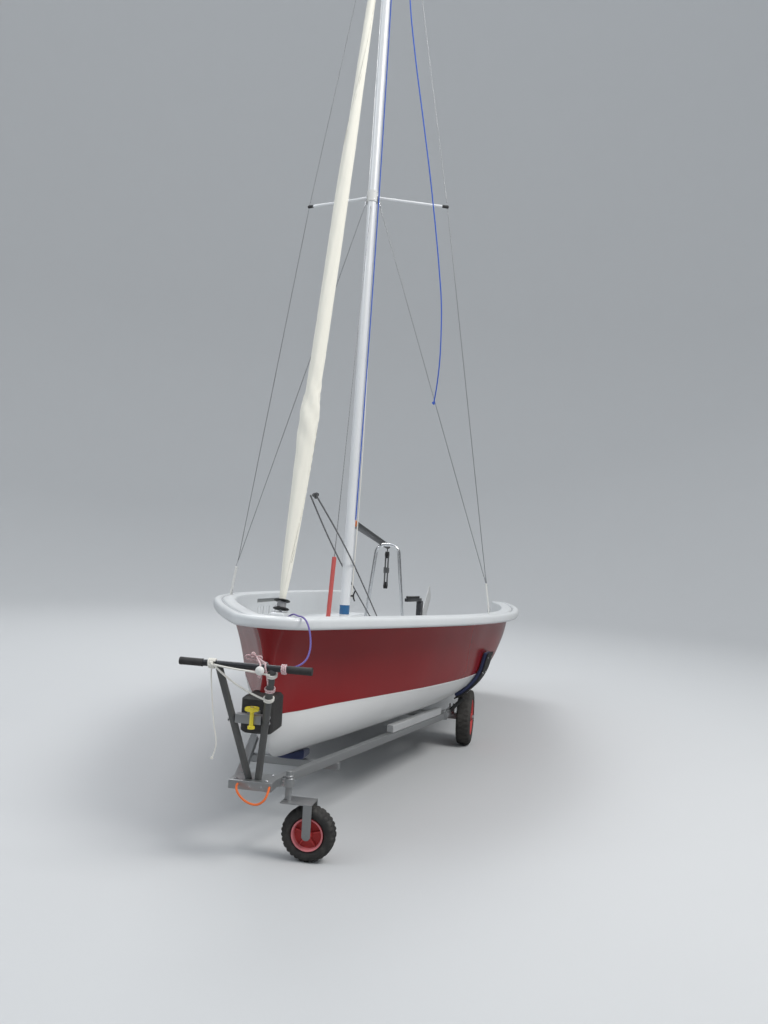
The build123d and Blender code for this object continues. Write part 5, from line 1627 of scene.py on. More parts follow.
    def inner_stay(self) -> None:
        """Deck eye, wire, and the red cover over the tackle at its foot."""
        foot = on_rim(1.24, 0, FOREDECK_DROP)
        start = on_rim(1.24, 0, 0.08)
        head = mast_point(2.596, 0.037, 0)
        along = (head - start) / np.linalg.norm(head - start)
        eye = Mesh()
        lathe(eye, mm(0, 0, 23, 0, 23, 3.2, 20.5, 5, 8.5, 5.6, 6.2, 8, 6, 26, 4, 30, 0, 30), foot,
            MAST_UP, 36)
        for angle in (0.8, 2.36, 3.93, 5.5):
            spot = foot + 0.016 * (cos(angle) * MAST_AHEAD + sin(angle) * PORT)
            lathe(eye, mm(3.2, 4, 3.2, 5.8, 1.8, 6.8, 0, 7), spot, MAST_UP, 12)
        eye.build("inner_stay_deck_eye", STEEL, replaces="inner_stay_eye")
        wire = Mesh().rod(np.linspace(start, head, 30), 0.002, 10)
        wire.build("inner_stay_wire", WIRE, replaces="inner_stay")
        cover = Mesh()
        length = 0.38
        profile = [*mm(2.2, -2, 10, -3, 12.5, -1, 13, 4)]
        profile += [(0.013 - 0.0009 * (k % 2), 0.012 + 0.012 * k) for k in range(6)]
        profile += [(0.0128, 0.1), (0.0124, 0.2), (0.0126, 0.3), (0.013, length - 0.01),
            (0.0118, length - 0.002), (0.008, length), (0.0022, length)]
        lathe(cover, profile, start, along, 28)
        cover.build("inner_stay_red_cover", SLEEVE, replaces="inner_stay_cover")


def bolt(mesh: Mesh, spot: tuple, axis: Array, radius: float = 0.006, height: float = 0.004,
        sides: int = 6) -> None:
    """Adds a hexagon or round bolt head with a chamfer, on a thin washer.

    Args:
        mesh: the mesh that it is added to.
        spot: middle of the washer's foot.
        axis: the way the head points.
        radius: of the head.
        height: of the head over the foot.
        sides: 6 for a hexagon, more for a round head.
    """
    lathe(mesh, ((radius * 1.55, 0.0), (radius * 1.55, 0.001), (radius * 1.15, 0.0012)), spot, axis,
        20)
    lathe(mesh, ((radius, 0.001), (radius, height * 0.8), (radius * 0.86, height), (0.0, height)),
        spot, axis, sides)


def line_frame(start: Array, end: Array) -> tuple[Array, Array, Array, float]:
    """Unit direction from start to end, level across, and up, and the length.

    Args:
        start: first point.
        end: last point.

    Returns:
        The three unit directions and the length.
    """
    start, end = np.asarray(start, float), np.asarray(end, float)
    length = np.linalg.norm(end - start)
    along = (end - start) / length
    across = np.cross(UP, along)
    across /= np.linalg.norm(across)
    return along, across, np.cross(along, across), length


def box_beam(mesh: Mesh, start: Array, end: Array, width: float, height: float,
        radius: float = 0.004) -> Mesh:
    """Adds a straight rounded box section from start to end.

    Args:
        mesh: the mesh that it is added to.
        start: middle of the first end.
        end: middle of the other.
        width: size across.
        height: size up.
        radius: of the corners.

    Returns:
        The mesh.
    """
    along, across, up, length = line_frame(start, end)
    outline = rounded_rectangle(width, height, radius, 4)
    rows = []
    for t in (0.0, 0.002, 0.25, 0.5, 0.75, 0.998, 1.0):
        shrink = 0.97 if t in (0.0, 1.0) else 1.0
        centre = np.asarray(start, float) + along * length * t
        rows.append(centre + shrink * (outline[:, :1] * across + outline[:, 1:] * up))
    return mesh.closed(rows)


def cross_bar(mesh: Mesh, centre: Array, size: float, stations: tuple, shrink: float) -> Mesh:
    """Adds a square bar across the boat; its end sections are shrunk so that its edges read.

    Args:
        mesh: the mesh that it is added to.
        centre: the bar's middle.
        size: its width and height.
        stations: distances to port, both ends included.
        shrink: scale of the two end sections.

    Returns:
        The mesh.
    """
    outline = rounded_rectangle(size, size, 0.004, 4)
    rows = []
    for y in stations:
        k = shrink if y in (stations[0], stations[-1]) else 1.0
        rows.append([centre + np.array((u * k, y, v * k)) for u, v in outline])
    return mesh.closed(rows)


@dataclass
class Boom:
    """Gooseneck on the mast, the grooved boom, and its end with the mainsheet becket."""

    height: float = 0.606
    pin: float = 0.008
    swing: float = radians(-4.8)
    droop: float = radians(1.8)
    reach: float = 0.036
    fork_reach: float = 0.026
    cap: float = 0.03
    length: float = 2.523
    diameter: float = 0.048

    def frames(self) -> tuple[Array, ...]:
        """The gooseneck's two axes and the boom's own directions.

        Returns:
            Swing axis's point and direction, the swung boom's direction and its port side, the
            lift axis's point, and the boom's direction and top.
        """
        origin = mast_point(self.height, -0.056, 0)
        aft, up = -MAST_AHEAD, MAST_UP
        port = PORT
        c, s = cos(self.swing), sin(self.swing)
        along = c * aft + s * port
        side = np.cross(up, along)
        lift = origin + along * self.reach
        c, s = cos(self.droop), sin(self.droop)
        out = c * along - s * up
        return origin, up, along, side, lift, out, np.cross(out, side)

    def section(self) -> Array:
        """Boom outline with the foot groove in its top.

        Returns:
            Outline points (across, up).
        """
        r = self.diameter / 2
        ring = circle(r, 72)
        angle = np.linspace(0, ROUND, 72, endpoint=False)
        keep = ring[np.abs(angle - pi / 2) > 0.21]
        angles = np.arctan2(keep[:, 1], keep[:, 0])
        keep = keep[np.argsort(np.mod(angles - pi / 2, 2 * pi))]
        groove = np.array(((0.0045, r - 0.0008), (0.0026, r - 0.0016), (0.0026, r - 0.0058),
            (-0.0026, r - 0.0058), (-0.0026, r - 0.0016), (-0.0045, r - 0.0008)))
        return np.vstack((keep, groove))

    def build(self) -> None:
        """Makes the boom's pieces."""
        origin, up, along, side, lift, out, top = self.frames()
        bracket = Mesh()
        lathe(bracket, mirrored(0, -29, 5.5, -29, 5.5, -27.5, 4, -27), origin, up, 20)
        flat = np.array((-MAST_AHEAD, PORT, MAST_UP))
        for level in (-0.0235, 0.0235):
            rounded_block(bracket, origin + up * level + MAST_AHEAD * 0.011, (0.022, 0.022, 0.0058),
                0.0015, flat)
            lathe(bracket, mirrored(0, -2.9, 10.4, -2.9, 11, -2.2), origin + up * level, up, 28)
        rounded_block(bracket, origin + MAST_AHEAD * 0.0185, (0.0045, 0.022, 0.052), 0.0012, flat)
        bracket.build("gooseneck_lugs", STEEL, replaces="gooseneck_bracket")
        toggle = Mesh()
        lathe(toggle, mirrored(4.2, -19.5, 10, -20, 11, -18.8), origin, up, 32)
        rounded_block(toggle, origin + along * 0.0215, (0.029, 0.0096, 0.0216), 0.002,
            np.array((along, side, up)))
        lathe(toggle, mirrored(0, -4.8, 10.2, -4.8, 10.8, -4), lift, side, 28)
        toggle.build("gooseneck_swivel", ORANGE, "gooseneck", replaces="gooseneck_toggle")
        fork = Mesh()
        for sign in (1, -1):
            middle = lift + side * sign * 0.0085
            lathe(fork, mirrored(4.2, -2.4, 10.2, -2.4, 11, -1.8), middle, side, 28)
            rounded_block(fork, middle + out * 0.015, (0.026, 0.0048, 0.021), 0.0012,
                np.array((out, side, top)))
        lathe(fork, mirrored(0, -11, 5.8, -11, 5.8, -10.6, 4, -10.4), lift, side, 20)
        start = lift + out * self.fork_reach
        lathe(fork, ((0.0, 0.0), (0.0205, 0.0), (0.0235, 0.0025), (0.024, 0.006),
            (0.024, self.cap)), start, out, 48)
        fork.build("boom_front_casting", ORANGE, "boom", replaces="boom_fork")
        spar = Mesh()
        outline = self.section()
        levels = np.linspace(self.cap, self.cap + self.length, 30)
        rows = np.array([start + out * t + outline[:, :1] * side + outline[:, 1:] * top
            for t in levels])
        spar.closed(rows)
        spar.build("boom_spar", DARK_SPAR, "boom", replaces="boom")
        end = Mesh()
        tail = start + out * (self.cap + self.length)
        lathe(end, mm(24, 0, 24, 22, 23, 27, 19, 30, 0, 30), tail, out, 48)
        hook = [tail + out * (0.015 + 0.01 * cos(t)) - top * (0.034 + 0.0135 * sin(t))
            for t in np.linspace(0, pi, 17)]
        hook = [tail + out * 0.025 - top * 0.018, *hook, tail + out * 0.005 - top * 0.018]
        end.rod(hook, 0.003, 12)
        end.build("boom_end_casting", BLACK, "boom", replaces="boom_end")


@dataclass
class Hoop:
    """Sheet hoop of polished tube on two deck flanges."""

    aft: float = 3.11
    top: float = 1.3475
    foot_half: float = 0.172
    corner_half: float = 0.082
    corner: float = 0.072
    radius: float = 0.0125

    def path(self) -> Array:
        """Half of the bent tube's line: straight leg, round corner, straight top.

        Returns:
            Points (n, 3).
        """
        leg = np.array((self.foot_half - self.corner_half, SOLE - self.top))
        leg /= np.linalg.norm(leg)
        turn = acos(float(leg @ np.array((-1.0, 0.0))))
        reach = self.corner * tan((pi - turn) / 2)
        top_corner = np.array((self.corner_half, self.top))
        on_leg = top_corner + leg * reach
        on_top = top_corner + np.array((-reach, 0.0))
        arc, _ = tangent_arc(on_leg, on_top, -leg, 14)
        low = np.array((self.foot_half, SOLE + 0.003))
        return np.vstack((np.linspace(low, on_leg, 12)[:-1], arc, ((0.0, self.top),)))

    def build(self) -> None:
        """Makes the hoop, its flanges and their bolts."""
        half = self.path()
        whole = np.vstack((half, (half[:-1] * (-1, 1))[::-1]))
        path = place(self.aft, whole[:, 0], whole[:, 1])
        mesh = Mesh().closed(swept(path, circle(self.radius, 28), sideways=(1.0, 0, 0)))
        bolts = Mesh()
        for side in (1, -1):
            foot = place(self.aft, side * self.foot_half, SOLE)
            lathe(mesh, mm(0, 0, 35, 0, 35, 4.5, 33.5, 6, 18, 6.2, 15, 8.5, 13, 13), foot, UP, 44)
            for angle in (0.785, 2.356, 3.927, 5.498):
                spot = foot + np.array((0.026 * cos(angle), 0.026 * sin(angle), 0.0052))
                lathe(bolts, mm(3.8, 0, 3.8, 0.8, 2.4, 1.8, 0, 2), spot, UP, 14)
        mesh.build("hoop_tube", STEEL, replaces="sheet_hoop")
        bolts.build("hoop_screws", STEEL)


@dataclass
class Rudder:
    """Gudgeons, rudder head, tiller with its extension, and the foil-shaped blade."""

    pintle: float = 4.992
    pivot: tuple = (5.086, 0.42)
    reach: float = 0.83
    chord: float = 0.21
    thickness: float = 0.024
    lift: float = radians(30)

    def foil(self, chord: float, thickness: float, count: int = 22) -> Array:
        """Closed section: round nose, widest a third back, thin tail (along the chord, across).

        Args:
            chord: length of the section.
            thickness: greatest thickness as a share of it.
            count: points on each face.

        Returns:
            Points (n, 2).
        """
        x = 0.5 * (1 - np.cos(np.linspace(0, pi, count)))
        half = 5 * (0.2969 * np.sqrt(x) - 0.126 * x - 0.3516 * x**2 + 0.2843 * x**3 - 0.1015 * x**4)
        half = half * thickness * chord + 0.0012 * x
        upper = np.stack((x * chord, half), -1)
        return np.vstack((upper, (upper * (1, -1))[::-1][1:-1]))

    def blade(self) -> None:
        """Blade: a neck that fills the head, then foil sections to a rounded tip.

        Each section stands across the blade's own line; its front edge runs from the round head
        out to half the chord and stays there, and its back edge tapers in towards the tip.
        """
        c, s = cos(self.lift), sin(self.lift)
        along, front = np.array((-c, 0, s)), np.array((-s, 0, -c))
        pivot = place(self.pivot[0], 0, self.pivot[1])
        head, neck = 0.052, 0.2
        rows = []
        levels = np.r_[-0.0518, -0.051, -0.047, -0.038, -0.02, 0.0, 0.05, 0.1,
            np.linspace(0.15, 0.77, 22), 0.79, 0.805, 0.816, 0.824, 0.829, 0.8299]
        for t in levels:
            if t < 0:
                low = high = sqrt(max(head**2 - t * t, 1e-8))
            else:
                share = min(t / neck, 1.0)
                high = head + (self.chord / 2 - head) * share
                low = high if t <= neck else self.chord / 2 - (t - neck) / (self.reach
                    - neck) * self.chord / 6
            tip = max(t - (self.reach - 0.052), 0.0)
            cut = 0.052 - sqrt(max(0.052**2 - tip**2, 0.0))
            low, high = max(low - cut, 0.001), max(high - cut, 0.001)
            chord = low + high
            fill = smooth(0.1, 0.3, t)
            foil = self.foil(chord, self.thickness / chord * (1.0 if t < 0.78 else 1 - 0.5
                * smooth(0.78, 0.83, t)))
            angle = np.arctan2(foil[:, 1] * chord, foil[:, 0] - chord * 0.5)
            half = self.thickness / 2
            edge = np.stack((chord / 2 * np.cos(angle), half * np.sin(angle)), -1)
            scale = 1 / np.maximum(np.abs(np.cos(angle)), np.abs(np.sin(angle)))
            edge = np.clip(edge * scale[:, None], (-chord / 2, -half), (chord / 2, half))
            section = (1 - fill) * (edge + (chord / 2, 0)) + fill * foil
            u = high - section[:, 0]
            rows.append(pivot + along * t + u[:, None] * front + section[:, 1:] * PORT)
        mesh = Mesh().closed(rows)
        mesh.build("rudder_foil", FOIL, "rudder_blade", replaces="rudder_blade")

    def head(self) -> None:
        """Two cheeks with a spine and crown, the pivot bolt, and the pintles."""
        mesh = Mesh()
        for side in (1, -1):
            outline = [(0.0, 0.3), (0.0, 0.77)]
            for middle_height, first, last in ((0.734, 90, 0), (0.336, 0, -90)):
                for a in np.radians(np.linspace(first, last, 9)):
                    outline.append((0.114 + 0.036 * cos(a), middle_height + 0.036 * sin(a)))
            outline = np.array(outline)
            middle = np.array((0.075, 0.535))
            rows = []
            for y, shrink in ((0.0142, 0.0), (0.021, 0.0), (0.0219, 0.0015)):
                ring = outline + (middle - outline) / np.linalg.norm(middle - outline, axis=1)[:,
                    None] * shrink
                rows.append(place(5.012 + ring[:, 0], side * y, ring[:, 1]))
            mesh.closed(rows)
        rounded_block(mesh, place(5.019, 0, 0.535), (0.0138, 0.0436, 0.4696), 0.002)
        rounded_block(mesh, place(5.0495, 0, 0.75), (0.0745, 0.0434, 0.0396), 0.003)
        for height in PINTLE_HEIGHTS:
            low = height + 0.0125
            rounded_block(mesh, place(5.002, 0, low + 0.005), (0.02, 0.0298, 0.0098), 0.001)
            lathe(mesh, mm(0, 0, 14.2, 0, 15, 0.8, 15, 9.2, 14.2, 10, 0, 10),
                place(self.pintle, 0, low), UP, 28)
            lathe(mesh, mm(0, -8, 4, -7.8, 5, -6.6, 5, 12.6), place(self.pintle, 0, height), UP, 20)
        mesh.build("rudder_stock_cheeks", DARK_SPAR, "rudder_stock", replaces="rudder_head")
        bolts = Mesh()
        pivot = place(self.pivot[0], 0, self.pivot[1])
        for side in (1, -1):
            axis = np.array((0, side, 0.0))
            bolt(bolts, pivot + axis * 0.0218, axis, 0.009, 0.004)
            for aft, up in ((5.03, 0.34), (5.03, 0.5), (5.03, 0.66), (5.06, 0.75)):
                bolt(bolts, place(aft, side * 0.0217, up), axis, 0.0045, 0.0028, 12)
        bolts.build("rudder_stock_bolts", STEEL, "rudder_stock")

    def tiller(self) -> None:
        """Square tiller with rounded edges and a plug, and the extension on its swivel."""
        rise = radians(4)
        forward, upright = np.array((cos(rise), 0, sin(rise))), np.array((-sin(rise), 0, cos(rise)))
        foot = place(5.107, 0, 0.781)
        mesh = Mesh()
        outline = rounded_rectangle(0.03, 0.03, 0.004, 4)
        rows = []
        for t in (0.0, 0.002, 0.2, 0.45, 0.7, 0.898, 0.9):
            shrink = 0.95 if t in (0.0, 0.9) else 1.0
            ring = foot + forward * t + shrink * (outline[:, :1] * PORT + outline[:, 1:] * upright)
            ring[:, 2] = np.maximum(ring[:, 2], 0.7702)
            rows.append(ring)
        mesh.closed(rows)
        mesh.build("tiller_bar", DARK_SPAR, "rudder_stock", replaces="tiller")
        front = foot + forward * 0.87 + upright * 0.025
        stick = Mesh()
        profile = [*mm(0, 0, 6, 0, 9.4, 2, 10, 6, 10, 30, 9.2, 33, 9, 50, 9, 520, 9.6, 525)]
        profile += [(0.01 - 0.0007 * (k % 2), 0.53 + 0.0055 * k) for k in range(40)]
        profile += [*mm(10, 752, 9.2, 758, 0, 760)]
        lathe(stick, profile, front, -forward, 22)
        stick.build("tiller_extension_stick", BLACK, "rudder_stock", replaces="tiller_extension")

    def build(self) -> None:
        """Makes the rudder's pieces that replace plain solids."""
        gudgeons = Mesh()
        for height in PINTLE_HEIGHTS:
            centre = place(self.pintle, 0, height + 0.006)
            ring = [(-0.015 * cos(a), 0.015 * sin(a)) for a in np.linspace(-pi / 2, pi / 2, 15)]
            outline = np.array([(0.042, -0.015), *ring, (0.042, 0.015)])
            rows = []
            for up, shrink in ((-0.006, 0.96), (-0.0054, 1.0), (0.0054, 1.0), (0.006, 0.96)):
                rows.append([centre + np.array((x * (1 if x > 0.04 else shrink), y * shrink, up))
                    for x, y in outline])
            gudgeons.closed(rows)
            for side in (-1, 1):
                spot = place(4.95 + 0.01, side * 0.008, height + 0.012)
                lathe(gudgeons, mm(3.2, 0, 3.2, 1, 1.8, 2.2, 0, 2.4), spot, UP, 12)
        gudgeons.build("rudder_hangings", STEEL, replaces="rudder_gudgeons")
        self.head()
        self.tiller()
        self.blade()


def post_point(height: float) -> tuple[float, float, float]:
    """A point on the middle line of the port handle post, at a height: aft, port, up.

    Args:
        height: height above the ground.

    Returns:
        Distance aft, distance to port, height.
    """
    share = (height - POST_HEIGHT) / (BAR_HEIGHT - POST_HEIGHT)
    return (POST_AFT + share * (BAR_AFT - POST_AFT), POST_FOOT_HALF + share
        * (POST_TOP_HALF - POST_FOOT_HALF), height)


@dataclass
class Trolley:
    """Galvanised A-frame with its axle, boards, handle and line reel."""

    front: tuple = (0.0, 0.08, 0.346)
    knee: tuple = (2.2, 0.6, 0.28)
    tail: tuple = (2.67, 0.6, 0.226)
    section: float = 0.04
    axle_aft: float = 2.65
    axle_height: float = 0.19

    def side_beams(self) -> None:
        """Long beams, their cranked tails, the knee sleeves, end caps and bolts."""
        front, knee, tail = (place(*p) for p in (self.front, self.knee, self.tail))
        mesh, bolts, caps = Mesh(), Mesh(), Mesh()
        box_beam(mesh, front, knee, self.section, self.section)
        box_beam(mesh, knee, tail, self.section, self.section)
        box_beam(mesh, knee + (0.045, 0, 0), knee - (0.045, 0, 0), 0.048, 0.048, 0.005)
        mesh.both_sides().build("trolley_long_beams", ZINC, replaces="trolley_side_beams")
        for shift in (0.025, -0.025):
            bolt(bolts, knee + np.array((shift, 0, 0.024)), UP)
            bolt(bolts, knee + np.array((shift, 0.024, 0)), PORT)
        u_bolt = [(0.0225 * cos(t), 0.0, 0.0225 * sin(t)) for t in np.linspace(0, pi, 15)]
        along, across, up, _ = line_frame(knee, tail)
        spot = place(self.axle_aft, self.knee[1], self.axle_height)
        for shift in (-0.012, 0.012):
            legs = [(0.0225, 0.0, -0.03), *u_bolt, (-0.0225, 0.0, -0.03)]
            path = np.array([spot + (x, shift, z + 0.062) for x, _, z in legs])
            path[:, 2] = np.clip(path[:, 2], 0.0, self.axle_height + 0.058 + 0.024)
            bolts.rod(path, 0.004, 10)
        bolts.both_sides().build("trolley_beam_bolts", STEEL)
        end = tail + along * 0.001
        rounded_block(caps, end, (0.004, 0.037, 0.037), 0.0015, np.array((along, across, up)))
        caps.both_sides().build("trolley_beam_caps", BLACK)

    def nose(self) -> None:
        """Nose box that joins the beams, with its end plates and bolts."""
        mesh, bolts = Mesh(), Mesh()
        rounded_block(mesh, place(-0.015, 0, 0.346), (0.1496, 0.1996, 0.0396), 0.003)
        mesh.build("trolley_nose_box", ZINC, replaces="trolley_nose")
        for aft in (-0.065, 0.035):
            for port in (-0.07, 0.07):
                bolt(bolts, place(aft, port, 0.3656), UP, 0.0065, 0.005)
        for port in (-0.055, 0.0, 0.055):
            bolt(bolts, place(-0.0896, port, 0.346), (1, 0, 0), 0.005, 0.0035)
        bolts.build("trolley_nose_bolts", STEEL)

    def cross(self) -> None:
        """Cross member under the keel pad, with a bolt at each beam."""
        mesh, bolts = Mesh(), Mesh()
        share = 0.62 / self.knee[0]
        height = self.front[2] + share * (self.knee[2] - self.front[2]) - self.section
        centre = place(0.62, 0, height)
        cross_bar(mesh, centre, 0.0398, (-0.2465, -0.2445, -0.1, 0, 0.1, 0.2445, 0.2465), 0.96)
        mesh.build("trolley_cross_beam", ZINC, replaces="trolley_cross_member")
        for port in (-0.222, 0.222):
            bolt(bolts, centre + np.array((0.0, port, -0.0199)), (0, 0, -1))
        bolts.build("trolley_cross_bolts", STEEL)

    def axle(self) -> None:
        """Square axle with its round stubs, washers, castle nuts and split pins."""
        mesh = Mesh()
        centre = place(self.axle_aft, 0, self.axle_height)
        cross_bar(mesh, centre, 0.04, (-0.646, -0.644, -0.3, 0, 0.3, 0.644, 0.646), 0.95)
        for side in (1, -1):
            axis = np.array((0, side, 0.0))
            lathe(mesh, mm(12.5, 640, 12.5, 751.5, 0, 751.5), centre, axis, 32)
            lathe(mesh, mm(12.5, 750, 16.8, 750.8, 16.8, 756), centre, axis, 6)
            lathe(mesh, mm(15, 755.5, 13.5, 759, 12.2, 759.8, 0, 760), centre, axis, 24)
        mesh.build("trolley_axle_bar", ZINC, replaces="trolley_axle")

    def boards(self) -> None:
        """Grey boards on the beams under the hull, with rounded edges and screw heads."""
        front, knee = place(*self.front), place(*self.knee)
        along, across, up, _ = line_frame(front, knee)
        lift = np.array((0, 0, (self.section + 0.046) / 2))
        start = front + along * (1.3 / -along[0]) + lift
        end = front + along * (2.08 / -along[0]) + lift
        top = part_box("bunk_boards")[1][2]
        mesh = Mesh()
        outline = rounded_rectangle(0.044, 0.046, 0.008, 6)
        rows = []
        for t in np.r_[0.0, 0.003, 0.01, np.linspace(0.05, 0.95, 20), 0.99, 0.997, 1.0]:
            shrink = 0.86 if t in (0.0, 1.0) else (0.95 if t in (0.003, 0.997) else 1.0)
            centre = start + (end - start) * t
            rows.append(centre + shrink * (outline[:, :1] * across + outline[:, 1:] * up))
        rows = np.array(rows)
        rows[..., 2] = np.minimum(rows[..., 2], top - 0.0005)
        mesh.closed(rows)
        mesh.both_sides().build("trolley_boards", BOARD, replaces="bunk_boards")

    def handle(self) -> None:
        """V-shaped handle tubes, the bar with its rubber grips, and the snubber arm."""
        foot, top = place(*post_point(POST_HEIGHT)), place(*post_point(BAR_HEIGHT))
        direction = (top - foot) / np.linalg.norm(top - foot)
        tubes, bar, grips, bolts = Mesh(), Mesh(), Mesh(), Mesh()
        rows = swept(np.linspace(foot - direction * 0.001, top - direction * 0.01, 16),
            circle(0.016, 28))
        rows[0][:, 2] = 0.3662
        tubes.closed(rows)
        lathe(tubes, mm(16, -2, 15.5, 6, 12, 12), top - direction * 0.01, direction, 28)
        tubes.both_sides().build("handle_post_tubes", HANDLE_GREY, replaces="handle_tubes")
        centre = place(BAR_AFT, 0, BAR_HEIGHT)
        lathe(bar, mirrored(0, -292.8, 13.8, -292.8, 14, -290), centre, PORT, 32)
        bar.build("handle_crossbar", DARK_SPAR, replaces="handlebar")
        profile = [*mm(14.2, 188.2, 16, 188.2, 17, 189.2, 17, 193.5, 16.2, 194.5)]
        profile += [(0.0162 + 0.0006 * (k % 2), 0.196 + 0.0042 * k) for k in range(20)]
        profile += [*mm(17, 281, 17, 290, 16, 292.6, 12, 293, 0, 293)]
        lathe(grips, profile, centre, PORT, 36)
        grips.both_sides().build("handle_rubber_grips", RUBBER, replaces="handle_grips")
        arm, port, _ = post_point(ARM_HEIGHT)
        bracket = Mesh()
        rounded_block(bracket, place(arm, 0, ARM_HEIGHT), (0.0396, 2 * (port - 0.017), 0.0396),
            0.003)
        rounded_block(bracket, place((arm - 0.052) / 2, 0, ARM_HEIGHT),
            (abs(arm + 0.052) + 0.002, 0.0396, 0.0392), 0.003)
        bracket.build("snubber_arm", ZINC, replaces="snubber_bracket")
        for side in (1, -1):
            for up in (-0.012, 0.012):
                bolt(bolts, place(arm, side * (port + 0.0165), ARM_HEIGHT + up), (0, side, 0),
                    0.0055, 0.0035)
        bolts.build("snubber_arm_bolts", STEEL)

    def knurl(self, angle: Array, index: Array) -> Array:
        """Ribs round the reel's knob: 16 waves, up to 2 mm deep, on the profile's outer points."""
        return np.where((index > 10) & (index < 15), 0.001 * (np.cos(16 * angle) - 1), 0.0)

    def reel(self) -> None:
        """Yellow reel that the strap winds on, with its post and a knob."""
        arm, _, _ = post_point(ARM_HEIGHT)
        axis = place(arm - 0.02 - 0.009, 0.02, 0.618)
        profile = [*mm(0, 0, 14.5, 0, 16, 1.5, 16, 10.8, 15, 12.2, 10, 15, 9, 18.5, 8.8, 40, 9, 70,
            12, 73.5, 27, 77, 30.5, 78.5, 31.5, 81, 31.5, 90, 30, 92.2, 26, 93, 0, 93)]
        mesh = Mesh()
        lathe(mesh, profile, axis, UP, 64, self.knurl)
        mesh.build("snubber_line_reel", YELLOW, replaces="line_reel")
        screw = Mesh()
        bolt(screw, axis + np.array((0, 0, 0.0926)), UP, 0.006, 0.0026)
        screw.build("snubber_reel_bolt", STEEL)

    def build(self) -> None:
        """Makes the trolley's hard pieces."""
        self.side_beams()
        self.nose()
        self.cross()
        self.axle()
        self.boards()
        self.handle()
        self.reel()


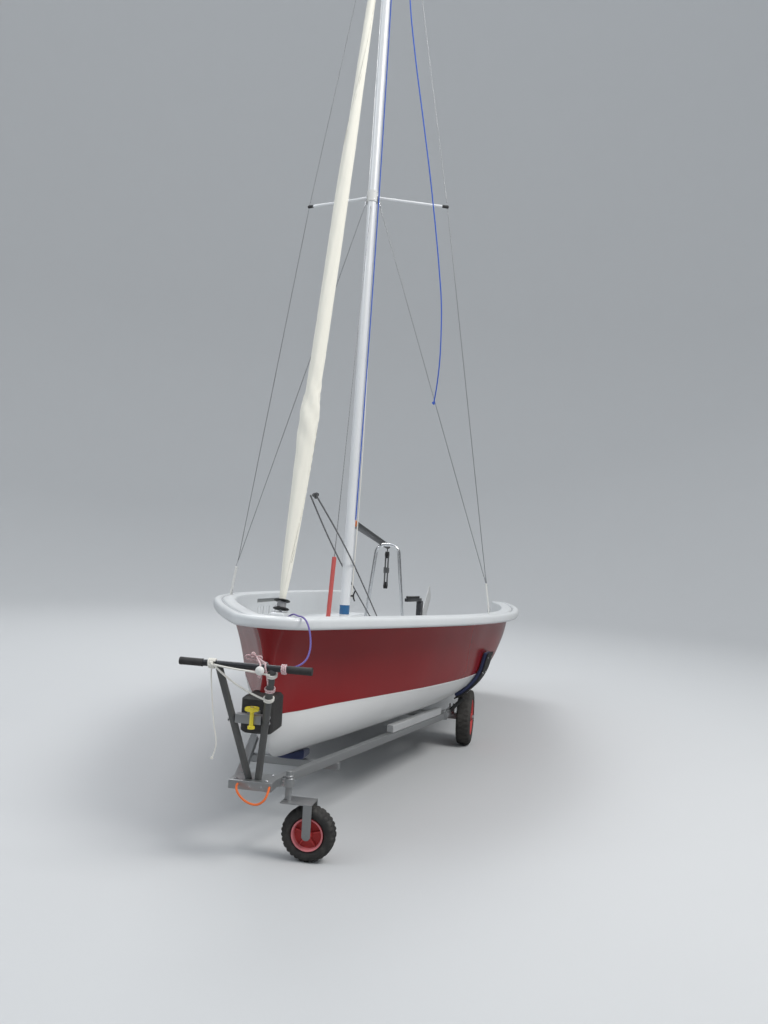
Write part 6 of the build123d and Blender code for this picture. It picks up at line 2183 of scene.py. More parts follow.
@dataclass
class Wheel:
    """One wheel: treaded tyre and a ribbed plastic rim with its hub."""

    name: str
    centre: tuple
    body: str
    axis: tuple
    radius: float
    width: float
    bead: float
    hub: float
    hub_length: float
    bore: float
    shoulder: float = 0.026
    blocks: int = 36
    edge: float = 0.0
    spokes: int = 6

    def tyre_profile(self) -> Array:
        """The tyre's section from bead to bead.

        Returns:
            Pairs (radius, distance along the axle).
        """
        half, r, b = self.width / 2, self.radius, self.bead
        s = self.shoulder
        points = [(b, half * 0.62), (b + 0.004, half * 0.8), (b + 0.01, half * 0.94),
            (b + (r - b) * 0.45, half), (r - s, half * 0.985)]
        for angle in np.radians((18, 36, 54, 72)):
            points.append((r - s * (1 - sin(angle)), half * 0.985 - s * (1 - cos(angle))))
        points += [(r - 0.0012, half - s - 0.004), (r - 0.0002, half * 0.3), (r, 0.0)]
        points = np.array(points)
        return np.vstack((points, (points * (1, -1))[::-1][1:]))

    def tread(self, angle: Array, index: Array, profile: Array) -> Array:
        """Depth cut into the tread: rounded blocks in two staggered rows and a centre groove.

        Args:
            angle: angles round the axle.
            index: indices of the profile's points.
            profile: pairs (radius, distance along the axle).

        Returns:
            What is added to the radius, zero or less.
        """
        along = profile[index, 1]
        share = np.clip((profile[index, 0] - (self.radius - 0.02)) / 0.014, 0, 1)
        wave = np.cos(self.blocks * angle + np.where(along > 0, 0.0, pi))
        cut = smooth(0.35, 0.75, wave)
        centre = np.exp(-((np.abs(along) - 0.01) / 0.0022) ** 2)
        return -0.0048 * share * np.maximum(cut, 0.8 * centre)

    def build(self) -> None:
        """Makes the tyre and the rim."""
        axis = np.array(self.axis, float)
        centre = place(*self.centre)
        profile = self.tyre_profile()
        fine = resample(profile, 26)
        mesh = Mesh()
        lathe(mesh, fine, centre, axis, 96, lambda a, i: self.tread(a, i, fine))
        mesh.build(f"{self.name}_tyre_tread", TYRE, self.body, replaces=f"{self.name}_tyre")
        self.rim(centre, axis)

    def rim(self, centre: Array, axis: Array) -> None:
        """Rim: seat for the tyre, dished web with raised ribs, and the hub.

        Args:
            centre: the wheel's middle.
            axis: its axle's direction.
        """
        half, b, h = self.width / 2, self.bead, self.hub
        hub_half = self.hub_length / 2
        profile = [(self.bore, -hub_half), (h * 0.86, -hub_half), (h, -hub_half + 0.002),
            (h * 1.04, -0.012), (h * 1.25, -0.0075), (b * 0.7, -0.0055), (b * 0.8, -0.01),
            (b * 0.86, -half * 0.55), (b * 0.89, -half * 0.82), (b * 0.985, -half * 0.9),
            (b - 0.0004, -half * 0.84), (b - 0.0004, -half * 0.6), (b - 0.004, -half * 0.4),
            (b - 0.004, half * 0.4), (b - 0.0004, half * 0.6), (b - 0.0004, half * 0.84),
            (b * 0.985, half * 0.9), (b * 0.89, half * 0.82), (b * 0.86, half * 0.55),
            (b * 0.8, 0.01), (b * 0.7, 0.0055), (h * 1.25, 0.0075), (h * 1.04, 0.012),
            (h, hub_half - 0.002), (h * 0.86, hub_half), (self.bore, hub_half)]
        mesh = Mesh()
        profile.append(profile[0])
        lathe(mesh, profile, centre, axis, 72)
        side = np.cross(UP, axis)
        for index in range(self.spokes):
            a = 2 * pi * index / self.spokes + 0.3
            out = cos(a) * side + sin(a) * UP
            across = np.cross(axis, out)
            inner, outer = h * 1.0, b * 0.83
            middle = centre + out * (inner + outer) / 2
            for face in (1, -1):
                depth = min(hub_half, half * 0.62)
                rounded_block(mesh, middle + axis * face * depth * 0.42,
                    (outer - inner, 0.007, depth * 0.84), 0.0018, np.array((out, across, axis)))
        mesh.build(f"{self.name}_rim_moulding", RED, self.body, replaces=f"{self.name}_rim")
        # A thin pink band over the rim's outer lip, on both faces.
        if self.edge:
            pink_ring = Mesh()
            face = np.array([(b * 0.815, half * 0.22), (b * 0.86, half * 0.55),
                (b * 0.89, half * 0.82), (b * 0.985, half * 0.9), (b - 0.0006, half * 0.85)])
            skin = face + (0.0, self.edge)
            skin[:3, 0] -= self.edge
            ring = np.vstack((skin, (face - (0.0, 0.0008))[::-1], skin[:1]))
            lathe(pink_ring, ring, centre, axis, 72)
            lathe(pink_ring, ring, centre, -axis, 72)
            pink_ring.build(f"{self.name}_rim_pink_band", PINK, self.body)
        bush = Mesh()
        for face in (1, -1):
            lathe(bush, ((self.bore, hub_half - 0.001), (self.bore + 0.006, hub_half - 0.001),
                (self.bore + 0.006, hub_half + 0.0008), (self.bore + 0.0002, hub_half + 0.0008)),
                centre, axis * face, 28)
        bush.build(f"{self.name}_bushes", BLACK, self.body)


@dataclass
class Jockey:
    """Clamp on the nose and the swivelling fork of the jockey wheel."""

    aft: float = 0.052
    port: float = 0.14
    hub_port: float = 0.245
    hub_height: float = 0.124

    def build(self) -> None:
        """Makes the clamp and the fork."""
        clamp = Mesh()
        rounded_block(clamp, place(self.aft, 0.1045, CLAMP_HEIGHT), (0.0476, 0.0086, 0.0396), 0.002)
        lathe(clamp, mirrored(15.2, -19.8, 24, -19.8, 25.2, -18.6),
            place(self.aft, self.port, CLAMP_HEIGHT), UP, 36)
        for side in (1, -1):
            rounded_block(clamp, place(self.aft + side * 0.019, 0.123, CLAMP_HEIGHT),
                (0.007, 0.034, 0.039), 0.0015)
        clamp.build("jockey_bracket", ZINC, replaces="jockey_clamp")
        pins = Mesh()
        for up in (-0.01, 0.01):
            bolt(pins, place(self.aft - 0.0225, 0.12, CLAMP_HEIGHT + up), (1, 0, 0), 0.0048, 0.004)
        pins.build("jockey_bracket_bolts", STEEL)
        fork = Mesh()
        lathe(fork, mm(0, 0, 15, 0, 15, 132, 14, 133.5, 0, 134), place(self.aft, self.port, 0.258),
            UP, 32)
        lathe(fork, mm(15, 0, 21, 0, 22, 1, 22, 9, 21, 10, 15, 10),
            place(self.aft, self.port, 0.3624), UP, 36)
        width = self.hub_port - self.port + 0.042
        rounded_block(fork, place(self.aft, (self.port + self.hub_port) / 2 - 0.001, 0.261),
            (0.115, width, 0.0058), 0.0018)
        outline = [(-0.02, 0.2625), (-0.02, self.hub_height)]
        outline += [(0.02 * cos(t), self.hub_height + 0.02 * sin(t))
            for t in np.linspace(pi, 2 * pi, 13)]
        outline = np.array([*outline, (0.02, 0.2625)])
        for side in (1, -1):
            rows = []
            for x, shrink in ((0.0516, 0.0012), (0.0525, 0.0), (0.0566, 0.0), (0.0574, 0.0012)):
                ring = outline * (1 - shrink / 0.02, 1.0)
                ring[:, 1] += shrink * (ring[:, 1] < self.hub_height)
                rows.append(place(self.aft - side * x, self.hub_port + ring[:, 0], ring[:, 1]))
            fork.closed(rows)
            lathe(fork, mm(0, 0, 13.2, 0, 13.2, 1.2, 7.8, 1.6, 7.8, 3.6, 0, 3.8),
                place(self.aft - side * 0.0574, self.hub_port, self.hub_height), (side, 0, 0), 6)
        lathe(fork, mm(8, -57.3, 8, 57.3), place(self.aft, self.hub_port, self.hub_height),
            (1, 0, 0), 24)
        fork.build("jockey_fork_frame", ZINC, "jockey_fork", replaces="jockey_fork")


def hull_foot(aft: float, port: Array) -> Array:
    """Height of the skin's underside over points of one section."""
    line = hull_contour(aft)
    return np.interp(np.abs(port), line[:, 0], line[:, 1])


def skin_offset(aft: float, low: float, high: float, gap: Array, count: int) -> Array:
    """Points of a section line, set out from the skin, between two heights on the skin.

    Args:
        aft: the section's distance aft.
        low: lowest height on the skin.
        high: highest height.
        gap: distance out from the skin, one or one a point.
        count: how many points.

    Returns:
        Points (port, up).
    """
    line = hull_contour(aft)
    keep = resample(line[(line[:, 1] > 0.2) & (line[:, 1] < 0.82)], 400)
    step = np.gradient(keep, axis=0)
    step /= np.linalg.norm(step, axis=1)[:, None]
    out = np.stack((step[:, 1], -step[:, 0]), -1)
    i0, i1 = np.interp((low, high), keep[:, 1], np.arange(400))
    pick = np.linspace(i0, i1, count)
    index = np.arange(400)
    point = np.stack([np.interp(pick, index, keep[:, k]) for k in (0, 1)], -1)
    away = np.stack([np.interp(pick, index, out[:, k]) for k in (0, 1)], -1)
    return point + away * np.asarray(gap, float)[..., None]


@dataclass
class Rests:
    """Padded keel rest and bilge pads, their straps and posts, and the rubber bow rest."""

    aft: float = 2.42
    width: float = 0.12
    thick: float = 0.032
    low: float = 0.398
    high: float = 0.69

    def keel_pad(self) -> None:
        """Crowned pad under the keel: full in the middle, drawn in along its edges and seams."""
        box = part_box("keel_pad")
        half_x, half_y = (box[1][0] - box[0][0]) / 2, (box[1][1] - box[0][1]) / 2
        centre = BOW - (box[0][0] + box[1][0]) / 2
        foot = box[0][2] + 0.001
        count = 41
        s = np.sin(np.linspace(-1, 1, count) * pi / 2)
        su, sv = np.meshgrid(s, s, indexing="ij")
        edge = (1 - np.abs(su) ** 6) * (1 - np.abs(sv) ** 6)
        fill = np.clip(edge, 0, 1) ** 0.35
        seam = 0.0016 * np.exp(-(np.sin(3 * pi * sv / 2 + pi / 2) / 0.1) ** 2)
        skin = np.array([hull_foot(centre + u * half_x, s * half_y) for u in s]) - 0.0012
        middle = (skin + foot) / 2
        top = middle + (skin - middle) * (0.25 + 0.75 * fill) - seam * (fill < 0.99)
        bottom = middle + (foot - middle) * (0.35 + 0.65 * fill)
        x, y = su * half_x * 0.995, sv * half_y * (0.985 + 0.012 * (1 - su**2))
        upper = place(centre + x, y, top)
        lower = place(centre + x, y, bottom)
        mesh = Mesh()
        mesh.grid(upper, turn=True)
        mesh.grid(lower)
        for line_up, line_low in ((upper[0], lower[0]), (upper[-1], lower[-1]),
                (upper[:, 0], lower[:, 0]), (upper[:, -1], lower[:, -1])):
            mesh.grid([line_up * (1 - t) + line_low * t for t in np.linspace(0, 1, 7)])
        obj = mesh.build("keel_rest_pad", NAVY, replaces="keel_pad", weld=0.0003)

    def bilge_pads(self) -> None:
        """Padded bilge rests with sewn channels across them."""
        count, stations = 90, 25
        t = np.linspace(0, 1, count)
        puff = 0.0035 * np.abs(np.sin(5 * pi * t)) ** 0.5
        end = np.clip(np.minimum(t, 1 - t) / 0.035, 0, 1)
        end = np.sqrt(1 - (1 - end) ** 2)
        half = self.width / 2 - 0.0015
        rows, afts = [], []
        for s in np.sin(np.linspace(-1, 1, stations) * pi / 2):
            side = sqrt(max(1 - s**8, 0))
            middle = self.thick * 0.5
            out = middle + (self.thick - 0.004 + puff * side - middle) * side * end
            into = middle - (middle - 0.0012) * side * end
            a = self.aft + s * half
            outer = skin_offset(a, self.low, self.high, out, count)
            inner = skin_offset(a, self.low, self.high, into, count)
            rows.append(np.concatenate((inner, outer[::-1])))
            afts.append(a)
        points = np.array(rows)
        mesh = Mesh()
        mesh.closed(place(np.array(afts)[:, None], points[..., 0], points[..., 1]))
        obj = mesh.both_sides().build("bilge_rest_pads", NAVY, replaces="cradle_pads", weld=0.0003)

    def straps(self) -> None:
        """Steel strap behind each pad, the post it stands on, and its bolts."""
        count = 60
        mesh, bolts = Mesh(), Mesh()
        rows, afts = [], []
        for s, cut in ((-1, 0.0012), (-0.985, 0.0), (0.985, 0.0), (1, 0.0012)):
            a = self.aft + s * self.width / 2
            inner = skin_offset(a, self.low - 0.004, self.high + 0.004,
                np.full(count, self.thick + 0.0004 + cut), count)
            outer = skin_offset(a, self.low - 0.004, self.high + 0.004,
                np.full(count, self.thick + 0.0074 - cut), count)
            rows.append(np.concatenate((inner, outer[::-1])))
            afts.append(a)
        points = np.array(rows)
        mesh.closed(place(np.array(afts)[:, None], points[..., 0], points[..., 1]))
        tube(mesh, [place(self.aft, 0.614, 0.268), place(self.aft, 0.7, 0.362)], 0.0128, 24)
        mesh.both_sides().build("bilge_rest_straps", BLACK, replaces="cradle_arms")
        for level in (0.44, 0.56, 0.66):
            for shift in (-0.042, 0.042):
                spot = skin_offset(self.aft + shift, level, level + 0.002,
                    np.full(2, self.thick + 0.0072), 2)
                ahead = skin_offset(self.aft + shift, level, level + 0.002,
                    np.full(2, self.thick + 0.02), 2)
                way = place(0, *(ahead[0] - spot[0])) - place(0, 0, 0)
                bolt(bolts, place(self.aft + shift, *spot[0]), way, 0.0055, 0.004)
        bolts.both_sides().build("bilge_rest_bolts", STEEL)

    def bow_rest(self) -> None:
        """Rubber block notched to the stem: its back is cut by the hull's skin."""
        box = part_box("bow_snubber")
        low, high = box[0][2] + 0.0005, box[1][2] - 0.0005
        half = box[1][1] - 0.0005
        front, back = BOW - box[1][0] + 0.0005, BOW - box[0][0] - 0.0005
        rows = []
        edge = 0.012
        for z in low + (high - low) * np.linspace(0, 1, 15):
            inset = edge - sqrt(max(edge**2 - max(edge - (z - low), edge - (high - z), 0) ** 2, 0))
            outline = []
            h, f = half - inset, front + inset
            for angle in np.linspace(0, 90, 6):
                r = radians(angle)
                outline.append((f + 0.02 - 0.02 * sin(r), h - 0.02 + 0.02 * cos(r)))
            outline = outline[::-1]
            stem = []
            for a in np.linspace(0.0, 1.0, 26):
                aft = 0.012 + (back - 0.012) * a
                line = hull_contour(max(aft, 0.0901))
                y = float(np.interp(z, line[:, 1], line[:, 0])) + 0.0008
                if aft < 0.09:
                    full = 0.8 * y
                    share = np.clip((0.09 - aft) / max(full, 1e-6), 0, 1)
                    y = y * sqrt(max(1 - share**2, 0)) if (0.09 - aft) < full else 0.0
                stem.append((aft, max(y, 0.0)))
            side = [(f + 0.02 + (back - 0.008 - f - 0.02) * s, h) for s in np.linspace(0.05, 1, 8)]
            corner = [(back - 0.004, h - 0.002), (back, h - 0.008)]
            ring = [(f, 0.0), (f, (h - 0.02) * 0.5)] + outline + side + corner
            inner = [(min(a, back), min(y, h - 0.009)) for a, y in stem[::-1]]
            start = next((i for i, p in enumerate(inner) if p[1] <= 0), len(inner) - 1)
            tip = inner[start][0]
            inner = [(a if y > 0 else tip, y) for a, y in inner]
            rows.append(place(*(np.array(ring + inner).T), z))
        points = np.array(rows)
        mesh = Mesh()
        mesh.grid(points)
        ring_cells = 2 + 6 + 8 + 2
        for level, turn in ((0, True), (-1, False)):
            outer = resample(points[level][:ring_cells], 26)
            mesh.grid([outer, points[level][ring_cells:][::-1]], turn=turn)
        mesh.both_sides().build("bow_rest_block", RUBBER, replaces="bow_snubber", weld=0.0002)

    def build(self) -> None:
        """Makes the rests."""
        self.keel_pad()
        self.bilge_pads()
        self.straps()
        self.bow_rest()


@dataclass
class Centrecase:
    """Centreboard case with its rounded cap, the mast step and the shackles of the shrouds."""

    middle: float = 2.54
    half_length: float = 0.45
    half_width: float = 0.035
    slot_half: float = 0.4175
    slot_width: float = 0.016
    bottom: float = 0.503
    top: float = 0.7298
    shackle_hole: tuple = (0.73649, 0.8617, 0.99149)

    def build(self) -> None:
        """Makes the pieces that stand in the boat's middle."""
        case = Mesh()
        low, high = self.bottom, self.top
        rows = []
        for z, inset in ((low, 0.0), (0.56, 0.0), (0.66, 0.0), (high - 0.012, 0.0),
                (high - 0.0045, 0.0025), (high - 0.0012, 0.007), (high, 0.013)):
            rows.append(self.capsule(self.half_length - inset, self.half_width - inset, z))
        rows += [self.capsule(self.slot_half, self.slot_width, z) for z in (high, high - 0.03, low)]
        case.grid(rows, wrap=True)
        case.build("centreboard_case_shell", DECK_GEL, replaces="centreboard_case")
        pin = Mesh()
        for side in (1, -1):
            bolt(pin, place(2.21, side * 0.035, 0.64), (0, side, 0), 0.009, 0.005)
        pin.build("centreboard_pin_heads", STEEL)
        step = Mesh()
        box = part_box("mast_step")
        centre = (np.array(box[0]) + np.array(box[1])) / 2
        size = np.array(box[1]) - np.array(box[0]) - 0.0004
        outline = rounded_rectangle(size[0], size[1], 0.018, 6)
        rows = [centre + np.column_stack((outline * k, np.full(len(outline), z))) for k,
            z in ((1.0, -size[2] / 2), (1.0, size[2] * 0.3), (0.985, size[2] * 0.44),
            (0.95, size[2] / 2), (0.86, size[2] / 2))]
        step.closed(rows)
        step.build("mast_step_block", DARK_SPAR, replaces="mast_step")
        bolts = Mesh()
        for dx in (-0.05, 0.05):
            for dy in (-0.032, 0.032):
                bolt(bolts, centre + (dx, dy, size[2] / 2 - 0.0006), UP, 0.0045, 0.003)
        bolts.build("mast_step_bolts", STEEL)
        self.chainplates()

    def capsule(self, half: float, radius: float, z: float) -> Array:
        """Closed outline with round ends in the plan, at a height.

        Args:
            half: half of its length.
            radius: of its ends.
            z: the height.

        Returns:
            Points (n, 3).
        """
        a = np.linspace(-pi / 2, pi / 2, 14)
        back = np.stack((self.middle + half - radius + radius * np.cos(a), radius * np.sin(a)), -1)
        front = np.stack((self.middle - half + radius - radius * np.cos(a), -radius * np.sin(a)),
            -1)
        line = np.vstack((back, front))
        return place(line[:, 0], line[:, 1], z)

    def chainplates(self) -> None:
        """Shackles at the feet of the shrouds: a bow of round rod and its pin."""
        mesh = Mesh()
        hole = np.array(self.shackle_hole)
        arc = [hole + (0.0, 0.0085 * cos(r), 0.011 + 0.0085 * sin(r))
            for r in np.radians(np.linspace(-60, 240, 22))]
        arc = [hole + (0, 0.0075, -0.001)] + arc[1:-1] + [hole + (0, -0.0075, -0.001)]
        mesh.rod(arc, 0.0017, 8)
        lathe(mesh, mm(0, -10.5, 3.2, -10.3, 3.4, -8.2, 2.1, -8, 2.1, 8, 3.4, 8.2, 3.4, 9.8, 0,
            10.2), hole, PORT, 14)
        mesh.both_sides().build("shroud_shackles", STEEL)


@dataclass(frozen=True)
class Cord:
    """One free rope: its route, size, ends and finish."""

    name: str
    route: tuple
    diameter: float
    finish: Finish
    replaces: str
    far_end: str
    stiffness: str
    lay: str

    def build(self, with_pieces: tuple | list = ()) -> bpy.types.Object:
        """Args:
            with_pieces: pieces that belong to the rope, such as its knots; not used.

        Returns:
            The Blender object.
        """
        path = spline_points(self.name, self.route)
        length = float(np.linalg.norm(np.diff(path, axis=0), axis=1).sum())
        path = resample(path, max(int(length / (self.diameter * 0.55)), 24))
        mesh = Mesh()
        rows = swept(path, circle(self.diameter / 2, 14))
        mesh.closed(rows)
        obj = mesh.build(self.name, self.finish, replaces=self.replaces, weld=0.0)
        return obj


def spline_points(name: str, route: tuple) -> Array:
    """Points read from the NURBS spline that has a route's points as its control points.

    Args:
        name: the spline's name.
        route: its control points.

    Returns:
        Points (n, 3).
    """
    curve = bpy.data.curves.new(f"{name}_line", "CURVE")
    curve.dimensions = "3D"
    curve.resolution_u = 24
    strand = curve.splines.new("NURBS")
    strand.points.add(len(route) - 1)
    for point, spot in zip(strand.points, place(*np.array(route).T)):
        point.co = (*spot, 1.0)
    strand.order_u = 3
    strand.use_endpoint_u = True
    holder = bpy.data.objects.new(f"{name}_line", curve)
    bpy.context.scene.collection.objects.link(holder)
    bpy.context.view_layer.update()
    mesh = bpy.data.meshes.new_from_object(holder)
    points = np.array([v.co for v in mesh.vertices], float)
    bpy.data.objects.remove(holder)
    bpy.data.meshes.remove(mesh)
    bpy.data.curves.remove(curve)
    return points


def knot(mesh: Mesh, centre: Array, size: float, rope: float, turn: float = 0.0,
        count: int = 90) -> Mesh:
    """Adds a tied knot: a tube of the rope's radius along a trefoil.

    The line is x = sin t + 2 sin 2t, y = cos t - 2 cos 2t, z = -1.6 sin 3t, scaled to the size.

    Args:
        mesh: the mesh that it is added to.
        centre: the knot's middle.
        size: its radius.
        rope: the rope's radius.
        turn: angle that it is turned by.
        count: points along it.

    Returns:
        The mesh.
    """
    t = np.linspace(0, ROUND, count)
    line = np.stack((np.sin(t) + 2 * np.sin(2 * t), np.cos(t) - 2 * np.cos(2 * t), -1.6
        * np.sin(3 * t)), -1)
    line *= (size - rope) / 3.1
    c, s = cos(turn), sin(turn)
    line = np.stack((line[:, 2], c * line[:, 0] - s * line[:, 1], s * line[:, 0] + c * line[:, 1]),
        -1)
    return mesh.rod(line + centre, rope, 10)


def turns(mesh: Mesh, centre: Array, axis: Array, radius: float, rope: float, pitch: float,
        count: float, start: float = 0.0) -> Mesh:
    """Adds rope wound round a bar: a helix with a tube of the rope's radius on it.

    The helix goes one pitch along the bar in each turn, at the bar's radius plus the rope's.

    Args:
        mesh: the mesh that it is added to.
        centre: the winding's middle.
        axis: the bar's direction.
        radius: the bar's radius.
        rope: the rope's radius.
        pitch: distance from turn to turn.
        count: how many turns.
        start: angle of the first point.

    Returns:
        The mesh.
    """
    axis = np.asarray(axis, float) / np.linalg.norm(axis)
    helper = UP if abs(axis[2]) < 0.9 else np.array((1.0, 0, 0))
    u = np.cross(helper, axis)
    u /= np.linalg.norm(u)
    v = np.cross(axis, u)
    t = np.linspace(0, 2 * pi * count, int(26 * count))
    along = pitch * (t / (2 * pi) - count / 2)
    spin = np.cos(t + start)[:, None] * u + np.sin(t + start)[:, None] * v
    line = np.asarray(centre, float) + along[:, None] * axis + (radius + rope) * spin
    return mesh.rod(line, rope, 10)


ROPE_BLUE = rope_finish("rope_blue", (0.01, 0.045, 0.07), (0.004, 0.017, 0.03), 0.016)
ROPE_PURPLE = rope_finish("rope_purple", (0.17, 0.12, 0.42), (0.06, 0.04, 0.2), 0.018)
ROPE_WHITE = rope_finish("rope_white", (0.66, 0.63, 0.56), (0.34, 0.31, 0.26), 0.014)
ROPE_PINK = rope_finish("rope_pink_fleck", (0.72, 0.6, 0.6), (0.48, 0.14, 0.18), 0.018)
ROPE_ORANGE = rope_finish("rope_orange", (0.33, 0.02, 0.01), (0.22, 0.02, 0.012), 0.02)
ROPE_DARK = rope_finish("rope_dark", (0.05, 0.055, 0.06), (0.16, 0.16, 0.16), 0.016)

# Control points of the four ropes: aft, port, up.
BOW_LINE = ((0.242, 0.034, 1.06), (0.222, 0.056, 1.074), (0.176, 0.084, 1.086),
    (0.112, 0.118, 1.085), (0.05, 0.166, 1.088), (0.004, 0.2, 1.06), (-0.048, 0.226, 1.016),
    (-0.104, 0.243, 0.97), (-0.158, 0.243, 0.93), (-0.2, 0.222, 0.908), (-0.22, 0.192, 0.899),
    (-0.23, 0.168, 0.897),)
HANDLE_TAIL = ((-0.25, -0.15, 0.884), (-0.253, -0.149, 0.856), (-0.259, -0.143, 0.806),
    (-0.262, -0.134, 0.748), (-0.261, -0.129, 0.69), (-0.264, -0.119, 0.634),
    (-0.262, -0.106, 0.58), (-0.259, -0.107, 0.534), (-0.262, -0.121, 0.496),)
STROP = ((-0.09, -0.056, 0.35), (-0.116, -0.054, 0.346), (-0.134, -0.042, 0.326),
    (-0.138, -0.016, 0.3), (-0.137, 0.016, 0.283), (-0.135, 0.052, 0.279), (-0.132, 0.082, 0.299),
    (-0.116, 0.093, 0.331), (-0.09, 0.09, 0.349),)
HALYARD = ((1.931, 0.029, 6.004), (1.912, 0.04, 5.992), (1.899, 0.05, 5.962), (1.887, 0.062, 5.905),
    (1.875, 0.079, 5.816), (1.864, 0.094, 5.712), (1.853, 0.104, 5.604), (1.841, 0.112, 5.494),
    (1.83, 0.119, 5.383), (1.819, 0.128, 5.271), (1.809, 0.138, 5.16), (1.799, 0.147, 5.048),
    (1.79, 0.157, 4.937), (1.782, 0.169, 4.826), (1.774, 0.183, 4.715), (1.768, 0.2, 4.605),
    (1.762, 0.219, 4.496), (1.757, 0.238, 4.386), (1.754, 0.258, 4.277), (1.75, 0.279, 4.168),
    (1.747, 0.3, 4.059), (1.745, 0.32, 3.95), (1.742, 0.34, 3.841), (1.741, 0.36, 3.732),
    (1.742, 0.379, 3.622), (1.743, 0.396, 3.513), (1.746, 0.414, 3.403), (1.75, 0.43, 3.294),
    (1.755, 0.446, 3.185), (1.761, 0.46, 3.076), (1.769, 0.474, 2.966), (1.777, 0.483, 2.857),
    (1.788, 0.486, 2.748), (1.802, 0.487, 2.642), (1.822, 0.484, 2.545), (1.846, 0.476, 2.462),
    (1.875, 0.467, 2.396), (1.903, 0.457, 2.345), (1.926, 0.447, 2.3),)


@dataclass
class Ropes:
    """The four free ropes with their knots."""

    def build(self) -> None:
        """Makes the knots, then the ropes that they belong to."""
        bow_knot = Mesh()
        turns(bow_knot, place(BAR_AFT, 0.171, BAR_HEIGHT), PORT, 0.0143, 0.0038, 0.008, 2.6, 0.5)
        knot(bow_knot, place(-0.2285, 0.169, 0.8972), 0.0128, 0.0035, 0.4)
        piece = bow_knot.build("bow_line_knot", ROPE_PINK, weld=0.0)
        Cord("bow_line_rope", BOW_LINE, 0.008, ROPE_PURPLE, "bow_line", "knot", "limp",
            "hanging").build([piece])
        tail_knot = Mesh()
        knot(tail_knot, place(-0.262, -0.121, 0.4975), 0.008, 0.0027, 1.0)
        piece = tail_knot.build("handle_tail_knot", ROPE_WHITE, weld=0.0)
        Cord("handle_tail_rope", HANDLE_TAIL, 0.006, ROPE_WHITE, "handle_tail", "knot", "limp",
            "hanging").build([piece])
        Cord("nose_strop_rope", STROP, 0.01, ROPE_ORANGE, "strop", "object", "medium",
            "hanging").build()
        halyard_knot = Mesh()
        knot(halyard_knot, place(*HALYARD[-1]), 0.012, 0.0038, 0.2)
        piece = halyard_knot.build("halyard_knot", ROPE_BLUE, weld=0.0)
        Cord("halyard_rope", HALYARD, 0.008, ROPE_BLUE, "halyard", "knot", "limp",
            "hanging").build([piece])


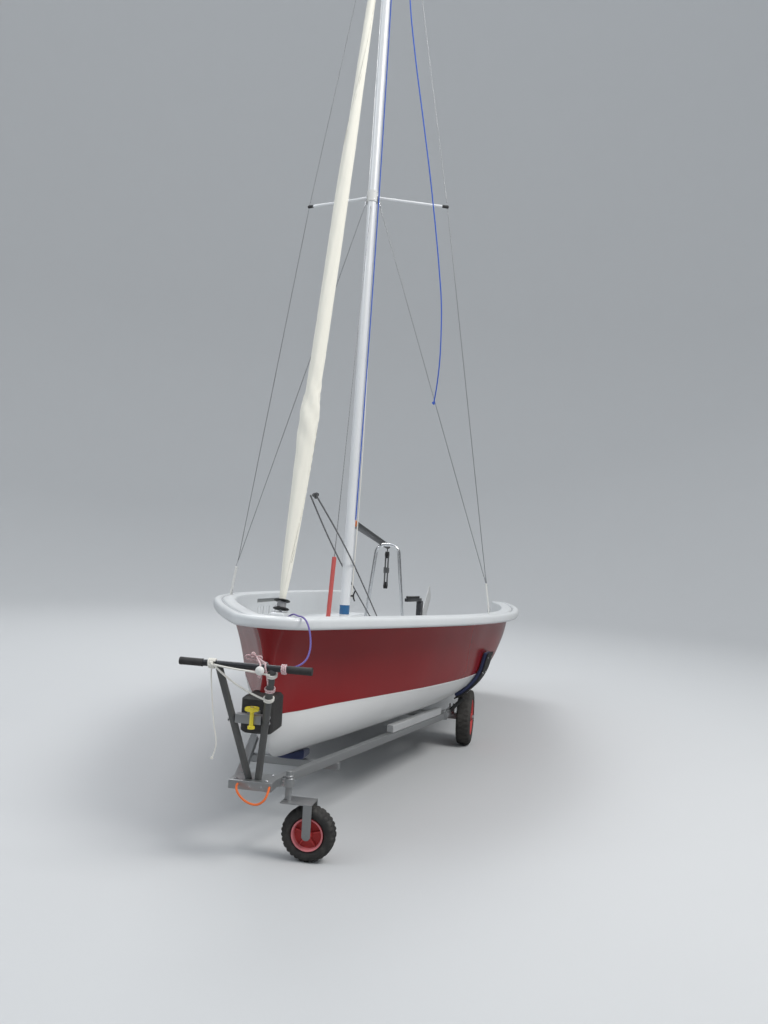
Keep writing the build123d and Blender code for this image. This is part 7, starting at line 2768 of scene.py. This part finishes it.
@dataclass
class Lines:
    """Small tied and taut lines: the lashing, the bow eye, the sheets and the mast's falls."""

    def lashing(self) -> None:
        """White line wound round the bar, led taut across to the other post, and back."""
        mesh = Mesh()
        rope = 0.0042
        turns(mesh, place(BAR_AFT, -0.148, BAR_HEIGHT), PORT, 0.0142, rope, 0.0088, 3.4, 0.0)
        knot(mesh, place(-0.272, -0.146, BAR_HEIGHT), 0.012, rope, 0.9)
        right = place(*post_point(0.885))
        spin = (right - place(*post_point(0.5)))
        turns(mesh, place(*post_point(0.868)), spin, 0.0164, rope, 0.0088, 1.8, 0.8)
        left = (-0.2715, -0.134, 0.8945)
        strands = ((left, (-0.2725, -0.06, 0.885), (-0.2705, 0.02, 0.88), (-0.265, 0.085, 0.873),
            (-0.258, 0.112, 0.868)), (left, (-0.27, -0.108, 0.87), (-0.256, -0.04, 0.818),
            (-0.242, 0.04, 0.776), (-0.2235, 0.086, 0.756)),)
        for strand in strands:
            path = spline_points("lash", strand)
            mesh.rod(resample(path, 60), rope, 10)
        turns(mesh, place(*post_point(0.756)), spin, 0.0164, rope, 0.0088, 1.5, 0.8)
        mesh.build("handle_lashing", ROPE_WHITE, weld=0.0)

    def bow_eye(self) -> None:
        """Eye plate on the stem with a white ball threaded on its line and a knot over it."""
        ball, plate, line = Mesh(), Mesh(), Mesh()
        spot = place(-0.285, 0.075, 0.887)
        profile = [(0.0035, 0.0188)]
        for angle in np.linspace(80, -80, 33):
            r = radians(angle)
            groove = 0.0006 * exp(-(angle / 2.5) ** 2)
            profile.append((0.0195 * cos(r) - groove, 0.0195 * sin(r)))
        profile += [*mm(3.5, -18.8, 3.5, 18.8)]
        lathe(ball, profile, spot, UP, 40)
        ball.build("bow_eye_ball", WHITE)
        lathe(plate, mm(0, 0, 13, 0, 13, 2.2, 10, 3.2, 0, 3.4), place(0.056, 0.0, 0.86), (1, 0, 0),
            28)
        eye = [place(0.0535 - 0.0125 * sin(t), 0.0, 0.86 + 0.008 * cos(t))
            for t in np.linspace(-0.2, pi + 0.2, 15)]
        plate.rod(eye, 0.0026, 10)
        plate.build("bow_eye_plate", STEEL)
        rope = 0.0038
        knot(line, place(-0.052, -0.004, 0.9), 0.02, rope, 0.3)
        knot(line, place(-0.06, -0.026, 0.916), 0.015, rope, 1.3)
        pieces = (((0.0425, 0.0, 0.86), (0.024, -0.002, 0.865), (-0.005, -0.004, 0.879),
            (-0.04, -0.004, 0.896)), ((-0.056, -0.012, 0.908), (-0.064, -0.05, 0.918),
            (-0.06, -0.066, 0.906), (-0.056, -0.05, 0.892), (-0.052, -0.016, 0.896)),)
        for route in pieces:
            path = resample(spline_points("eye_line", route), 48)
            line.rod(path, rope, 10)
        for start, top, last, tail in (((-0.052, -0.005, 0.902), (0.088, 0.096), 117.0,
                ((-0.224, 0.101, 0.806),)), ((-0.056, -0.012, 0.908), (0.062, 0.071), 50.0,
                ((-0.274, 0.0735, 0.91), (-0.283, 0.075, 0.9075), (-0.285, 0.075, 0.899))),):
            arc = [(BAR_AFT - 0.0184 * sin(t), port, BAR_HEIGHT + 0.0184 * cos(t)) for t,
                port in zip(np.radians(np.linspace(-3.6, last, 16)), np.linspace(*top, 16))]
            path = np.array([place(*point) for point in (start, *arc, *tail)])
            line.rod(resample(path, 70), rope, 10)
        knot(line, spot - np.array((0, 0, 0.0235)), 0.0085, 0.003, 0.4)
        spin = place(*post_point(0.885)) - place(*post_point(0.5))
        turns(line, place(*post_point(0.8)), spin, 0.0164, rope, 0.0084, 1.6, 0.9)
        line.build("bow_eye_line", ROPE_PINK, weld=0.0)

    def sheets(self) -> None:
        """Jib sheets, taut from the clew past the mast to two blocks on the centre case."""
        mesh, blocks = Mesh(), Mesh()
        for side in (1, -1):
            spot = (2.9, side * 0.022, 0.743)
            route = ((0.742, side * 0.016, 1.65), (1.15, side * 0.034, 1.48),
                (1.56, side * 0.04, 1.308), (1.78, side * 0.04, 1.215), (2.33, side * 0.034, 0.983),
                (2.888, side * 0.022, 0.752))
            path = resample(spline_points("sheet", route), 90)
            mesh.rod(path, 0.0045, 10)
            lathe(blocks, mirrored(0, -9, 12, -9, 13, -7.5, 13, -4, 10.5, -3), place(*spot), PORT,
                32)
        knot(mesh, place(0.738, 0.012, 1.652), 0.02, 0.0045, 0.2)
        mesh.build("jib_sheets", ROPE_DARK, weld=0.0)
        blocks.build("jib_sheet_blocks", BLACK)

    def falls(self) -> None:
        """Rope falls down the mast's port side, made fast at a cleat near its foot."""
        white, blue, cleat = Mesh(), Mesh(), Mesh()
        for mesh, top, low, ahead in ((white, 1.62, 0.135, -0.022), (blue, 3.95, 0.62, 0.01)):
            points = []
            for h in np.linspace(top, low, 40):
                bow = 0.008 * sin(pi * (h - low) / (top - low))
                points.append(mast_point(h, ahead, 0.0345 + bow))
            mesh.rod(points, 0.0035, 10)
        white.build("mast_fall_white", ROPE_WHITE, weld=0.0)
        blue.build("mast_fall_blue", ROPE_BLUE, weld=0.0)
        base = mast_point(0.15, -0.022, 0.0305)
        tube(cleat, [base - np.array((0, 0.002, 0)), base + np.array((0, 0.018, 0))], 0.006, 16)
        horn = [mast_point(0.15 + t, -0.022, 0.046 + 10 * t * t)
            for t in np.linspace(-0.032, 0.032, 11)]
        tube(cleat, horn, 0.0048, 14)
        cleat.build("mast_cleat", BLACK)

    def tackle(self) -> None:
        """Mainsheet hauled up under the boom's end: two blocks and the parts between them."""
        boom = Boom()
        _, _, _, _, lift, out, _ = boom.frames()
        tail = lift + out * (boom.fork_reach + boom.cap + boom.length + 0.015)
        hang = tail - np.array((0, 0, 0.0475))
        blocks, sheet = Mesh(), Mesh()
        for drop in (0.03, 0.3):
            centre = hang - np.array((0, 0, drop))
            for shift in (-0.0075, 0.0075):
                lathe(blocks, mirrored(0, -5.5, 20.5, -5.5, 22.5, -4, 22.5, -2.5, 18, -1.8), centre
                    + np.array((0, shift * 1.6, 0)), PORT, 32)
            rounded_block(blocks, centre, (0.012, 0.036, 0.06), 0.003)
        blocks.build("mainsheet_blocks", BLACK, "boom")
        for dx, dy in ((0.017, 0.012), (-0.017, 0.012), (0.017, -0.012), (-0.017, -0.012)):
            line = [hang + np.array((dx * (1 - 0.05 * sin(pi * t)), dy, -0.03 - 0.27 * t))
                for t in np.linspace(0, 1, 12)]
            sheet.rod(line, 0.0042, 10)
        turns(sheet, hang - np.array((0, 0, 0.165)), UP, 0.018, 0.0042, 0.0086, 5.2, 0.0)
        sheet.build("mainsheet_parts", ROPE_DARK, "boom", weld=0.0)

    def build(self) -> None:
        """Makes the lines."""
        self.lashing()
        self.bow_eye()
        self.sheets()
        self.falls()
        self.tackle()


ROAD = dict(axis=(0.0, 1.0, 0.0), radius=0.19, width=0.1, bead=0.122, hub=0.027, hub_length=0.092,
    bore=0.0126)
ASSEMBLIES = (Ropes(), Hull(), Gunwale(), Deck(), Rig(), Headsail(), Boom(), Hoop(), Rudder(),
    Trolley(), Rests(), Centrecase(), Jockey(), Lines(),
    Wheel("wheel_port", (2.65, 0.7, 0.19), "wheel_port", **ROAD),
    Wheel("wheel_starboard", (2.65, -0.7, 0.19), "wheel_starboard", **ROAD),
    Wheel("jockey", (0.052, 0.245, 0.124), "jockey_wheel", axis=(1.0, 0.0, 0.0), radius=0.124,
    width=0.085, bead=0.074, hub=0.02, hub_length=0.101, bore=0.0081, blocks=30, spokes=5,
    edge=0.0004),)


# The finish that each CAD node carries.
CARRIED = {
    WHITE: ("spreader_bracket", "hounds_fitting", "shroud_adjusters", "mast_step", "bow_block",
        "chainplates"),
    SPAR: ("mast", "spreaders"),
    WIRE: ("upper_shrouds", "lower_shrouds", "forestay", "inner_stay"),
    BLACK: ("furling_drum", "cradle_arms", "handlebar", "handle_grips", "snubber_bracket",
        "bow_snubber", "gooseneck_toggle", "rudder_gudgeons", "rudder_head", "tiller_extension",
        "boom_end"),
    GREY: ("trolley_nose", "handle_tubes", "bunk_boards", "trolley_cross_member"),
    ZINC: ("trolley_side_beams", "trolley_axle", "jockey_clamp", "jockey_fork"),
    STEEL: ("sheet_hoop", "inner_stay_eye", "gooseneck_bracket"),
    RED: ("inner_stay_cover", "wheel_port_rim", "wheel_starboard_rim", "jockey_rim"),
    YELLOW: ("line_reel",),
    SAIL: ("furled_jib",),
    NAVY: ("keel_pad", "cradle_pads"),
    TYRE: ("wheel_port_tyre", "wheel_starboard_tyre", "jockey_tyre"),
    FOIL: ("rudder_blade", "centreboard", "tiller"),
    DECK_GEL: ("centreboard_case", "cockpit_liner", "foredeck", "gunwale"),
    DARK_SPAR: ("boom", "boom_fork"),
    ROPE_BLUE: ("halyard", "bow_line"),
    ROPE_WHITE: ("handle_tail",),
    ROPE_ORANGE: ("strop",),
    RED_GEL: ("hull_topsides",),
    WHITE_GEL: ("hull_bottom",),
}


@dataclass
class Studio:
    """Camera, lights, backdrop light and floor."""

    eye: tuple = (7.0155, 1.272, 1.564)
    heading: float = radians(10.175)
    pitch: float = radians(0.245)
    roll: float = radians(3.298)
    lens: float = 34.34
    floor: tuple = (0.55, 0.56, 0.57)
    lights: tuple = (((3.5, 6.0, 8.5), 4.0, 560.0, (1.0, 0.98, 0.95)),
        ((5.5, -6.0, 7.0), 4.0, 200.0, (0.94, 0.97, 1.0)),
        ((-5.5, -3.0, 8.0), 4.0, 300.0, (1.0, 1.0, 1.0)),)

    def camera(self) -> None:
        """Puts the camera where the fit found it: right and up turned by the roll about forward."""
        c, s = cos(self.heading), sin(self.heading)
        forward = np.array((-c * cos(self.pitch), -s * cos(self.pitch), sin(self.pitch)))
        right = np.cross(forward, UP)
        right /= np.linalg.norm(right)
        up = np.cross(right, forward)
        cr, sr = cos(self.roll), sin(self.roll)
        turned_right, turned_up = cr * right + sr * up, -sr * right + cr * up
        matrix = Matrix.Identity(4)
        for i in range(3):
            matrix[i][0], matrix[i][1], matrix[i][2] = turned_right[i], turned_up[i], -forward[i]
            matrix[i][3] = self.eye[i]
        data = bpy.data.cameras.new("camera")
        data.lens = self.lens
        data.sensor_width = 36.0
        data.clip_start, data.clip_end = 0.05, 200.0
        camera = bpy.data.objects.new("camera", data)
        bpy.context.scene.collection.objects.link(camera)
        camera.matrix_world = matrix
        bpy.context.scene.camera = camera

    def light(self, index: int, spot: tuple, size: float, power: float, colour: tuple) -> None:
        """One square area light aimed at the boat.

        Args:
            index: its number.
            spot: where it stands.
            size: side of the square.
            power: in watts.
            colour: of the light.
        """
        data = bpy.data.lights.new(f"softbox_{index}", "AREA")
        data.size, data.energy, data.color = size, power, colour
        lamp = bpy.data.objects.new(f"softbox_{index}", data)
        bpy.context.scene.collection.objects.link(lamp)
        aim = Vector((0.5, 0.0, 0.8)) - Vector(spot)
        lamp.rotation_mode = "QUATERNION"
        lamp.rotation_quaternion = aim.to_track_quat("-Z", "Y")
        lamp.location = spot

    def backdrop(self) -> None:
        """Plain pale floor that curves up into a wall all round, open to an even pale sky; in
        glossy reflections the floor is painted dark grey.
        """
        mesh = bpy.data.meshes.new("floor")
        curve = [(r, 0.0) for r in (0.0, 2.0, 4.0, 6.0, 8.0, 9.0)]
        curve += [(9.0 + 6.0 * sin(t), 6.0 - 6.0 * cos(t)) for t in np.linspace(0.1, pi / 2, 14)]
        curve += [(15.0, z) for z in (8.0, 11.0, 15.0)]
        sides = 64
        rows = [(r * cos(a), r * sin(a), z) for r, z in curve
            for a in np.linspace(0, ROUND, sides, endpoint=False)]
        faces = [(i * sides + j, i * sides + (j + 1) % sides, (i + 1) * sides + (j + 1) % sides,
            (i + 1) * sides + j) for i in range(len(curve) - 1) for j in range(sides)]
        mesh.from_pydata(rows, [], faces)
        mesh.shade_smooth()
        obj = bpy.data.objects.new("floor", mesh)
        bpy.context.scene.collection.objects.link(obj)
        ground = Finish("floor_paper", self.floor, tuple(0.96 * c for c in self.floor),
            Texture.MOULDED, 0.85, wear=0.1, bump=0.02)
        paper = ground.material()
        g = Graph(paper.node_tree)
        shader = paper.node_tree.nodes["Principled BSDF"]
        tone = shader.inputs["Base Color"].links[0].from_socket
        # Painted reflection: for glossy rays the floor's colour is mixed 70% towards dark grey, so
        # shiny surfaces reflect a darker floor.
        reflection_darkening = g.math("MULTIPLY", g.add("ShaderNodeLightPath").outputs["Is Glossy Ray"], 0.7)
        g.put(shader.inputs["Base Color"], g.mix(reflection_darkening, tone, (0.1, 0.1, 0.1, 1)))
        mesh.materials.append(paper)
        world = bpy.data.worlds.new("sky")
        world.use_nodes = True
        sky = world.node_tree.nodes["Background"]
        sky.inputs[0].default_value = (0.8, 0.84, 0.88, 1)
        sky.inputs[1].default_value = 1.0
        bpy.context.scene.world = world

    def build(self) -> None:
        """Makes the whole studio."""
        self.camera()
        for index, light in enumerate(self.lights):
            self.light(index, *light)
        self.backdrop()
        bpy.context.scene.view_settings.view_transform = "Standard"


def finish_carried() -> None:
    """Gives every CAD node its finish's material, shown or not."""
    for finish, names in CARRIED.items():
        for name in names:
            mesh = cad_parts[name].data
            mesh.materials.clear()
            mesh.materials.append(finish.material())


def main() -> None:
    """Builds every sub-assembly."""
    finish_carried()
    for assembly in ASSEMBLIES:
        assembly.build()
    Studio().build()
    LOG.info("%d pieces", len(PIECES))
    bpy.context.view_layer.update()


if __name__ == "__main__":
    main()
